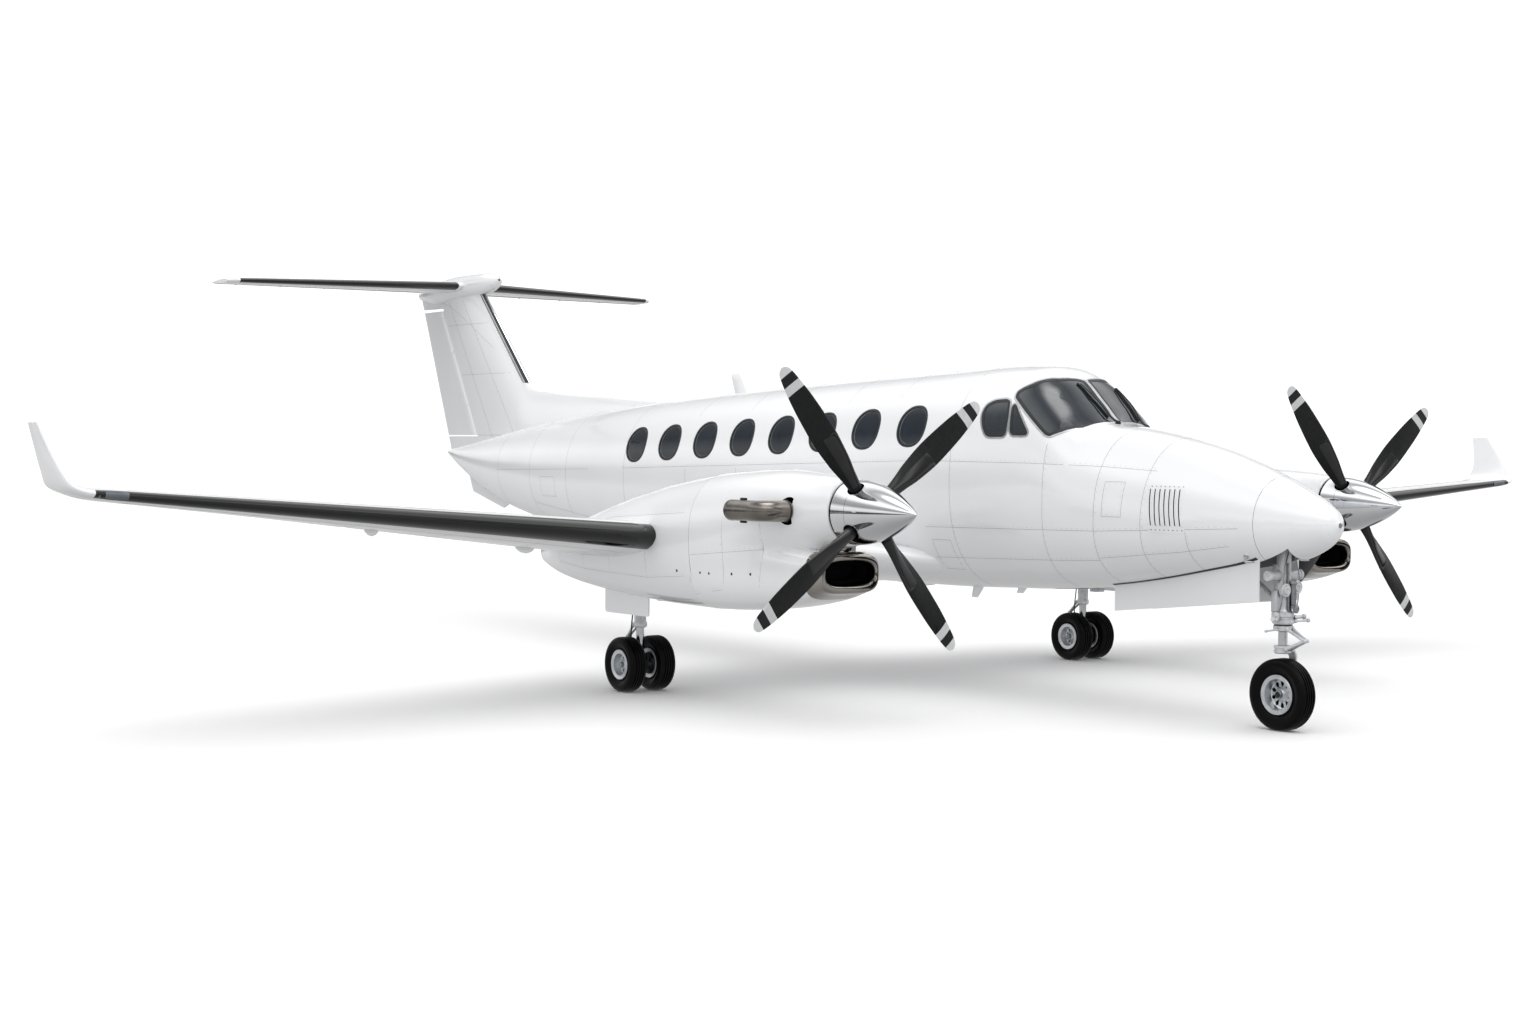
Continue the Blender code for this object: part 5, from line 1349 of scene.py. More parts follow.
def make_propeller(side_name, side):
    """Four blades with their root boots, and the chrome spinner with its seam and blade holes."""
    x = side * NACELLE_X
    centre = at(x, PROP_STATION, SHAFT_Z)
    body = f"propeller_{side_name}"
    finish = make_blade_finish(side_name, side)
    directions = [radians(FIRST_BLADE[side_name] + 360 / BLADES * k) for k in range(BLADES)]
    shape = bmesh.new()
    for direction in directions:
        skin(shape, blade_rings(centre, direction))
    add_round(shape, [(0.115, -0.10), (0.13, -0.085), (0.13, 0.085), (0.115, 0.10), (0.06, 0.10),
                      (0.055, 0.24)], centre, (0, 1, 0), 48)
    piece(f"blades_{side_name}", shape, finish, body, [f"propeller_{side_name}"],
          sharp=50)
    shape = bmesh.new()
    for direction in directions:
        rings = blade_rings(centre, direction, 0.0016, (0.0, 0.62), (0.26, 0.70))
        tip = rings[-1]
        middle = sum(tip, Vector()) / len(tip)
        out = outwards(direction)
        rings += [[middle + (p - middle) * share + out * rise for p in tip]
                  for share, rise in ((0.86, 0.014), (0.60, 0.024), (0.25, 0.030))]
        skin(shape, rings)
    piece(f"blade_boots_{side_name}", shape, BOOT, body, sharp=50)

    outside, inside = [], []
    for station in [SPINNER["tip"] + (SPINNER["rear"] - SPINNER["tip"]) * (k / 44) ** 1.5
                    for k in range(45)]:
        outside.append((spinner_radius(station, SPINNER["radius"]), station - SPINNER["tip"]))
        inside.append((spinner_radius(station - 0.012, SPINNER["radius"] - SPINNER["wall"]),
                       station - SPINNER["tip"]))
    inside = [row for row in inside if row[0] > 0.01]
    shape = bmesh.new()
    add_turned(shape, [*outside, *inside[::-1], (0.0, inside[0][1])], at(x, SPINNER["tip"], SHAFT_Z),
               (0, 1, 0), 96)
    cutters = []
    for direction in directions:
        out = outwards(direction)
        cutters.append(loft("hole", tube_rings([centre + out * 0.15, centre + out * 0.32],
                                               SPINNER["hole"], 40)))
    whole = tidy_mesh(shape, "spinner")
    smooth = Shading(turned_rings(outside[1:], at(x, SPINNER["tip"], SHAFT_Z), (0, 1, 0), 96))
    piece(f"spinner_shell_{side_name}", carve("spinner", whole, cutters), CHROME, body,
          [f"spinner_{side_name}"], shading=smooth)

    rims, seams = bmesh.new(), bmesh.new()
    for direction in directions:
        out = outwards(direction)
        turn = Vector((cos(direction), 0, -sin(direction)))
        path = []
        for a in turns(48):
            radius = SPINNER["hole"] + 0.004
            station = PROP_STATION + radius * sin(a)
            girth = spinner_radius(station, SPINNER["radius"])
            aside = radius * cos(a)
            point = at(x, station, SHAFT_Z) + turn * aside + out * sqrt(girth**2 - aside**2)
            spoke = (point - at(x, station, SHAFT_Z)).normalized()
            path.append((point, spinner_point(x, station, atan2(spoke.x, spoke.z))[1]))
        add_ribbon(rims, path, 0.009, 0.002, 0.004, closed=True)
        gap = asin((SPINNER["hole"] + 0.010) / SPINNER["radius"])
        arc = spread(direction + gap, direction + pi / 2 - gap, 0.06)
        add_ribbon(seams, [spinner_point(x, SPINNER["seam"], a) for a in arc], 0.0022, 0.0003, 0.002)
    piece(f"blade_hole_rims_{side_name}", rims, POLISHED, body, sharp=60)
    piece(f"spinner_seam_{side_name}", seams, SEAL_AND_SHADE_BLACK, body)
    # The backplate and the ring in the cowl's throat are near black: painted shade of the gap behind the
    # spinner.
    shape = bmesh.new()
    add_turned(shape, [(0.06, 2.640), (0.238, 2.640), (0.244, 2.648), (0.244, 2.676), (0.236, 2.682),
                       (0.06, 2.682)], at(x, 0.0, SHAFT_Z), (0, 1, 0), 96)
    piece(f"spinner_backplate_{side_name}", shape, VOID, body)
    shape = bmesh.new()
    add_turned(shape, [(0.115, 2.77), (0.232, 2.77), (0.232, 2.80), (0.115, 2.80)], at(x, 0.0, SHAFT_Z),
               (0, 1, 0), 64)
    piece(f"cowl_throat_{side_name}", shape, VOID)


def make_exhausts(side_name, side):
    """The two heat-tinted stubs of an engine, with their clamps."""
    for hand, way in (("outer", side), ("inner", -side)):
        centre = side * NACELLE_X
        plan = EXHAUST
        path = [at(centre + way * plan["start"], plan["station"], SHAFT_Z)]
        for step in range(13):
            angle = radians(7.5 * step)
            path.append(at(centre + way * (plan["bend_centre"] + plan["bend"] * sin(angle)),
                           plan["station"] + plan["bend"] * (1 - cos(angle)), SHAFT_Z))
        end_x = centre + way * (plan["bend_centre"] + plan["bend"])
        path += [at(end_x, s, SHAFT_Z) for s in spread(plan["station"] + plan["bend"] + 0.03,
                                                       plan["end"], 0.04)]
        radii = [plan["radius"] * (1 - 0.035 * sin(pi * k / (len(path) - 1)))
                 for k in range(len(path))]
        outer = tube_rings(path, radii, 48)
        inner = tube_rings(path, [r - plan["wall"] for r in radii], 48)
        lip = [[p + Vector((0, 0.003, 0)) for p in a] for a in
               tube_rings(path, [r - plan["wall"] / 2 for r in radii], 48)][-1:]
        shape = bmesh.new()
        skin(shape, [*outer, *lip, *inner[::-1], outer[0]], caps=False)
        piece(f"exhaust_pipe_{hand}_{side_name}", shape, HEAT,
              stands_for=[f"exhaust_{hand}_{side_name}"], sharp=60)
        # A near black core inside the pipe: soot, and painted shade of the pipe's depth.
        shape = bmesh.new()
        back = tube_rings(path[:-6], plan["radius"] * 0.90, 32)
        skin(shape, back[6:])
        piece(f"exhaust_soot_{hand}_{side_name}", shape, VOID)
        shape = bmesh.new()
        for height in (-1, 1):
            add_box(shape, at(end_x - way * 0.02, 3.40, SHAFT_Z + height * (plan["radius"] + 0.004)),
                    (0.035, 0.055, 0.022), bevel=0.006)
        add_turned(shape, [(plan["radius"] - 0.006, 0.0), (plan["radius"] + 0.001, 0.0),
                           (plan["radius"] + 0.004, 0.004), (plan["radius"] + 0.004, 0.010),
                           (plan["radius"] + 0.001, 0.014), (plan["radius"] - 0.006, 0.014)],
                   at(centre + way * 0.33, plan["station"], SHAFT_Z), (way, 0, 0), 48)
        piece(f"exhaust_clamp_{hand}_{side_name}", shape, PLASTIC)


for side_name, side in SIDES.items():
    make_intake(side_name, side * NACELLE_X)
    make_propeller(side_name, side)
    make_exhausts(side_name, side)
    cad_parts[f"engine_{side_name}"].data.materials[0] = STEEL


# ------------------------------------------------------------ wheels and tyres

MAIN_TYRE = {"radius": 0.2415, "width": 0.171, "bead": 0.108, "hub": 0.045, "flange": 0.132}
NOSE_TYRE = {"radius": 0.2795, "width": 0.171, "bead": 0.132, "hub": 0.050, "flange": 0.156}
WHEEL_HOLES = 10
WHEEL_SPACING = 0.30
# How far the hub's face stands out, as a share of the rim's half width
FACE_SHARE = 0.62


def make_wheel_tree():
    """Geometry Nodes: cuts a ring of holes through a wheel whose axle lies on X."""
    tree = bpy.data.node_groups.new("ring_of_wheel_holes", "GeometryNodeTree")
    face = tree.interface
    face.new_socket("Wheel", in_out="INPUT", socket_type="NodeSocketGeometry")
    face.new_socket("Count", in_out="INPUT", socket_type="NodeSocketInt").default_value = WHEEL_HOLES
    face.new_socket("Hole", in_out="INPUT", socket_type="NodeSocketObject")
    face.new_socket("Finish", in_out="INPUT", socket_type="NodeSocketMaterial")
    face.new_socket("Wheel", in_out="OUTPUT", socket_type="NodeSocketGeometry")
    given = add_node(tree, "NodeGroupInput")
    info = add_node(tree, "GeometryNodeObjectInfo", {"Object": given.outputs["Hole"]})
    places = add_node(tree, "GeometryNodeMeshLine", {"Count": given.outputs["Count"], "Offset": (0, 0, 0)})
    step = add_node(tree, "ShaderNodeMath", {0: 2 * pi, 1: given.outputs["Count"]}, operation="DIVIDE")
    angle = add_node(tree, "ShaderNodeMath", {0: add_node(tree, "GeometryNodeInputIndex").outputs[0],
                                              1: step.outputs[0]}, operation="MULTIPLY")
    turn = add_node(tree, "ShaderNodeCombineXYZ", {"X": angle.outputs[0]})
    holes = add_node(tree, "GeometryNodeInstanceOnPoints", {
        "Points": places.outputs[0], "Instance": info.outputs["Geometry"], "Rotation": turn.outputs[0]})
    real = add_node(tree, "GeometryNodeRealizeInstances", {"Geometry": holes.outputs[0]})
    cut = add_node(tree, "GeometryNodeMeshBoolean", {"Mesh 1": given.outputs["Wheel"],
                                                    "Mesh 2": real.outputs[0]},
                   operation="DIFFERENCE", solver="EXACT")
    painted = add_node(tree, "GeometryNodeSetMaterial", {"Geometry": cut.outputs[0],
                                                        "Material": given.outputs["Finish"]})
    add_node(tree, "NodeGroupOutput", {"Wheel": painted.outputs[0]})
    return tree


WHEEL_TREE = make_wheel_tree()


def run_tree(tree, mesh, values):
    """The mesh that a Geometry Nodes tree makes of another; values are set by the inputs' names."""
    thing = bpy.data.objects.new("shaped", mesh)
    bpy.context.scene.collection.objects.link(thing)
    change = thing.modifiers.new("shaped", "NODES")
    change.node_group = tree
    for item in tree.interface.items_tree:
        if item.item_type == "SOCKET" and item.in_out == "INPUT" and item.name in values:
            change[item.identifier] = values[item.name]
    bpy.context.view_layer.update()
    result = bpy.data.meshes.new_from_object(
        thing.evaluated_get(bpy.context.evaluated_depsgraph_get()))
    thing.modifiers.remove(change)
    bpy.data.objects.remove(thing)
    return result


def tyre_section(sizes):
    """A tyre's outline from one bead round to the other, with four grooves in its tread."""
    half, outer, flange = sizes["width"] / 2, sizes["radius"], sizes["flange"]
    right = [(flange - 0.020, half * 0.56), (flange - 0.004, half * 0.70), (flange + 0.006, half * 0.62)]
    middle = (outer + flange) / 2
    for k in range(13):
        turn = pi / 2 * k / 12
        reach = outer - middle
        right.append((middle + reach * sin(turn) ** 0.86 if k else middle,
                      half * (0.36 + 0.64 * cos(turn) ** 0.62) if k < 12 else half * 0.50))
    grooves = [(place, 0.0055) for place in (0.44, 0.150)]
    tread = []
    for place, wide in grooves:
        x = half * place
        tread += [(outer, x + wide + 0.0016), (outer - 0.008, x + wide), (outer - 0.008, x - wide),
                  (outer, x - wide - 0.0016)]
    right = [row for row in right if row[1] > half * 0.53] + tread
    return right + [(radius, -along) for radius, along in right[::-1]]


def rim_half(sizes):
    """Half the width of a wheel's rim, which is narrower than its tyre."""
    return sizes["width"] / 2 * 0.66


def wheel_mesh(sizes, way, middle):
    """One wheel about its middle on X; way is the side of its face."""
    half, bead, hub, flange = rim_half(sizes), sizes["bead"], sizes["hub"], sizes["flange"]
    rim = [(bead - 0.010, half + 0.006), (flange - 0.012, half + 0.010), (flange - 0.003, half + 0.013),
           (flange, half + 0.010), (flange, half + 0.004), (flange - 0.008, half - 0.002),
           (bead - 0.002, half - 0.004), (bead - 0.004, -half + 0.004), (flange - 0.008, -half + 0.002),
           (flange, -half - 0.004), (flange, -half - 0.010), (flange - 0.003, -half - 0.013),
           (flange - 0.012, -half - 0.010), (bead - 0.010, -half - 0.006)]
    web_in = [(bead - 0.013, -half * 0.6), (bead - 0.018, -0.026), (bead - 0.028, -0.022),
              (hub + 0.016, -0.018), (hub + 0.004, -0.022), (hub, -half * 0.8), (hub - 0.006, -half),
              (0.021, -half)]
    web_out = [(0.021, half * FACE_SHARE), (hub - 0.014, half * FACE_SHARE), (hub - 0.006, half * 0.50),
               (hub + 0.004, 0.006), (hub + 0.014, -0.002), (bead - 0.030, -0.006), (bead - 0.020, 0.0),
               (bead - 0.014, half * 0.5), (bead - 0.012, half * 0.9)]
    profile = [(radius, along * way) for radius, along in rim + web_in + web_out]
    shape = bmesh.new()
    add_turned(shape, profile, (0, 0, 0), (1, 0, 0), 80)
    whole = tidy_mesh(shape, "wheel")
    low, high = hub + 0.010, bead - 0.024
    outline = []
    for a in turns(16):
        share = (1 + sin(a)) / 2
        wide = (0.40 + 0.50 * share) * (high - low) * 0.5
        outline.append((wide * cos(a), low + (high - low) * share))
    hole = bpy.data.objects.new("wheel_hole", loft("hole", [
        [Vector((x, y, z)) for y, z in outline] for x in (-0.05, 0.05)]))
    bpy.context.scene.collection.objects.link(hole)
    result = run_tree(WHEEL_TREE, whole, {"Count": WHEEL_HOLES, "Hole": hole, "Finish": WHEEL})
    bpy.data.objects.remove(hole)
    result.transform(Matrix.Translation(middle))
    return result


def joined(name, meshes):
    shape = bmesh.new()
    for mesh in meshes:
        shape.from_mesh(mesh)
    mesh = bpy.data.meshes.new(name)
    shape.to_mesh(mesh)
    shape.free()
    return mesh


def add_nut(shape, middle, way, start, radius=0.021):
    """A hexagonal axle nut with its washer."""
    add_round(shape, [(radius * 1.35, start), (radius * 1.35, start + 0.003)], middle, (way, 0, 0), 32)
    add_round(shape, [(radius, start + 0.002), (radius, start + 0.013), (radius * 0.9, start + 0.016)],
              middle, (way, 0, 0), 6)


def add_cap(shape, middle, way, face, radii, ends):
    """A hub cap, with its radii and its ends past the hub's face, first at its rim and then on top."""
    (wide, narrow), (low, high) = radii, ends
    add_round(shape, [(wide, face + 0.012), (wide, face + low), (narrow, face + high)], middle,
              (way, 0, 0), 24)


def add_shade_disc(shape, sizes, middle, way):
    """A near black disc behind a wheel's web, which closes its holes: painted shade seen through them."""
    hub, rim = sizes["hub"] - 0.006, sizes["bead"] - 0.012
    add_turned(shape, [(hub, -0.030), (rim, -0.030), (rim, -0.033), (hub, -0.033)], middle, (way, 0, 0), 48)


def make_tyre(name, sizes, middle, body, node):
    shape = bmesh.new()
    add_turned(shape, tyre_section(sizes), middle, (1, 0, 0), 112)
    piece(name, tidy_mesh(shape, "tyre"), TYRE, body, [node], sharp=42)


def make_main_wheels(side_name, side):
    hub = at(side * GEAR_X, MAIN_STATION, MAIN_TYRE["radius"])
    body = f"main_wheels_{side_name}"
    half = rim_half(MAIN_TYRE)
    wheels, nuts, caps, plates = [], bmesh.new(), bmesh.new(), bmesh.new()
    for place, way in (("inner", -side), ("outer", side)):
        middle = hub + Vector((way * WHEEL_SPACING / 2, 0, 0))
        make_tyre(f"main_tyre_rubber_{place}_{side_name}", MAIN_TYRE, middle, body,
                  f"main_tyre_{place}_{side_name}")
        wheels.append(wheel_mesh(MAIN_TYRE, way, middle))
        add_nut(nuts, middle, way, half * FACE_SHARE, 0.024)
        add_cap(caps, middle, way, half * FACE_SHARE, (0.017, 0.013), (0.019, 0.021))
        add_shade_disc(plates, MAIN_TYRE, middle, way)
    piece(f"main_wheel_castings_{side_name}", joined("wheels", wheels), WHEEL, body,
          [f"main_wheels_{side_name}"], sharp=30)
    reach = WHEEL_SPACING / 2 + half
    add_round(nuts, [(0.020, -reach), (0.020, reach)], hub, (1, 0, 0), 24)
    piece(f"main_axle_nuts_{side_name}", nuts, STEEL, body, sharp=30)
    piece(f"main_axle_caps_{side_name}", caps, PLASTIC, body, sharp=30)
    # Near black discs behind the webs: painted shade in the wheels' holes.
    piece(f"main_wheel_dust_plates_{side_name}", plates, VOID, body, sharp=30)


def make_nose_wheel():
    middle = at(0, NOSE_STATION, NOSE_TYRE["radius"])
    face = rim_half(NOSE_TYRE) * FACE_SHARE
    make_tyre("nose_tyre_rubber", NOSE_TYRE, middle, "nose_wheel", "nose_tyre")
    piece("nose_wheel_casting", wheel_mesh(NOSE_TYRE, -1.0, middle), WHEEL, "nose_wheel", ["nose_wheel"],
          sharp=30)
    nuts, caps, plates = bmesh.new(), bmesh.new(), bmesh.new()
    # A near black disc behind the web: painted shade in the wheel's holes.
    add_shade_disc(plates, NOSE_TYRE, middle, -1.0)
    piece("nose_wheel_dust_plate", plates, VOID, "nose_wheel", sharp=30)
    add_nut(nuts, middle, -1.0, face, 0.029)
    piece("nose_axle_nut", nuts, STEEL, "nose_wheel", sharp=30)
    add_cap(caps, middle, -1.0, face, (0.024, 0.018), (0.020, 0.023))
    piece("nose_axle_cap", caps, PLASTIC, "nose_wheel", sharp=30)


# ------------------------------------------------------------ landing gear legs and doors

def add_sleeve(shape, start, end, radius, lip=0.006, steps=32):
    """A round forging between two points, with a raised band at each end."""
    start, end = Vector(start), Vector(end)
    long = (end - start).length
    band = min(0.022, long * 0.2)
    profile = [(0.0, 0.0), (radius + lip * 0.6, 0.0), (radius + lip, 0.004), (radius + lip, band),
               (radius, band + 0.006), (radius, long - band - 0.006), (radius + lip, long - band),
               (radius + lip, long - 0.004), (radius + lip * 0.6, long), (0.0, long)]
    add_turned(shape, profile, start, end - start, steps)


def add_rod(shape, start, end, radius, steps=16):
    start, end = Vector(start), Vector(end)
    long = (end - start).length
    soft = min(radius * 0.3, long * 0.2)
    add_round(shape, [(radius - soft, 0.0), (radius, soft), (radius, long - soft),
                      (radius - soft, long)], start, end - start, steps)


def add_link(shape, foot, knee, spread_foot, spread_knee, thick=0.020):
    """A forged torque link: two arms that run together at the knee, with an eye at each end."""
    foot, knee = Vector(foot), Vector(knee)
    for way in (-1, 1):
        start = foot + Vector((way * spread_foot, 0, 0))
        end = knee + Vector((way * spread_knee, 0, 0))
        add_tube(shape, [start, start.lerp(end, 0.5), end], [thick * 0.62, thick * 0.5, thick * 0.55], 12)
        add_rod(shape, start - Vector((0.012, 0, 0)), start + Vector((0.012, 0, 0)), thick * 0.85)
    add_rod(shape, knee - Vector((spread_knee + 0.014, 0, 0)), knee + Vector((spread_knee + 0.014, 0, 0)),
            thick * 0.62)
    add_rod(shape, foot - Vector((spread_foot + 0.016, 0, 0)), foot + Vector((spread_foot + 0.016, 0, 0)),
            thick * 0.42)


def add_hose(shape, points, radius=0.006):
    """A smooth hose through a few points."""
    places = [0.0]
    for a, b in zip(points, points[1:]):
        places.append(places[-1] + (Vector(b) - Vector(a)).length)
    columns = list(zip(*points))
    add_tube(shape, [read_curve(places, columns, places[-1] * k / 24) for k in range(25)], radius, 10)


def make_main_gear(side_name, side):
    """The main leg: cylinder, piston, torque links, drag brace, brakes, hoses, bracket and door."""
    x, hub = side * GEAR_X, MAIN_TYRE["radius"]
    s = MAIN_STATION
    shape = bmesh.new()
    add_round(shape, [(0.046, 0.0), (0.052, 0.006), (0.060, 0.010), (0.060, 0.045), (0.052, 0.055),
                      (0.052, 0.26), (0.060, 0.27), (0.062, 0.30), (0.060, 0.33), (0.052, 0.34),
                      (0.052, 0.735)], at(x, s, 0.56), (0, 0, 1), 48)
    add_sleeve(shape, at(x - 0.048, s, hub), at(x + 0.048, s, hub), 0.040)
    add_round(shape, [(0.044, 0.0), (0.048, 0.012), (0.044, 0.06), (0.038, 0.085)], at(x, s, hub),
              (0, 0, 1), 32)
    knee = at(x, s + 0.19, 0.47)
    add_link(shape, at(x, s + 0.055, 0.585), knee, 0.030, 0.010)
    add_link(shape, at(x, s + 0.046, 0.30), knee, 0.030, 0.010)
    add_sleeve(shape, at(x, s - 0.03, 0.81), at(x, 5.285, 1.288), 0.021)
    add_box(shape, at(x, s - 0.045, 0.815), (0.050, 0.055, 0.070), bevel=0.008)
    for way in (-1, 1):
        add_box(shape, at(x + way * 0.048, s, 1.20), (0.022, 0.105, 0.12), bevel=0.008)
        add_sleeve(shape, at(x + way * 0.058, s, 1.24), at(x + way * 0.17, s, 1.24), 0.022)
    add_rod(shape, at(x + 0.05, s - 0.045, 0.90), at(x + 0.05, s - 0.045, 1.10), 0.012)
    piece(f"main_leg_forging_{side_name}", shape, GEAR_PAINT,
          stands_for=[f"main_leg_{side_name}"], sharp=40)
    shape = bmesh.new()
    add_rod(shape, at(x, s, hub + 0.06), at(x, s, 0.575), 0.036, 32)
    piece(f"main_piston_{side_name}", shape, POLISHED, sharp=40)
    shape = bmesh.new()
    for way in (-1, 1):
        start = at(x + way * 0.048, s, hub)
        add_turned(shape, [(0.0, 0.0), (0.080, 0.0), (0.084, 0.003), (0.084, 0.008), (0.072, 0.010),
                           (0.072, 0.014), (0.088, 0.016), (0.088, 0.022), (0.072, 0.024), (0.072, 0.028),
                           (0.084, 0.030), (0.084, 0.034), (0.0, 0.036)], start, (way, 0, 0), 48)
        for k in range(3):
            a = radians(60 + 60 * k)
            centre = start + Vector((way * 0.012, 0.074 * cos(a), 0.074 * sin(a)))
            add_box(shape, centre, (0.034, 0.040, 0.036), Quaternion((1, 0, 0), a), 0.006)
    piece(f"main_brakes_{side_name}", shape, DARK_STEEL, sharp=40)
    shape = bmesh.new()
    for way in (-1, 1):
        add_hose(shape, [at(x + way * across, s + aft, height) for across, aft, height in (
            (0.030, 0.056, 0.98), (0.034, 0.062, 0.74), (0.042, 0.080, 0.52), (0.046, 0.070, 0.34),
            (0.050, 0.045, 0.285))])
    piece(f"main_brake_hoses_{side_name}", shape, PLASTIC)
    shape = bmesh.new()
    bracket = x + side * 0.13
    for dx in (-0.062, 0.0, 0.062):
        add_box(shape, at(bracket + dx, 5.205, 0.955), (0.009, 0.15, 0.23), bevel=0.004)
    for station, height, radius in ((5.16, 1.03, 0.026), (5.24, 1.02, 0.022), (5.20, 0.87, 0.028),
                                    (5.15, 0.93, 0.016), (5.25, 0.92, 0.018), (5.20, 0.97, 0.014)):
        ends = [at(bracket + reach, station, height) for reach in (-0.080, 0.080)]
        add_rod(shape, *ends, radius, 24)
    add_sleeve(shape, at(bracket - 0.03, 5.20, 0.86), at(bracket - 0.03, 5.18, 1.29), 0.024)
    add_sleeve(shape, at(bracket + 0.03, 5.24, 0.96), at(bracket + 0.03, 5.26, 1.29), 0.014)
    piece(f"main_retract_bracket_{side_name}", shape, DARK_STEEL, sharp=40)

    outline = rounded(rectangle(5.30, 6.00, 0.70, 1.09), 0.035)

    def on_door(flat):
        fold = min(max((flat.y - 0.95) / 0.14, 0.0), 1.0)
        out = Vector((side, 0, 0.5 * fold)).normalized()
        return at(side * (GEAR_X + 0.270 - 0.030 * fold**2), flat.x, flat.y), out
    shape = bmesh.new()
    add_pane(shape, refined(outline, 0.03), on_door, 0.0, 0.014, rings=10)
    piece(f"main_door_skin_{side_name}", shape, WHITE,
          stands_for=[f"main_door_{side_name}"], sharp=50)
    shape = bmesh.new()
    for station in (5.42, 5.80):
        add_box(shape, at(side * (GEAR_X + 0.250), station, 0.93), (0.016, 0.030, 0.26), bevel=0.004)
        add_rod(shape, at(side * (GEAR_X + 0.245), station, 0.86), at(side * (GEAR_X + 0.17), station, 1.10),
                0.010)
    add_rod(shape, at(side * (GEAR_X + 0.245), 5.80, 0.86), at(x + side * 0.05, s, 0.90), 0.009)
    piece(f"main_door_rods_{side_name}", shape, STEEL, sharp=40)


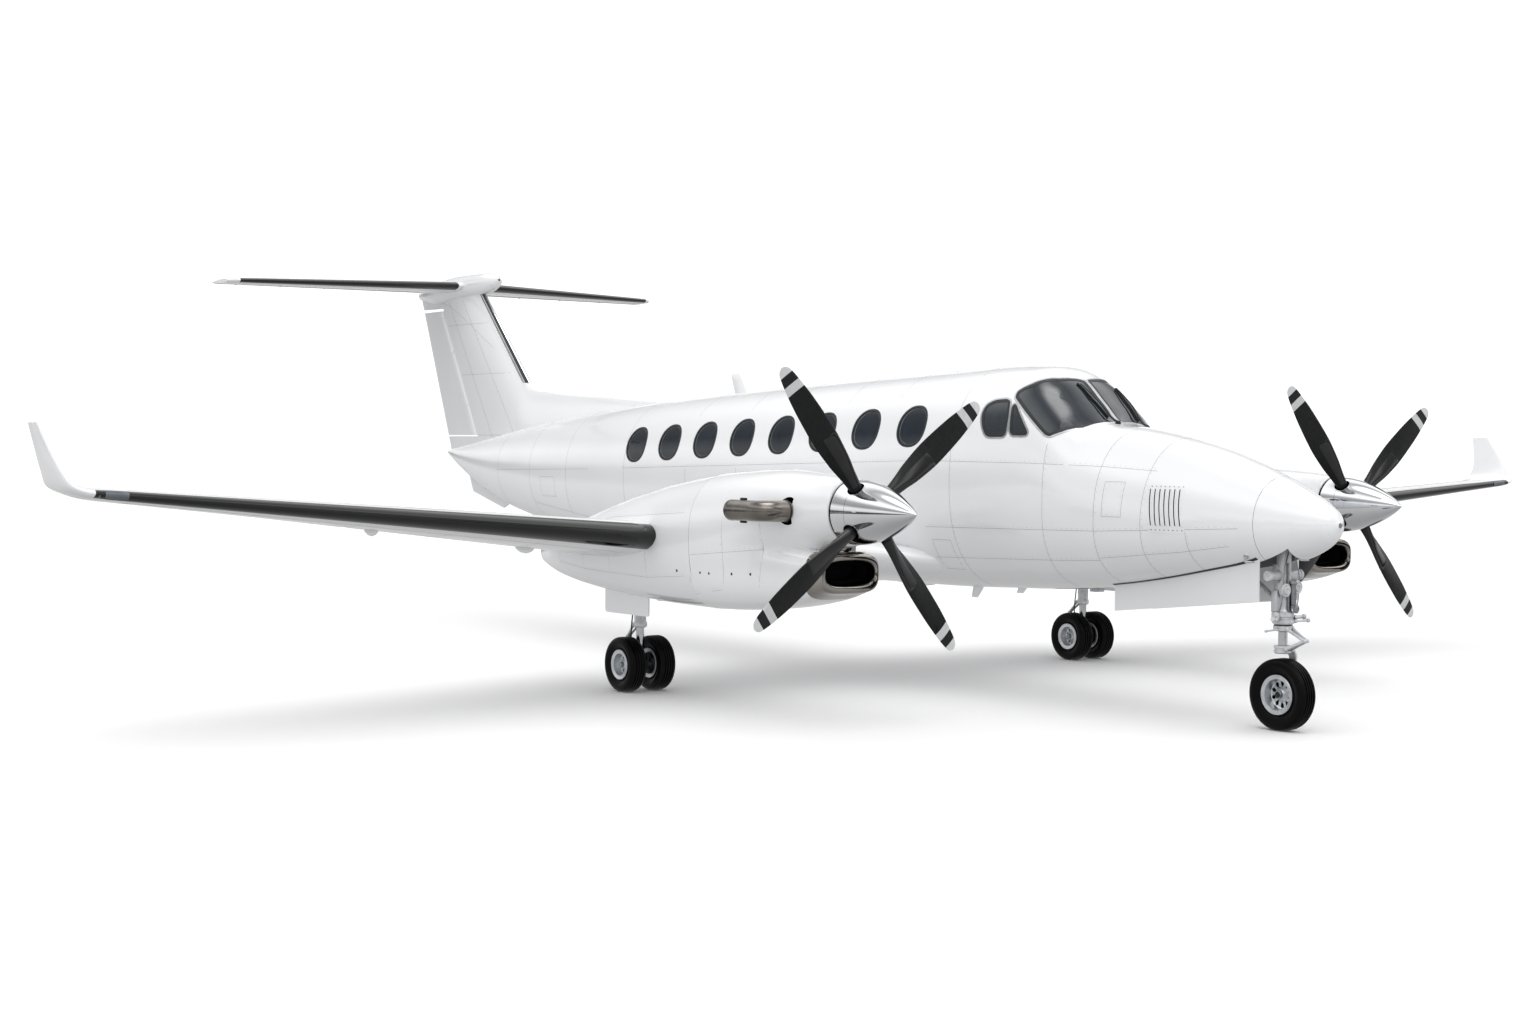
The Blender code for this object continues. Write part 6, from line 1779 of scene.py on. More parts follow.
def make_nose_gear():
    """The nose leg with its collar, bosses and steering rods, and the fork that turns with the wheel."""
    s, hub = NOSE_STATION, NOSE_TYRE["radius"]
    shape = bmesh.new()
    add_round(shape, [(0.070, 0.0), (0.082, 0.008), (0.086, 0.020), (0.086, 0.034), (0.074, 0.044),
                      (0.074, 0.058), (0.082, 0.066), (0.082, 0.092), (0.066, 0.108), (0.060, 0.13),
                      (0.064, 0.20), (0.072, 0.26), (0.072, 0.30), (0.058, 0.33), (0.058, 0.63)],
              at(0, s, 0.82), (0, 0, 1), 48)
    add_box(shape, at(0, s + 0.015, 1.00), (0.190, 0.070, 0.18), bevel=0.018)
    add_box(shape, at(0, s + 0.030, 1.17), (0.120, 0.080, 0.24), bevel=0.018)
    add_sleeve(shape, at(-0.192, s, 1.20), at(0.192, s, 1.20), 0.035)
    add_sleeve(shape, at(0, s + 0.045, 0.985), at(0, 1.56, 1.435), 0.022)
    for way in (-1, 1):
        add_round(shape, [(0.050, 0.0), (0.052, 0.004), (0.052, 0.030), (0.046, 0.034), (0.040, 0.030),
                          (0.034, 0.030), (0.030, 0.036), (0.020, 0.038), (0.012, 0.030)],
                  at(way * 0.066, s - 0.056, 1.10 + 0.01 * way), (0, -1, 0), 40)
    add_sleeve(shape, at(-0.105, s - 0.02, 0.862), at(-0.165, s - 0.035, 0.870), 0.013)
    add_sleeve(shape, at(0.085, s - 0.03, 0.872), at(0.185, s - 0.060, 0.880), 0.014)
    add_sleeve(shape, at(0.070, s - 0.045, 0.845), at(0.205, s - 0.085, 0.850), 0.010)
    add_box(shape, at(-0.085, s, 0.885), (0.045, 0.060, 0.075), bevel=0.010)
    add_box(shape, at(0.082, s - 0.01, 0.870), (0.040, 0.060, 0.050), bevel=0.010)
    piece("nose_leg_forging", shape, GEAR_PAINT, stands_for=["nose_leg"], sharp=40)
    shape = bmesh.new()
    add_sleeve(shape, at(0.018, s - 0.085, 0.95), at(0.010, s - 0.080, 1.16), 0.024)
    add_round(shape, [(0.030, 0.0), (0.034, 0.006), (0.034, 0.020), (0.026, 0.026)],
              at(0.024, s - 0.092, 0.945), (0.2, -1, 0), 32)
    add_rod(shape, at(-0.022, s - 0.070, 0.93), at(-0.030, s - 0.070, 1.30), 0.009)
    piece("nose_steering_motor", shape, STEEL, sharp=40)
    shape = bmesh.new()
    for route in (((0.045, -0.075, 1.34), (0.085, -0.080, 1.18), (0.088, -0.070, 1.02),
                   (0.070, -0.066, 0.925)),
                  ((-0.03, -0.07, 1.38), (-0.085, -0.078, 1.22), (-0.092, -0.066, 1.00),
                   (-0.092, -0.035, 0.918))):
        add_hose(shape, [at(across, s + aft, height) for across, aft, height in route], 0.0045)
    piece("nose_gear_hoses", shape, STEEL)

    shape = bmesh.new()
    add_round(shape, [(0.060, 0.0), (0.068, 0.006), (0.068, 0.022), (0.062, 0.028), (0.062, 0.038),
                      (0.068, 0.044), (0.068, 0.056), (0.060, 0.060)], at(0, s, 0.598), (0, 0, 1), 48)
    add_round(shape, [(0.068, 0.0), (0.075, 0.006), (0.075, 0.040), (0.066, 0.047)], at(0, s, 0.771),
              (0, 0, 1), 48)
    knee = at(0, s - 0.225, 0.708)
    add_link(shape, at(0, s - 0.062, 0.792), knee, 0.034, 0.012, 0.024)
    add_link(shape, at(0, s - 0.060, 0.634), knee, 0.034, 0.012, 0.024)
    add_sleeve(shape, at(-0.066, s - 0.010, 0.785), at(-0.235, s - 0.030, 0.780), 0.008, 0.003)
    arm = [(-0.015, 0.622, 0.050), (0.050, 0.622, 0.047), (0.095, 0.610, 0.042), (0.1205, 0.570, 0.038),
           (0.1205, 0.45, 0.032), (0.1205, 0.34, 0.034), (0.1205, 0.285, 0.042), (0.1205, 0.245, 0.036)]
    rings = []
    for i, (across, height, wide) in enumerate(arm):
        ahead = Vector((arm[min(i + 1, 7)][0] - arm[max(i - 1, 0)][0], 0,
                        arm[min(i + 1, 7)][1] - arm[max(i - 1, 0)][1])).normalized()
        other = ahead.cross(Vector((0, 1, 0)))
        rings.append([at(across, s, height) + Vector((0, 1, 0)) * wide * swollen(cos(a), 0.6)
                      + other * 0.014 * swollen(sin(a), 0.6) for a in turns(24)])
    skin(shape, rings)
    add_rod(shape, at(-0.028, s, hub), at(0.134, s, hub), 0.019, 24)
    piece("nose_fork_forging", shape, GEAR_PAINT, "nose_steering", ["nose_fork"], sharp=40)
    shape = bmesh.new()
    add_rod(shape, at(0, s, 0.65), at(0, s, 0.775), 0.036, 32)
    piece("nose_piston", shape, POLISHED, "nose_steering", sharp=40)


make_nose_wheel()
make_nose_gear()
for side_name, side in SIDES.items():
    make_main_wheels(side_name, side)
    make_main_gear(side_name, side)


# ------------------------------------------------------------ moving surfaces and the airstair door

def make_surface(name, inner, outer, plan, square_ends=True):
    """A smooth control surface with a round nose about its hinge line."""
    hinge = []
    for share in (plan["inner"], plan["outer"]):
        nose, aft, up = lerp_axes(inner, outer, share)
        hinge.append((nose + aft * plan["hinge"], up.length * foil_height(plan["hinge"]), aft, up))
    start, end = hinge[0][0], hinge[1][0]
    axis = (end - start).normalized()
    back = (Vector((0, 1, 0)) - axis * axis.y).normalized()
    over = axis.cross(back)
    if over.dot(hinge[0][3]) < 0:
        over.negate()
    tail = [plan["hinge"] + 0.045 + (0.955 - plan["hinge"]) * (k / 12) for k in range(13)]
    rings = []
    for u in spread(0.0, 1.0, 0.125):
        share = plan["inner"] + (plan["outer"] - plan["inner"]) * u
        nose, aft, up = lerp_axes(inner, outer, share)
        origin = start.lerp(end, u)
        radius = hinge[0][1] + (hinge[1][1] - hinge[0][1]) * u
        shift = origin - (nose + aft * plan["hinge"])
        ring = [nose + shift + aft * c + up * foil_height(c) for c in tail[::-1]]
        ring += [origin + (back * cos(a) + over * sin(a)) * radius
                 for a in (radians(90 + 15 * k) for k in range(13))]
        ring += [nose + shift + aft * c - up * foil_height(c) for c in tail]
        if square_ends:
            ring = [p - axis * (p - origin).dot(axis) for p in ring]
        else:
            ring = [p - axis * ((p - origin).z / axis.z) for p in ring]
        rings.append(ring)
    piece(f"{name}_skin", loft(name, rings), WHITE, name, [name], sharp=35)


def make_airstair():
    """The airstair door: a panel that carries the skin's curve, four steps, rails, hinge and handle."""
    outline = rounded(rectangle(DOOR["front"] + 0.010, DOOR["rear"] - 0.010, DOOR["sill"] + 0.010,
                                DOOR["head"] - 0.022), DOOR["corner"])
    shape = bmesh.new()
    add_pane(shape, refined(outline, 0.04), on_side(1.0), 0.0, SKIN, rings=10)
    piece("airstair_panel", shape, WHITE, "airstair_door", ["airstair_door"], sharp=45)
    treads, mats, rails = bmesh.new(), bmesh.new(), bmesh.new()
    for step in range(4):
        height = DOOR["sill"] + 0.16 + step * 0.25
        out = body_point(9.92, height)[0].x - 0.03
        add_box(treads, at(out - 0.10, 9.68, height + 0.015), (0.20, 0.48, 0.030), bevel=0.006)
        add_box(mats, at(out - 0.10, 9.68, height + 0.031), (0.17, 0.45, 0.004), bevel=0.0015)
        for k in range(3):
            add_box(treads, at(out - 0.05 - 0.05 * k, 9.68, height - 0.004), (0.006, 0.46, 0.016),
                    bevel=0.002)
    for station in (9.455, 9.905):
        line = [body_point(station, DOOR["sill"] + 0.08 + 0.10 * k)[0] for k in range(11)]
        add_tube(rails, [Vector((q.x - 0.060, q.y, q.z)) for q in line], 0.012, 12)
        for q in line[::5]:
            add_rod(rails, Vector((q.x - 0.062, q.y, q.z)), Vector((q.x - 0.022, q.y, q.z)), 0.008)
    piece("airstair_treads", treads, BARE_FRAME, "airstair_door", sharp=40)
    piece("airstair_tread_mats", mats, PLASTIC, "airstair_door", sharp=40)
    piece("airstair_rails", rails, POLISHED, "airstair_door", sharp=40)
    height = DOOR["sill"] + 0.005
    shape, lugs = bmesh.new(), bmesh.new()
    ends = [body_point(station, height)[0] + Vector((0.010, 0, 0)) for station in (9.35, 10.01)]
    for share in (0.2, 0.8):
        a, b = ends[0].lerp(ends[1], share - 0.06), ends[0].lerp(ends[1], share + 0.06)
        add_rod(shape, a, b, 0.008, 20)
        middle = (a + b) / 2
        add_box(shape, middle + Vector((-0.014, 0, 0.016)), (0.028, 0.075, 0.030), bevel=0.004)
        add_box(lugs, middle + Vector((-0.014, 0, -0.024)), (0.026, 0.070, 0.018), bevel=0.004)
    piece("airstair_hinge_knuckles", shape, STEEL, "airstair_door", sharp=40)
    piece("airstair_hinge_lugs", lugs, STEEL, sharp=40)
    shape = bmesh.new()
    p, out = body_point(9.68, 2.02)
    for lift, size in ((0.0015, (0.006, 0.12, 0.060)), (0.006, (0.008, 0.085, 0.016))):
        add_box(shape, p + out * lift, size, out.to_track_quat("X", "Z"), 0.002)
    piece("airstair_handle", shape, STEEL, "airstair_door", sharp=40)


for side_name, side in SIDES.items():
    pair = [wing_axes(side, row) for row in WING_OUTER[:2]]
    make_surface(f"flap_{side_name}", *pair, FLAP)
    make_surface(f"aileron_{side_name}", *pair, AILERON)
    make_surface(f"elevator_{side_name}", *[wing_axes(side, row) for row in TAILPLANE[:2]], ELEVATOR)
make_surface("rudder", *[fin_axes(row) for row in FIN], RUDDER, square_ends=False)
make_airstair()


# ------------------------------------------------------------ cabin and flight deck

def floor_mesh(start, end):
    """A floor that keeps 70 mm from the skin on both sides."""
    rings = []
    for station in spread(start, end, 0.25):
        half = body_point(station, 1.31)[0].x - 0.07
        rings.append([at(way * half, station, height) for way, height in (
            (-1, 1.325), (1, 1.325), (1, 1.355), (-1, 1.355))])
    return loft("floor", rings)


# Cabin seats: rows, the first row's station, the pitch and the distance from the middle
SEATS = {"rows": 5, "first": 4.75, "pitch": 0.95, "aside": 0.36}


def make_inside():
    """Cabin floor, seats in pairs, the panel's hood and yokes, behind the panes and the doorway."""
    piece("cabin_floor", floor_mesh(4.12, 10.50), LINING)
    piece("flight_deck_floor", floor_mesh(2.60, 4.10), PLASTIC)
    shape = bmesh.new()
    feet = bmesh.new()
    for row in range(SEATS["rows"]):
        for way in (-1, 1):
            x, station = way * SEATS["aside"], SEATS["first"] + row * SEATS["pitch"]
            add_cushion(shape, at(x, station, 1.58), (0.46, 0.48, 0.17))
            add_cushion(shape, at(x, station + 0.25, 1.80), (0.43, 0.15, 0.54), thin=1)
            add_cushion(shape, at(x, station + 0.24, 2.12), (0.28, 0.11, 0.17), thin=1)
            add_box(feet, at(x, station, 1.44), (0.30, 0.34, 0.18), bevel=0.01)
    for way in (-1, 1):
        add_cushion(shape, at(way * 0.27, 3.47, 1.66), (0.44, 0.48, 0.15))
        add_cushion(shape, at(way * 0.27, 3.70, 1.93), (0.42, 0.14, 0.54), thin=1)
        add_cushion(shape, at(way * 0.27, 3.69, 2.26), (0.27, 0.10, 0.17), thin=1)
    cushions = piece("seat_cushions", shape, LINING, sharp=80)
    piece("seat_pedestals", feet, PLASTIC, sharp=50)
    hood = [hull_ring((station, 1.60, 1.90, top, wide, 3.2, 3.0), sides=48)
            for station, top, wide in ((2.62, 2.10, 0.52), (2.70, 2.19, 0.57), (2.84, 2.215, 0.58),
                                       (2.90, 2.18, 0.575))]
    piece("panel_hood", loft("hood", hood), PLASTIC, stands_for=["flight_deck"])
    shape = bmesh.new()
    for way in (-1, 1):
        add_tube(shape, [at(way * 0.27, 2.88, 1.95), at(way * 0.27, 3.05, 1.97)], 0.016, 12)
        add_tube(shape, [at(way * 0.27 + dx, 3.06, 1.97 + dz) for dx, dz in (
            (-0.15, 0.09), (-0.14, 0.0), (-0.05, -0.03), (0.05, -0.03), (0.14, 0.0),
            (0.15, 0.09))], 0.014, 10)
    piece("control_yokes", shape, PLASTIC, sharp=40)


make_inside()


# ------------------------------------------------------------ fittings on the skin

def add_blade(shape, foot, top, chord_foot, chord_top, thick):
    """A blade antenna from its foot to its top, thick across X."""
    foot, top = Vector(foot), Vector(top)
    rings = []
    for u in (0.0, 0.25, 0.5, 0.75, 0.92, 1.0):
        centre = foot.lerp(top, u)
        chord = chord_foot + (chord_top - chord_foot) * u
        wide = thick * (1 - 0.5 * u) * (0.35 if u == 1.0 else 1.0)
        long = chord * (0.86 if u == 1.0 else 1.0)
        rings.append([centre + Vector((wide / 2 * sin(a), -long / 2 * cos(a), 0))
                      for a in turns(24)])
    skin(shape, rings)


def add_bump(shape, station, half, high, wide, x=0.0, under=False):
    """A low teardrop fairing on the crown or under the belly."""
    rings = []
    for u in (0.02, 0.08, 0.2, 0.35, 0.55, 0.75, 0.9, 0.98):
        swell = sin(pi * u**0.7) ** 0.7
        place = station - half + 2 * half * u
        row = section_at(FUSELAGE, place)
        seat = (row[1] if under else row[3]) + (0.004 if under else -0.004)
        rings.append([at(x + wide * swell * cos(a), place,
                         seat + (-1 if under else 1) * max(sin(a), -0.3) * high * swell)
                      for a in turns(24)])
    skin(shape, rings)


def stepped(points, pitch):
    """More points along a line of (station, height) points."""
    found = []
    for (s0, h0), (s1, h1) in zip(points, points[1:]):
        steps = max(2, ceil(hypot(s1 - s0, h1 - h0) / pitch))
        found += [(s0 + (s1 - s0) * k / steps, h0 + (h1 - h0) * k / steps) for k in range(steps)]
    return [*found, points[-1]]


def surface_path(points, side):
    """A line on the fuselage's side through (station, height) points, with the directions outwards."""
    return [body_point(s, h, side) for s, h in stepped(points, 0.06)]


def ring_path(station, low, high, side):
    """An upright line round a body's side between two heights."""
    row = section_at(FUSELAGE, station)
    start, end = skin_angle(row, max(low, row[1])), skin_angle(row, min(high, row[3]))
    path = []
    for angle in spread(start, end, 0.05):
        point = hull_point(row, angle)
        ahead = hull_point(section_at(FUSELAGE, station + 0.01), angle) - hull_point(
            section_at(FUSELAGE, station - 0.01), angle)
        around = hull_point(row, angle + 0.01) - hull_point(row, angle - 0.01)
        out = ahead.cross(around).normalized()
        if out.dot(point - at(0, station, row[2])) < 0:
            out.negate()
        path.append((Vector((side * point.x, point.y, point.z)), Vector((side * out.x, out.y, out.z))))
    return path


# Lines between the fuselage's skin panels, as (station, height) points and as (station, low, high)
SKIN_LINES = (
    ((1.00, 1.56), (2.30, 1.50), (4.30, 1.47)),
    ((1.80, 1.99), (2.30, 2.02), (3.00, 2.04), (4.30, 2.05), (9.30, 1.92)),
    ((10.06, 1.90), (12.60, 1.86)),
    ((2.32, 1.26), (2.80, 1.24), (4.30, 1.20)),
    ((7.30, 1.25), (9.30, 1.29)),
    ((10.06, 1.36), (11.60, 1.50)),
    ((1.10, 1.42), (1.52, 1.36), (2.30, 1.28)),
)
SKIN_RINGS = (
    (1.45, 1.20, 1.52), (1.86, 1.12, 2.26), (2.32, 1.06, 2.33), (2.86, 1.01, 2.20), (3.95, 0.96, 2.88),
    (4.86, 2.60, 2.84), (5.60, 2.56, 2.81), (6.45, 2.55, 2.78), (7.15, 1.25, 1.95), (7.15, 2.52, 2.75),
    (8.05, 0.95, 1.93), (8.05, 2.46, 2.71), (9.26, 1.00, 2.64), (10.60, 1.12, 2.55), (11.60, 1.24, 2.45),
    (12.60, 1.40, 2.30),
)
# Access panels, as the first and last station and height
HATCHES = ((2.05, 1.62, 2.24, 1.90), (10.90, 1.58, 11.30, 1.80), (4.02, 1.10, 4.26, 1.36))
POD_LINES = (
    ((4.45, 1.62), (5.60, 1.55), (6.60, 1.38)),
    ((4.45, 1.10), (5.02, 1.06), (6.10, 1.08), (6.60, 1.12)),
    ((5.02, 1.06), (5.02, 1.60)), ((5.62, 1.06), (5.62, 1.52)), ((6.10, 1.08), (6.12, 1.50)),
    ((6.60, 1.12), (6.60, 1.38)),
)
COWL_LINES = (
    ((3.42, 1.86), (3.42, 1.30), (3.46, 1.02)), ((3.90, 1.90), (3.90, 1.20), (3.92, 0.98)),
    ((3.42, 1.36), (4.34, 1.28)), ((3.92, 1.02), (4.34, 0.96)), ((2.90, 1.80), (2.92, 1.50)),
)


def pod_path(points, side, way):
    """A line on a pod's starboard (-1) or port (1) flank."""
    return [pod_point(s, h, side * NACELLE_X, way) for s, h in stepped(points, 0.05)]


def pod_point(station, height, centre, way):
    """A point on a pod's flank and the direction outwards there."""
    def reach(s, h):
        ring = pod_outline(s)
        best = 0.0
        for a, b in zip(ring, ring[1:] + ring[:1]):
            if (a.z - h) * (b.z - h) <= 0 and a.z != b.z:
                best = max(best, (a + (b - a) * ((h - a.z) / (b.z - a.z))).x)
        return best
    x = reach(station, height)
    slope_s = (reach(station + 0.02, height) - reach(station - 0.02, height)) / 0.04
    slope_h = (reach(station, height + 0.02) - reach(station, height - 0.02)) / 0.04
    out = Vector((1.0, -slope_s, -slope_h)).normalized()
    return at(centre + way * x, station, height), Vector((way * out.x, out.y, out.z))


POD_CACHE = {}


def pod_outline(station):
    """A pod's section, kept once made."""
    key = round(station, 4)
    if key not in POD_CACHE:
        POD_CACHE[key] = pod_ring(station, 0.0, 64)
    return POD_CACHE[key]


def make_line_tree():
    """Geometry Nodes: fasteners at a pitch along lines, each laid flat on the skin."""
    tree = bpy.data.node_groups.new("fasteners_along_lines", "GeometryNodeTree")
    face = tree.interface
    face.new_socket("Places", in_out="INPUT", socket_type="NodeSocketGeometry")
    for name, value in (("Radius", 0.003), ("Height", 0.0006)):
        face.new_socket(name, in_out="INPUT", socket_type="NodeSocketFloat").default_value = value
    face.new_socket("Sides", in_out="INPUT", socket_type="NodeSocketInt").default_value = 8
    face.new_socket("Seed", in_out="INPUT", socket_type="NodeSocketInt").default_value = 7
    face.new_socket("Finish", in_out="INPUT", socket_type="NodeSocketMaterial")
    face.new_socket("Places", in_out="OUTPUT", socket_type="NodeSocketGeometry")
    given = add_node(tree, "NodeGroupInput")
    head = add_node(tree, "GeometryNodeMeshCylinder", {"Vertices": given.outputs["Sides"],
                                                       "Radius": given.outputs["Radius"],
                                                       "Depth": given.outputs["Height"]})
    facing = add_node(tree, "GeometryNodeInputNamedAttribute", {"Name": "facing"}, data_type="FLOAT_VECTOR")
    turn = add_node(tree, "FunctionNodeAlignRotationToVector", {"Vector": facing.outputs[0]}, axis="Z")
    size = add_node(tree, "FunctionNodeRandomValue", {"Min": 0.92, "Max": 1.08,
                                                      "Seed": given.outputs["Seed"]}, data_type="FLOAT")
    size_out = next(o for o in size.outputs if o.enabled)
    heads = add_node(tree, "GeometryNodeInstanceOnPoints", {
        "Points": given.outputs["Places"], "Instance": head.outputs["Mesh"],
        "Rotation": turn.outputs[0], "Scale": size_out})
    real = add_node(tree, "GeometryNodeRealizeInstances", {"Geometry": heads.outputs[0]})
    painted = add_node(tree, "GeometryNodeSetMaterial", {"Geometry": real.outputs[0],
                                                        "Material": given.outputs["Finish"]})
    add_node(tree, "NodeGroupOutput", {"Places": painted.outputs[0]})
    return tree


LINE_TREE = make_line_tree()


def along(path, pitch, aside=0.0):
    """Places at an even pitch along a path of (point, direction outwards), moved aside from it."""
    found, carry = [], pitch / 2
    for (a, na), (b, nb) in zip(path, path[1:]):
        step = b - a
        long = step.length
        side = step.cross((na + nb) / 2).normalized() if long > 1e-9 else Vector()
        while carry < long:
            u = carry / long
            found.append((a + step * u + side * aside, (na + (nb - na) * u).normalized()))
            carry += pitch
        carry -= long
    return found


def add_joint(lines, rivets, path, width, lift, pitch, aside):
    """A joint's sealant along a path, with its row of rivets beside it."""
    add_ribbon(lines, path, width, lift, 0.001)
    rivets.extend(along(path, pitch, aside))


def make_fasteners(name, places, radius, height, finish, sides=8):
    mesh = bpy.data.meshes.new(name)
    mesh.from_pydata([p for p, _ in places], [], [])
    facing = mesh.attributes.new("facing", "FLOAT_VECTOR", "POINT")
    for slot, (_, out) in zip(facing.data, places):
        slot.vector = out
    made = run_tree(LINE_TREE, mesh, {"Radius": radius, "Height": height, "Sides": sides, "Finish": finish})
    piece(name, made, finish, sharp=30)


def make_rivets(name, places, radius=0.0028):
    make_fasteners(name, places, radius, 0.0008, JOINT, sides=6)


def make_skin_lines():
    """Sealant lines between the skin panels, with the rows of rivets beside them."""
    lines, rivets = bmesh.new(), []
    for side in SIDES.values():
        paths = [surface_path(points, side) for points in SKIN_LINES]
        paths += [ring_path(station, low, high, side) for station, low, high in SKIN_RINGS]
        for s0, h0, s1, h1 in HATCHES:
            paths.append(surface_path(((s0, h0), (s1, h0), (s1, h1), (s0, h1), (s0, h0)), side))
        for path in paths:
            add_joint(lines, rivets, path, 0.0030, 0.0004, 0.055, 0.016)
    piece("fuselage_panel_joints", lines, JOINT)
    make_rivets("fuselage_rivets", rivets)
    for side_name, side in SIDES.items():
        lines, rivets = bmesh.new(), []
        for way in (-1, 1):
            for points in POD_LINES + COWL_LINES:
                path = pod_path(points, side, way)
                add_joint(lines, rivets, path, 0.0022, 0.0006, 0.060, 0.016)
        piece(f"pod_panel_joints_{side_name}", lines, JOINT)
        make_rivets(f"pod_rivets_{side_name}", rivets)
        latches = [pod_point(s, h, side * NACELLE_X, way) for way in (-1, 1)
                   for s, h in ((3.56, 1.16), (3.80, 1.15), (4.10, 1.14), (4.22, 1.14), (4.55, 1.14))]
        make_fasteners(f"cowl_latches_{side_name}", latches, 0.011, 0.003, PLASTIC, sides=16)


def wing_surface(side, table, x, share, upper):
    """A point on a wing's skin and the direction outwards."""
    def on_skin(xx, c):
        nose, aft, up = axes_at(side, table, xx)
        return nose + aft * c + up * foil_height(c) * (1 if upper else -1)
    point = on_skin(x, share)
    out = (on_skin(x + 0.01, share) - point).cross(on_skin(x, share + 0.01) - point).normalized()
    up = axes_at(side, table, x)[2]
    return point, out if (out.dot(up) > 0) == upper else -out


def add_wick(shape, side, table, x, share):
    """A static wick that trails from a wing's edge."""
    nose, aft, up = axes_at(side, table, x)
    tail, back = nose + aft * share, aft.normalized()
    add_tube(shape, [tail - back * 0.02, tail + back * 0.10], 0.0022, 6)


def make_wing_lines():
    """Joints and rivets on the wings and tailplane, flap tracks, wicks and tip lamps."""
    for side_name, side in SIDES.items():
        lines, rivets = bmesh.new(), []
        for upper in (True, False):
            spans = [[(x, share) for x in spread(3.3, 7.75, 0.2)] for share in (0.17, 0.62)]
            ribs = [[(x, c) for c in spread(0.10, 0.69, 0.06)]
                    for x in (3.30, 4.15, 5.00, 5.85, 6.70, 7.70)]
            for line in spans + ribs:
                path = [wing_surface(side, WING_OUTER, x, c, upper) for x, c in line]
                add_joint(lines, rivets, path, 0.0022, 0.0005, 0.07, 0.014)
            ribs = [[(x, c) for c in spread(0.12, 0.62, 0.08)] for x in (1.45, 2.30)]
            for line in [[(x, 0.16) for x in spread(0.3, 2.8, 0.2)]] + ribs:
                path = [wing_surface(side, TAILPLANE, x, c, upper) for x, c in line]
                add_joint(lines, rivets, path, 0.0020, 0.0005, 0.07, 0.012)
        piece(f"wing_panel_joints_{side_name}", lines, JOINT)
        make_rivets(f"wing_rivets_{side_name}", rivets, 0.0026)

        shape = bmesh.new()
        for x in (3.82, 5.42):
            point, out = wing_surface(side, WING_OUTER, x, 0.60, False)
            nose, aft, up = axes_at(side, WING_OUTER, x)
            rings = []
            for u in (0.0, 0.15, 0.4, 0.7, 0.9, 1.0):
                swell = sin(pi * (0.08 + 0.84 * u)) ** 0.6
                share = 0.52 + 0.165 * u
                place = nose + aft * share - up * (foil_height(share) * 0.9)
                rings.append([place + Vector((0.022 * swell * cos(a), 0, 0)) - up.normalized()
                              * (0.062 * swell * (0.5 + 0.5 * sin(a)))
                              for a in turns(16)])
            skin(shape, rings)
        piece(f"hinge_fairings_{side_name}", shape, WHITE, sharp=50)

        shape = bmesh.new()
        add_wick(shape, side, WING_OUTER, 7.86, 0.998)
        piece(f"static_wick_{side_name}", shape, PLASTIC)

        shape, rings = bmesh.new(), []
        for u in (k / 8 for k in range(9)):
            axes = axes_at(side, WING_OUTER, 7.74 + 0.17 * u)
            swell = 0.003 + 0.009 * sin(pi * min(max(u, 0.04), 0.96)) ** 0.5
            rings.append(foil_arc(axes, 0.020, 0.016, swell) + foil_arc(axes, 0.020, 0.016, -0.002)[::-1])
        skin(shape, rings)
        piece(f"tip_lamp_lens_{side_name}", shape, LENS)
        for body, table, places in ((f"aileron_{side_name}", WING_OUTER, (6.1, 6.7, 7.3)),
                                    (f"elevator_{side_name}", TAILPLANE, (1.4, 2.0, 2.6))):
            shape = bmesh.new()
            for x in places:
                add_wick(shape, side, table, x, 0.997)
            piece(f"{body}_wicks", shape, PLASTIC, body)


def make_fin_lines():
    """Joints on the fin: two along its span, three across it and the curved one below the top."""
    lines, rivets = bmesh.new(), []
    routes = [[(u, c) for u in spread(0.05, 0.93, 0.08)] for c in (0.30, 0.52)]
    routes.append([(0.93 - 0.30 * t, 0.66 - 0.50 * t**0.6) for t in spread(0.0, 1.0, 0.1)])
    routes += [[(u, c) for c in spread(0.10, 0.66, 0.07)] for u in (0.12, 0.48, 0.78)]
    for way in (-1, 1):
        for route in routes:
            path = []
            for u, c in route:
                nose, aft, up = fin_at(u)
                half = Vector((way * up.length * foil_height(c), 0, 0))
                path.append((nose + aft * c + half, Vector((way, 0, 0))))
            add_joint(lines, rivets, path, 0.0030, 0.0006, 0.07, 0.014)
    piece("fin_panel_joints", lines, JOINT)
    make_rivets("fin_rivets", rivets)


# Louvres: their number, the foot of the first one and the pitch along the nose
LOUVRES = {"count": 7, "first": 1.490, "pitch": 0.0443}


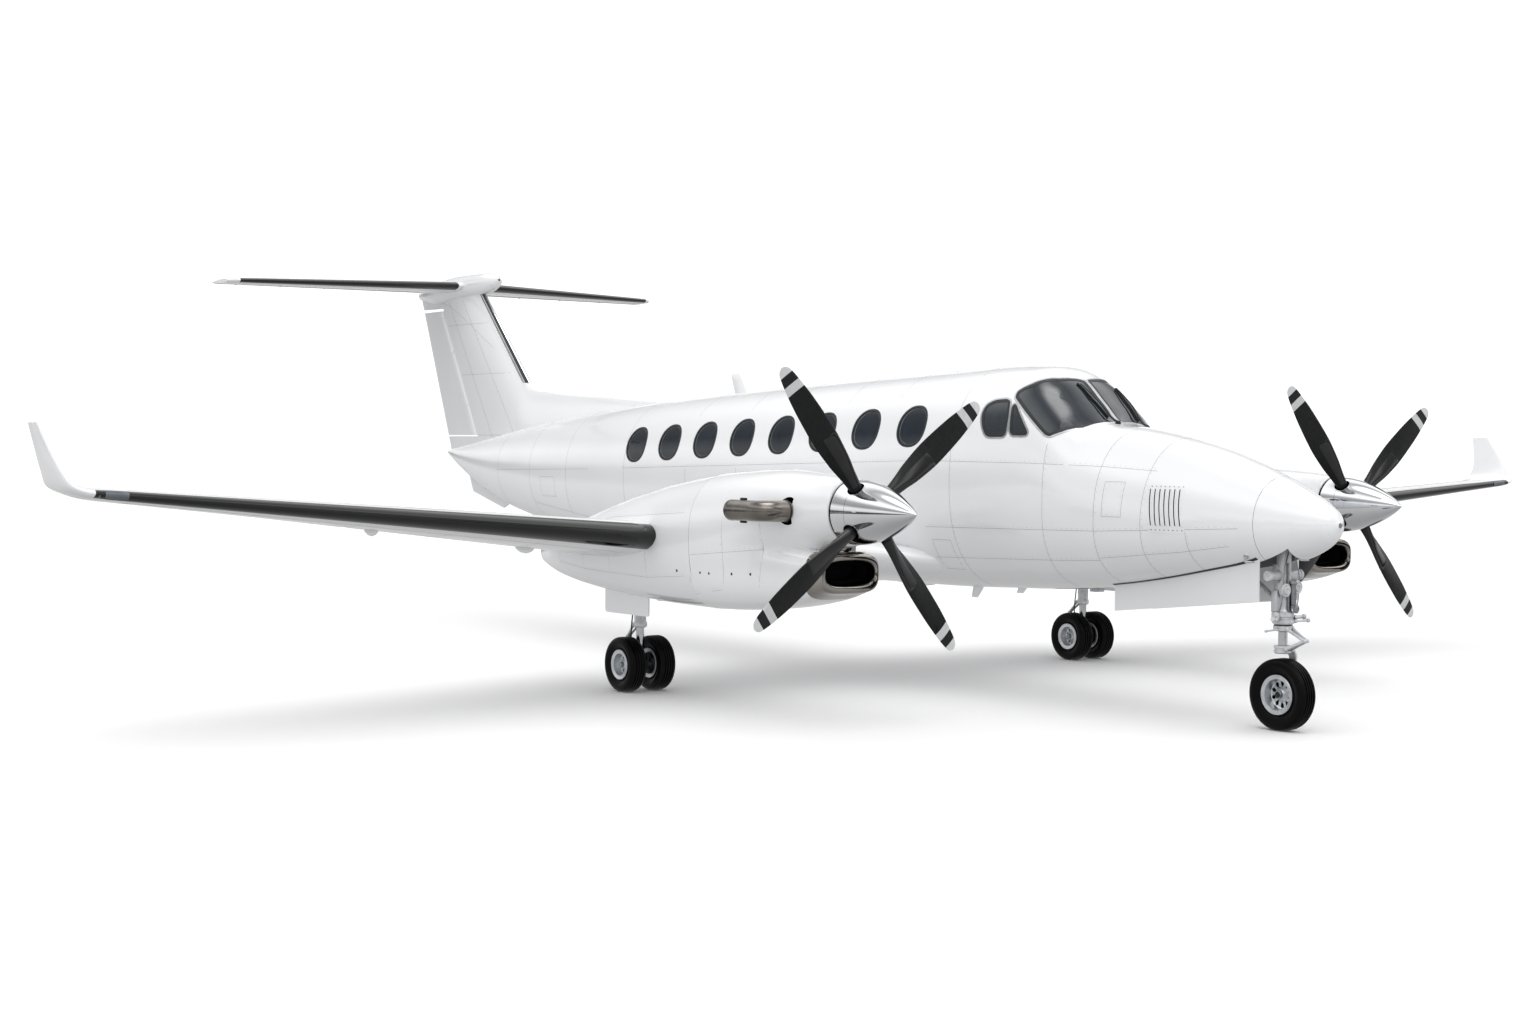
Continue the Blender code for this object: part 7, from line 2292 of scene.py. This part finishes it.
def make_nose_fittings():
    """Louvred vents, pitot heads, wipers and the strip between the windshields."""
    for side_name, side in SIDES.items():
        outline = rounded(((1.452, 1.508), (1.778, 1.508), (1.822, 1.892), (1.496, 1.872)), 0.02)
        shape = bmesh.new()
        add_pane(shape, refined(outline, 0.04), on_side(side), 0.0022, 0.006, rings=5)
        piece(f"louvre_panel_{side_name}", shape, WHITE, sharp=50)
        slots, hoods, screws = bmesh.new(), bmesh.new(), []
        for k in range(LOUVRES["count"]):
            station = LOUVRES["first"] + k * LOUVRES["pitch"]
            path = [body_point(station + 0.042 * u, 1.565 + 0.285 * u, side)
                    for u in (j / 12 for j in range(13))]
            add_ribbon(slots, path, 0.014, 0.0030, 0.004)
            ahead = [(p + Vector((0, -0.013, 0)) + out * 0.001, out) for p, out in path]
            add_ribbon(hoods, ahead, 0.010, 0.0075, 0.006)
        for u in range(8):
            for station, height in ((1.475, 1.530), (1.512, 1.870)):
                screws.append(body_point(station + 0.040 * u, height, side))
        screws = [(p + out * 0.0022, out) for p, out in screws]
        # The slots under the hoods are near black: painted shade in the openings.
        piece(f"louvre_slots_{side_name}", slots, VOID)
        piece(f"louvre_hoods_{side_name}", hoods, WHITE, sharp=50)
        make_fasteners(f"louvre_screws_{side_name}", screws, 0.0055, 0.002, STEEL, sides=8)
        point, out = body_point(1.00, 1.345, side)
        shape = bmesh.new()
        foot, knee = point - out * 0.004, point + out * 0.055
        add_turned(shape, [(0.0, 0.0), (0.024, 0.0), (0.022, 0.007), (0.0, 0.008)], foot, out, 24)
        head = [knee - Vector((0, ahead, 0)) for ahead in (0.015, 0.055, 0.095)]
        add_tube(shape, [foot, point + out * 0.035, *head], [0.013, 0.011, 0.010, 0.009, 0.006], 16)
        piece(f"pitot_head_{side_name}", shape, POLISHED, sharp=50)
        place, foot = on_front(side), 0.085 if side < 0 else 0.33
        arm = []
        for u in spread(0.0, 1.0, 0.1):
            p, out = place(Vector((2.615 + 0.40 * u, foot + (0.045 - foot * 0.35) * u)))
            arm.append(p + out * (0.018 + 0.016 * sin(pi * u)))
        shape = bmesh.new()
        add_tube(shape, arm, [0.009 - 0.004 * j / 10 for j in range(11)], 10)
        p, out = place(Vector((2.605, foot)))
        add_turned(shape, [(0.0, -0.006), (0.022, -0.006), (0.024, 0.006), (0.016, 0.026), (0.0, 0.028)],
                   p, out, 20)
        piece(f"wiper_arm_{side_name}", shape, PLASTIC, sharp=50)
        blade = []
        for u in spread(0.0, 1.0, 0.1):
            p, out = place(Vector((2.72 + 0.31 * u, foot * 0.98 + (0.060 - foot * 0.35) * u)))
            blade.append((p + out * 0.003, out))
        shape = bmesh.new()
        add_ribbon(shape, blade, 0.012, 0.012, 0.002)
        piece(f"wiper_blade_{side_name}", shape, SEAL_AND_SHADE_BLACK)
    place, path = on_front(1.0), []
    for u in (j / 14 for j in range(15)):
        p, out = place(Vector((2.635 + 0.445 * u, 0.0005)))
        path.append((Vector((0, p.y, p.z)), Vector((0, out.y, out.z)).normalized()))
    shape = bmesh.new()
    add_ribbon(shape, path, 0.034, 0.004, 0.006)
    piece("windshield_post", shape, BARE_FRAME, sharp=50)


def make_bay_shade_lines():
    """A black ribbon along the mouth of the nose wheel's bay, above each door: painted shade of the gap
    between the door and the belly.
    """
    for side_name, side in SIDES.items():
        path = []
        for station in spread(0.93, 2.46, 0.05):
            row = section_at(FUSELAGE, station)
            low, high = -pi / 2, 0.0
            for _ in range(24):
                middle = (low + high) / 2
                low, high = (middle, high) if hull_point(row, middle).x < 0.240 else (low, middle)
            path.append(body_point(station, hull_point(row, low).z, side))
        shape = bmesh.new()
        add_ribbon(shape, path, 0.024, 0.004, 0.004)
        piece(f"nose_bay_seal_{side_name}", shape, SEAL_AND_SHADE_BLACK)


def make_top_fittings():
    """Antennas, beacon, crown fairings, belly blades and drain mast, jack pads and tail fittings."""
    shape = bmesh.new()
    crown = section_at(FUSELAGE, 8.13)[3]
    add_blade(shape, at(0, 8.13, crown - 0.01), at(0, 8.25, crown + 0.20), 0.235, 0.155, 0.028)
    for x, foot, tip, drop, chords, thick in ((0, 4.40, 4.46, 0.10, (0.15, 0.09), 0.022),
                                              (0.10, 3.92, 3.97, 0.055, (0.12, 0.09), 0.020),
                                              (0, 8.70, 8.78, 0.13, (0.16, 0.08), 0.022)):
        low = section_at(FUSELAGE, foot)[1]
        add_blade(shape, at(x, foot, low + 0.01), at(x, tip, low - drop), *chords, thick)
    for station, half, high, wide in ((4.69, 0.11, 0.028, 0.045), (5.58, 0.09, 0.020, 0.040),
                                      (7.51, 0.10, 0.022, 0.040), (9.05, 0.08, 0.020, 0.035)):
        add_bump(shape, station, half, high, wide)
    for station, half, high, wide in ((5.3, 0.30, 0.030, 0.060), (7.9, 0.12, 0.026, 0.045)):
        add_bump(shape, station, half, high, wide, under=True)
    piece("antennas_and_fairings", shape, WHITE, sharp=50)
    shape = bmesh.new()
    add_turned(shape, [(0.0, 0.0), (0.036, 0.0), (0.038, 0.006), (0.032, 0.030), (0.018, 0.048),
                       (0.0, 0.054)],
               at(0, 6.35, section_at(FUSELAGE, 6.35)[1] + 0.004), (0, 0, -1), 32)
    piece("belly_beacon_lens", shape, RED_LENS, sharp=50)
    shape = bmesh.new()
    add_box(shape, at(0, 2.90, 0.980), (0.090, 0.090, 0.050), bevel=0.006)
    for side in SIDES.values():
        add_box(shape, at(side * 2.00, 5.50, 1.10), (0.090, 0.090, 0.080), bevel=0.006)
    piece("jack_pads", shape, BARE_FRAME, sharp=40)
    shape = bmesh.new()
    tip = BULLET[0]
    add_turned(shape, [(0.0, -0.006), (0.012, -0.003), (0.024, 0.010), (0.036, 0.032), (0.044, 0.060),
                       (0.0, 0.060)],
               at(0, tip[0], tip[2]), (0, 1, 0), 32)
    piece("bullet_nose_lamp", shape, DARK_STEEL, sharp=50)
    shape = bmesh.new()
    add_turned(shape, [(0.0, 0.0), (0.028, 0.0), (0.028, 0.03), (0.018, 0.05), (0.0, 0.056)],
               at(0, 15.345, 4.085), (0, 1, 0), 24)
    piece("tail_lamp_lens", shape, LENS, sharp=50)
    shape = bmesh.new()
    for u in (0.30, 0.62, 0.84):
        nose, aft, up = fin_at(u)
        for way in (-1, 1):
            hinge = nose + aft * 0.705 + Vector((way * up.length * foil_height(0.705), 0, 0))
            add_box(shape, hinge, (0.012, 0.075, 0.034), bevel=0.005)
    piece("rudder_hinge_fairings", shape, WHITE, sharp=50)


make_skin_lines()
make_wing_lines()
make_fin_lines()
make_nose_fittings()
make_bay_shade_lines()
make_top_fittings()


# ------------------------------------------------------------ camera, light and floor

# Brightness of the surroundings, from straight below to straight above, as shares of the strength
SKY = ((-1.0, 0.24), (-0.5, 0.28), (-0.12, 0.44), (0.0, 0.60), (0.24, 0.60), (0.34, 0.40), (0.62, 0.40),
       (0.80, 0.66), (1.0, 0.80))
# What the gloss shows: a grey floor, a dark line at the horizon, soft boxes above it
REFLECTED_SKY = ((-1.0, 0.20), (-0.35, 0.30), (-0.08, 0.36), (-0.03, 0.04), (0.04, 0.03), (0.10, 0.46),
                 (0.22, 0.58), (0.34, 0.20), (0.50, 0.28), (0.66, 0.90), (0.80, 0.62), (0.90, 0.28),
                 (0.945, 0.42), (0.968, 1.3), (0.985, 2.4), (1.0, 2.6))
SKY_STRENGTH = 2.0
# The camera as fitted to the photograph: place, turns in degrees and lens in millimetres
CAMERA = {"place": (-13.136, -18.376, 2.186), "turns": (-35.871, -1.775, 0.373), "lens": 51.55}
FLOOR_REACH = 150
# The soft lamp above: its strength, its width in degrees and the way its light goes
SUN = {"strength": 0.42, "width": 45, "way": (0.35, 0.65, -1.0)}


def make_stage():
    """A pale floor, and soft light from all round."""
    yaw, pitch, roll = [radians(angle) for angle in CAMERA["turns"]]
    ahead = Vector((sin(-yaw) * cos(pitch), cos(-yaw) * cos(pitch), sin(pitch)))
    right = ahead.cross(Vector((0, 0, 1))).normalized()
    up = right.cross(ahead)
    across = right * cos(roll) + up * sin(roll)
    above = up * cos(roll) - right * sin(roll)
    camera = bpy.data.cameras.new("camera")
    camera.sensor_width = 36.0
    camera.lens = CAMERA["lens"]
    camera.clip_end = 500.0
    holder = bpy.data.objects.new("camera", camera)
    bpy.context.scene.collection.objects.link(holder)
    turn = Matrix((across, above, -ahead)).transposed()
    holder.matrix_world = Matrix.Translation(CAMERA["place"]) @ turn.to_4x4()
    bpy.context.scene.camera = holder

    made, tree, shader = new_material("matt_white_studio_floor", "#F7F7F7", 0.9)
    tree.links.new(tint(tree, mottle(tree, 0.2, 0.0, 1.0), "#F6F6F6", "#F8F8F8"),
                   shader.inputs["Base Color"])
    floor = bpy.data.objects.new("floor", loft("floor", [
        [Vector((x, y, 0)) for x in (-FLOOR_REACH, FLOOR_REACH)] for y in (-FLOOR_REACH, FLOOR_REACH)],
        closed=False, caps=False))
    floor.data.materials.append(made)
    bpy.context.scene.collection.objects.link(floor)
    # The airplane's undersides take their light from the dimmer surroundings, not from the floor
    floor.visible_diffuse = False
    floor.visible_glossy = False

    world = bpy.data.worlds.new("studio")
    world.use_nodes = True
    tree = world.node_tree
    parts = add_node(tree, "ShaderNodeSeparateXYZ", {
        "Vector": add_node(tree, "ShaderNodeTexCoord").outputs["Generated"]})
    share = add_node(tree, "ShaderNodeMapRange", {"Value": parts.outputs["Z"], "From Min": -1.0})
    skies = []
    for levels in (SKY, REFLECTED_SKY):
        ramp = add_node(tree, "ShaderNodeValToRGB", {"Fac": share.outputs["Result"]})
        stops = ramp.color_ramp.elements
        for rise, level in levels[1:-1]:
            stops.new((rise + 1) / 2).color = (level, level, level, 1)
        for stop, (_, level) in ((stops[0], levels[0]), (stops[-1], levels[-1])):
            stop.color = (level, level, level, 1)
        skies.append(ramp.outputs["Color"])
    paths = add_node(tree, "ShaderNodeLightPath")
    seen = add_node(tree, "ShaderNodeMix", {0: paths.outputs["Is Glossy Ray"], 6: skies[0], 7: skies[1]},
                    data_type="RGBA")
    background = tree.nodes["Background"]
    tree.links.new(seen.outputs[2], background.inputs["Color"])
    background.inputs["Strength"].default_value = SKY_STRENGTH
    bpy.context.scene.world = world
    bpy.context.scene.view_settings.view_transform = "Standard"
    lamp = bpy.data.lights.new("key", "SUN")
    lamp.energy, lamp.angle = SUN["strength"], radians(SUN["width"])
    holder = bpy.data.objects.new("key", lamp)
    holder.rotation_mode = "QUATERNION"
    holder.rotation_quaternion = Vector(SUN["way"]).to_track_quat("-Z", "Y")
    bpy.context.scene.collection.objects.link(holder)


make_stage()
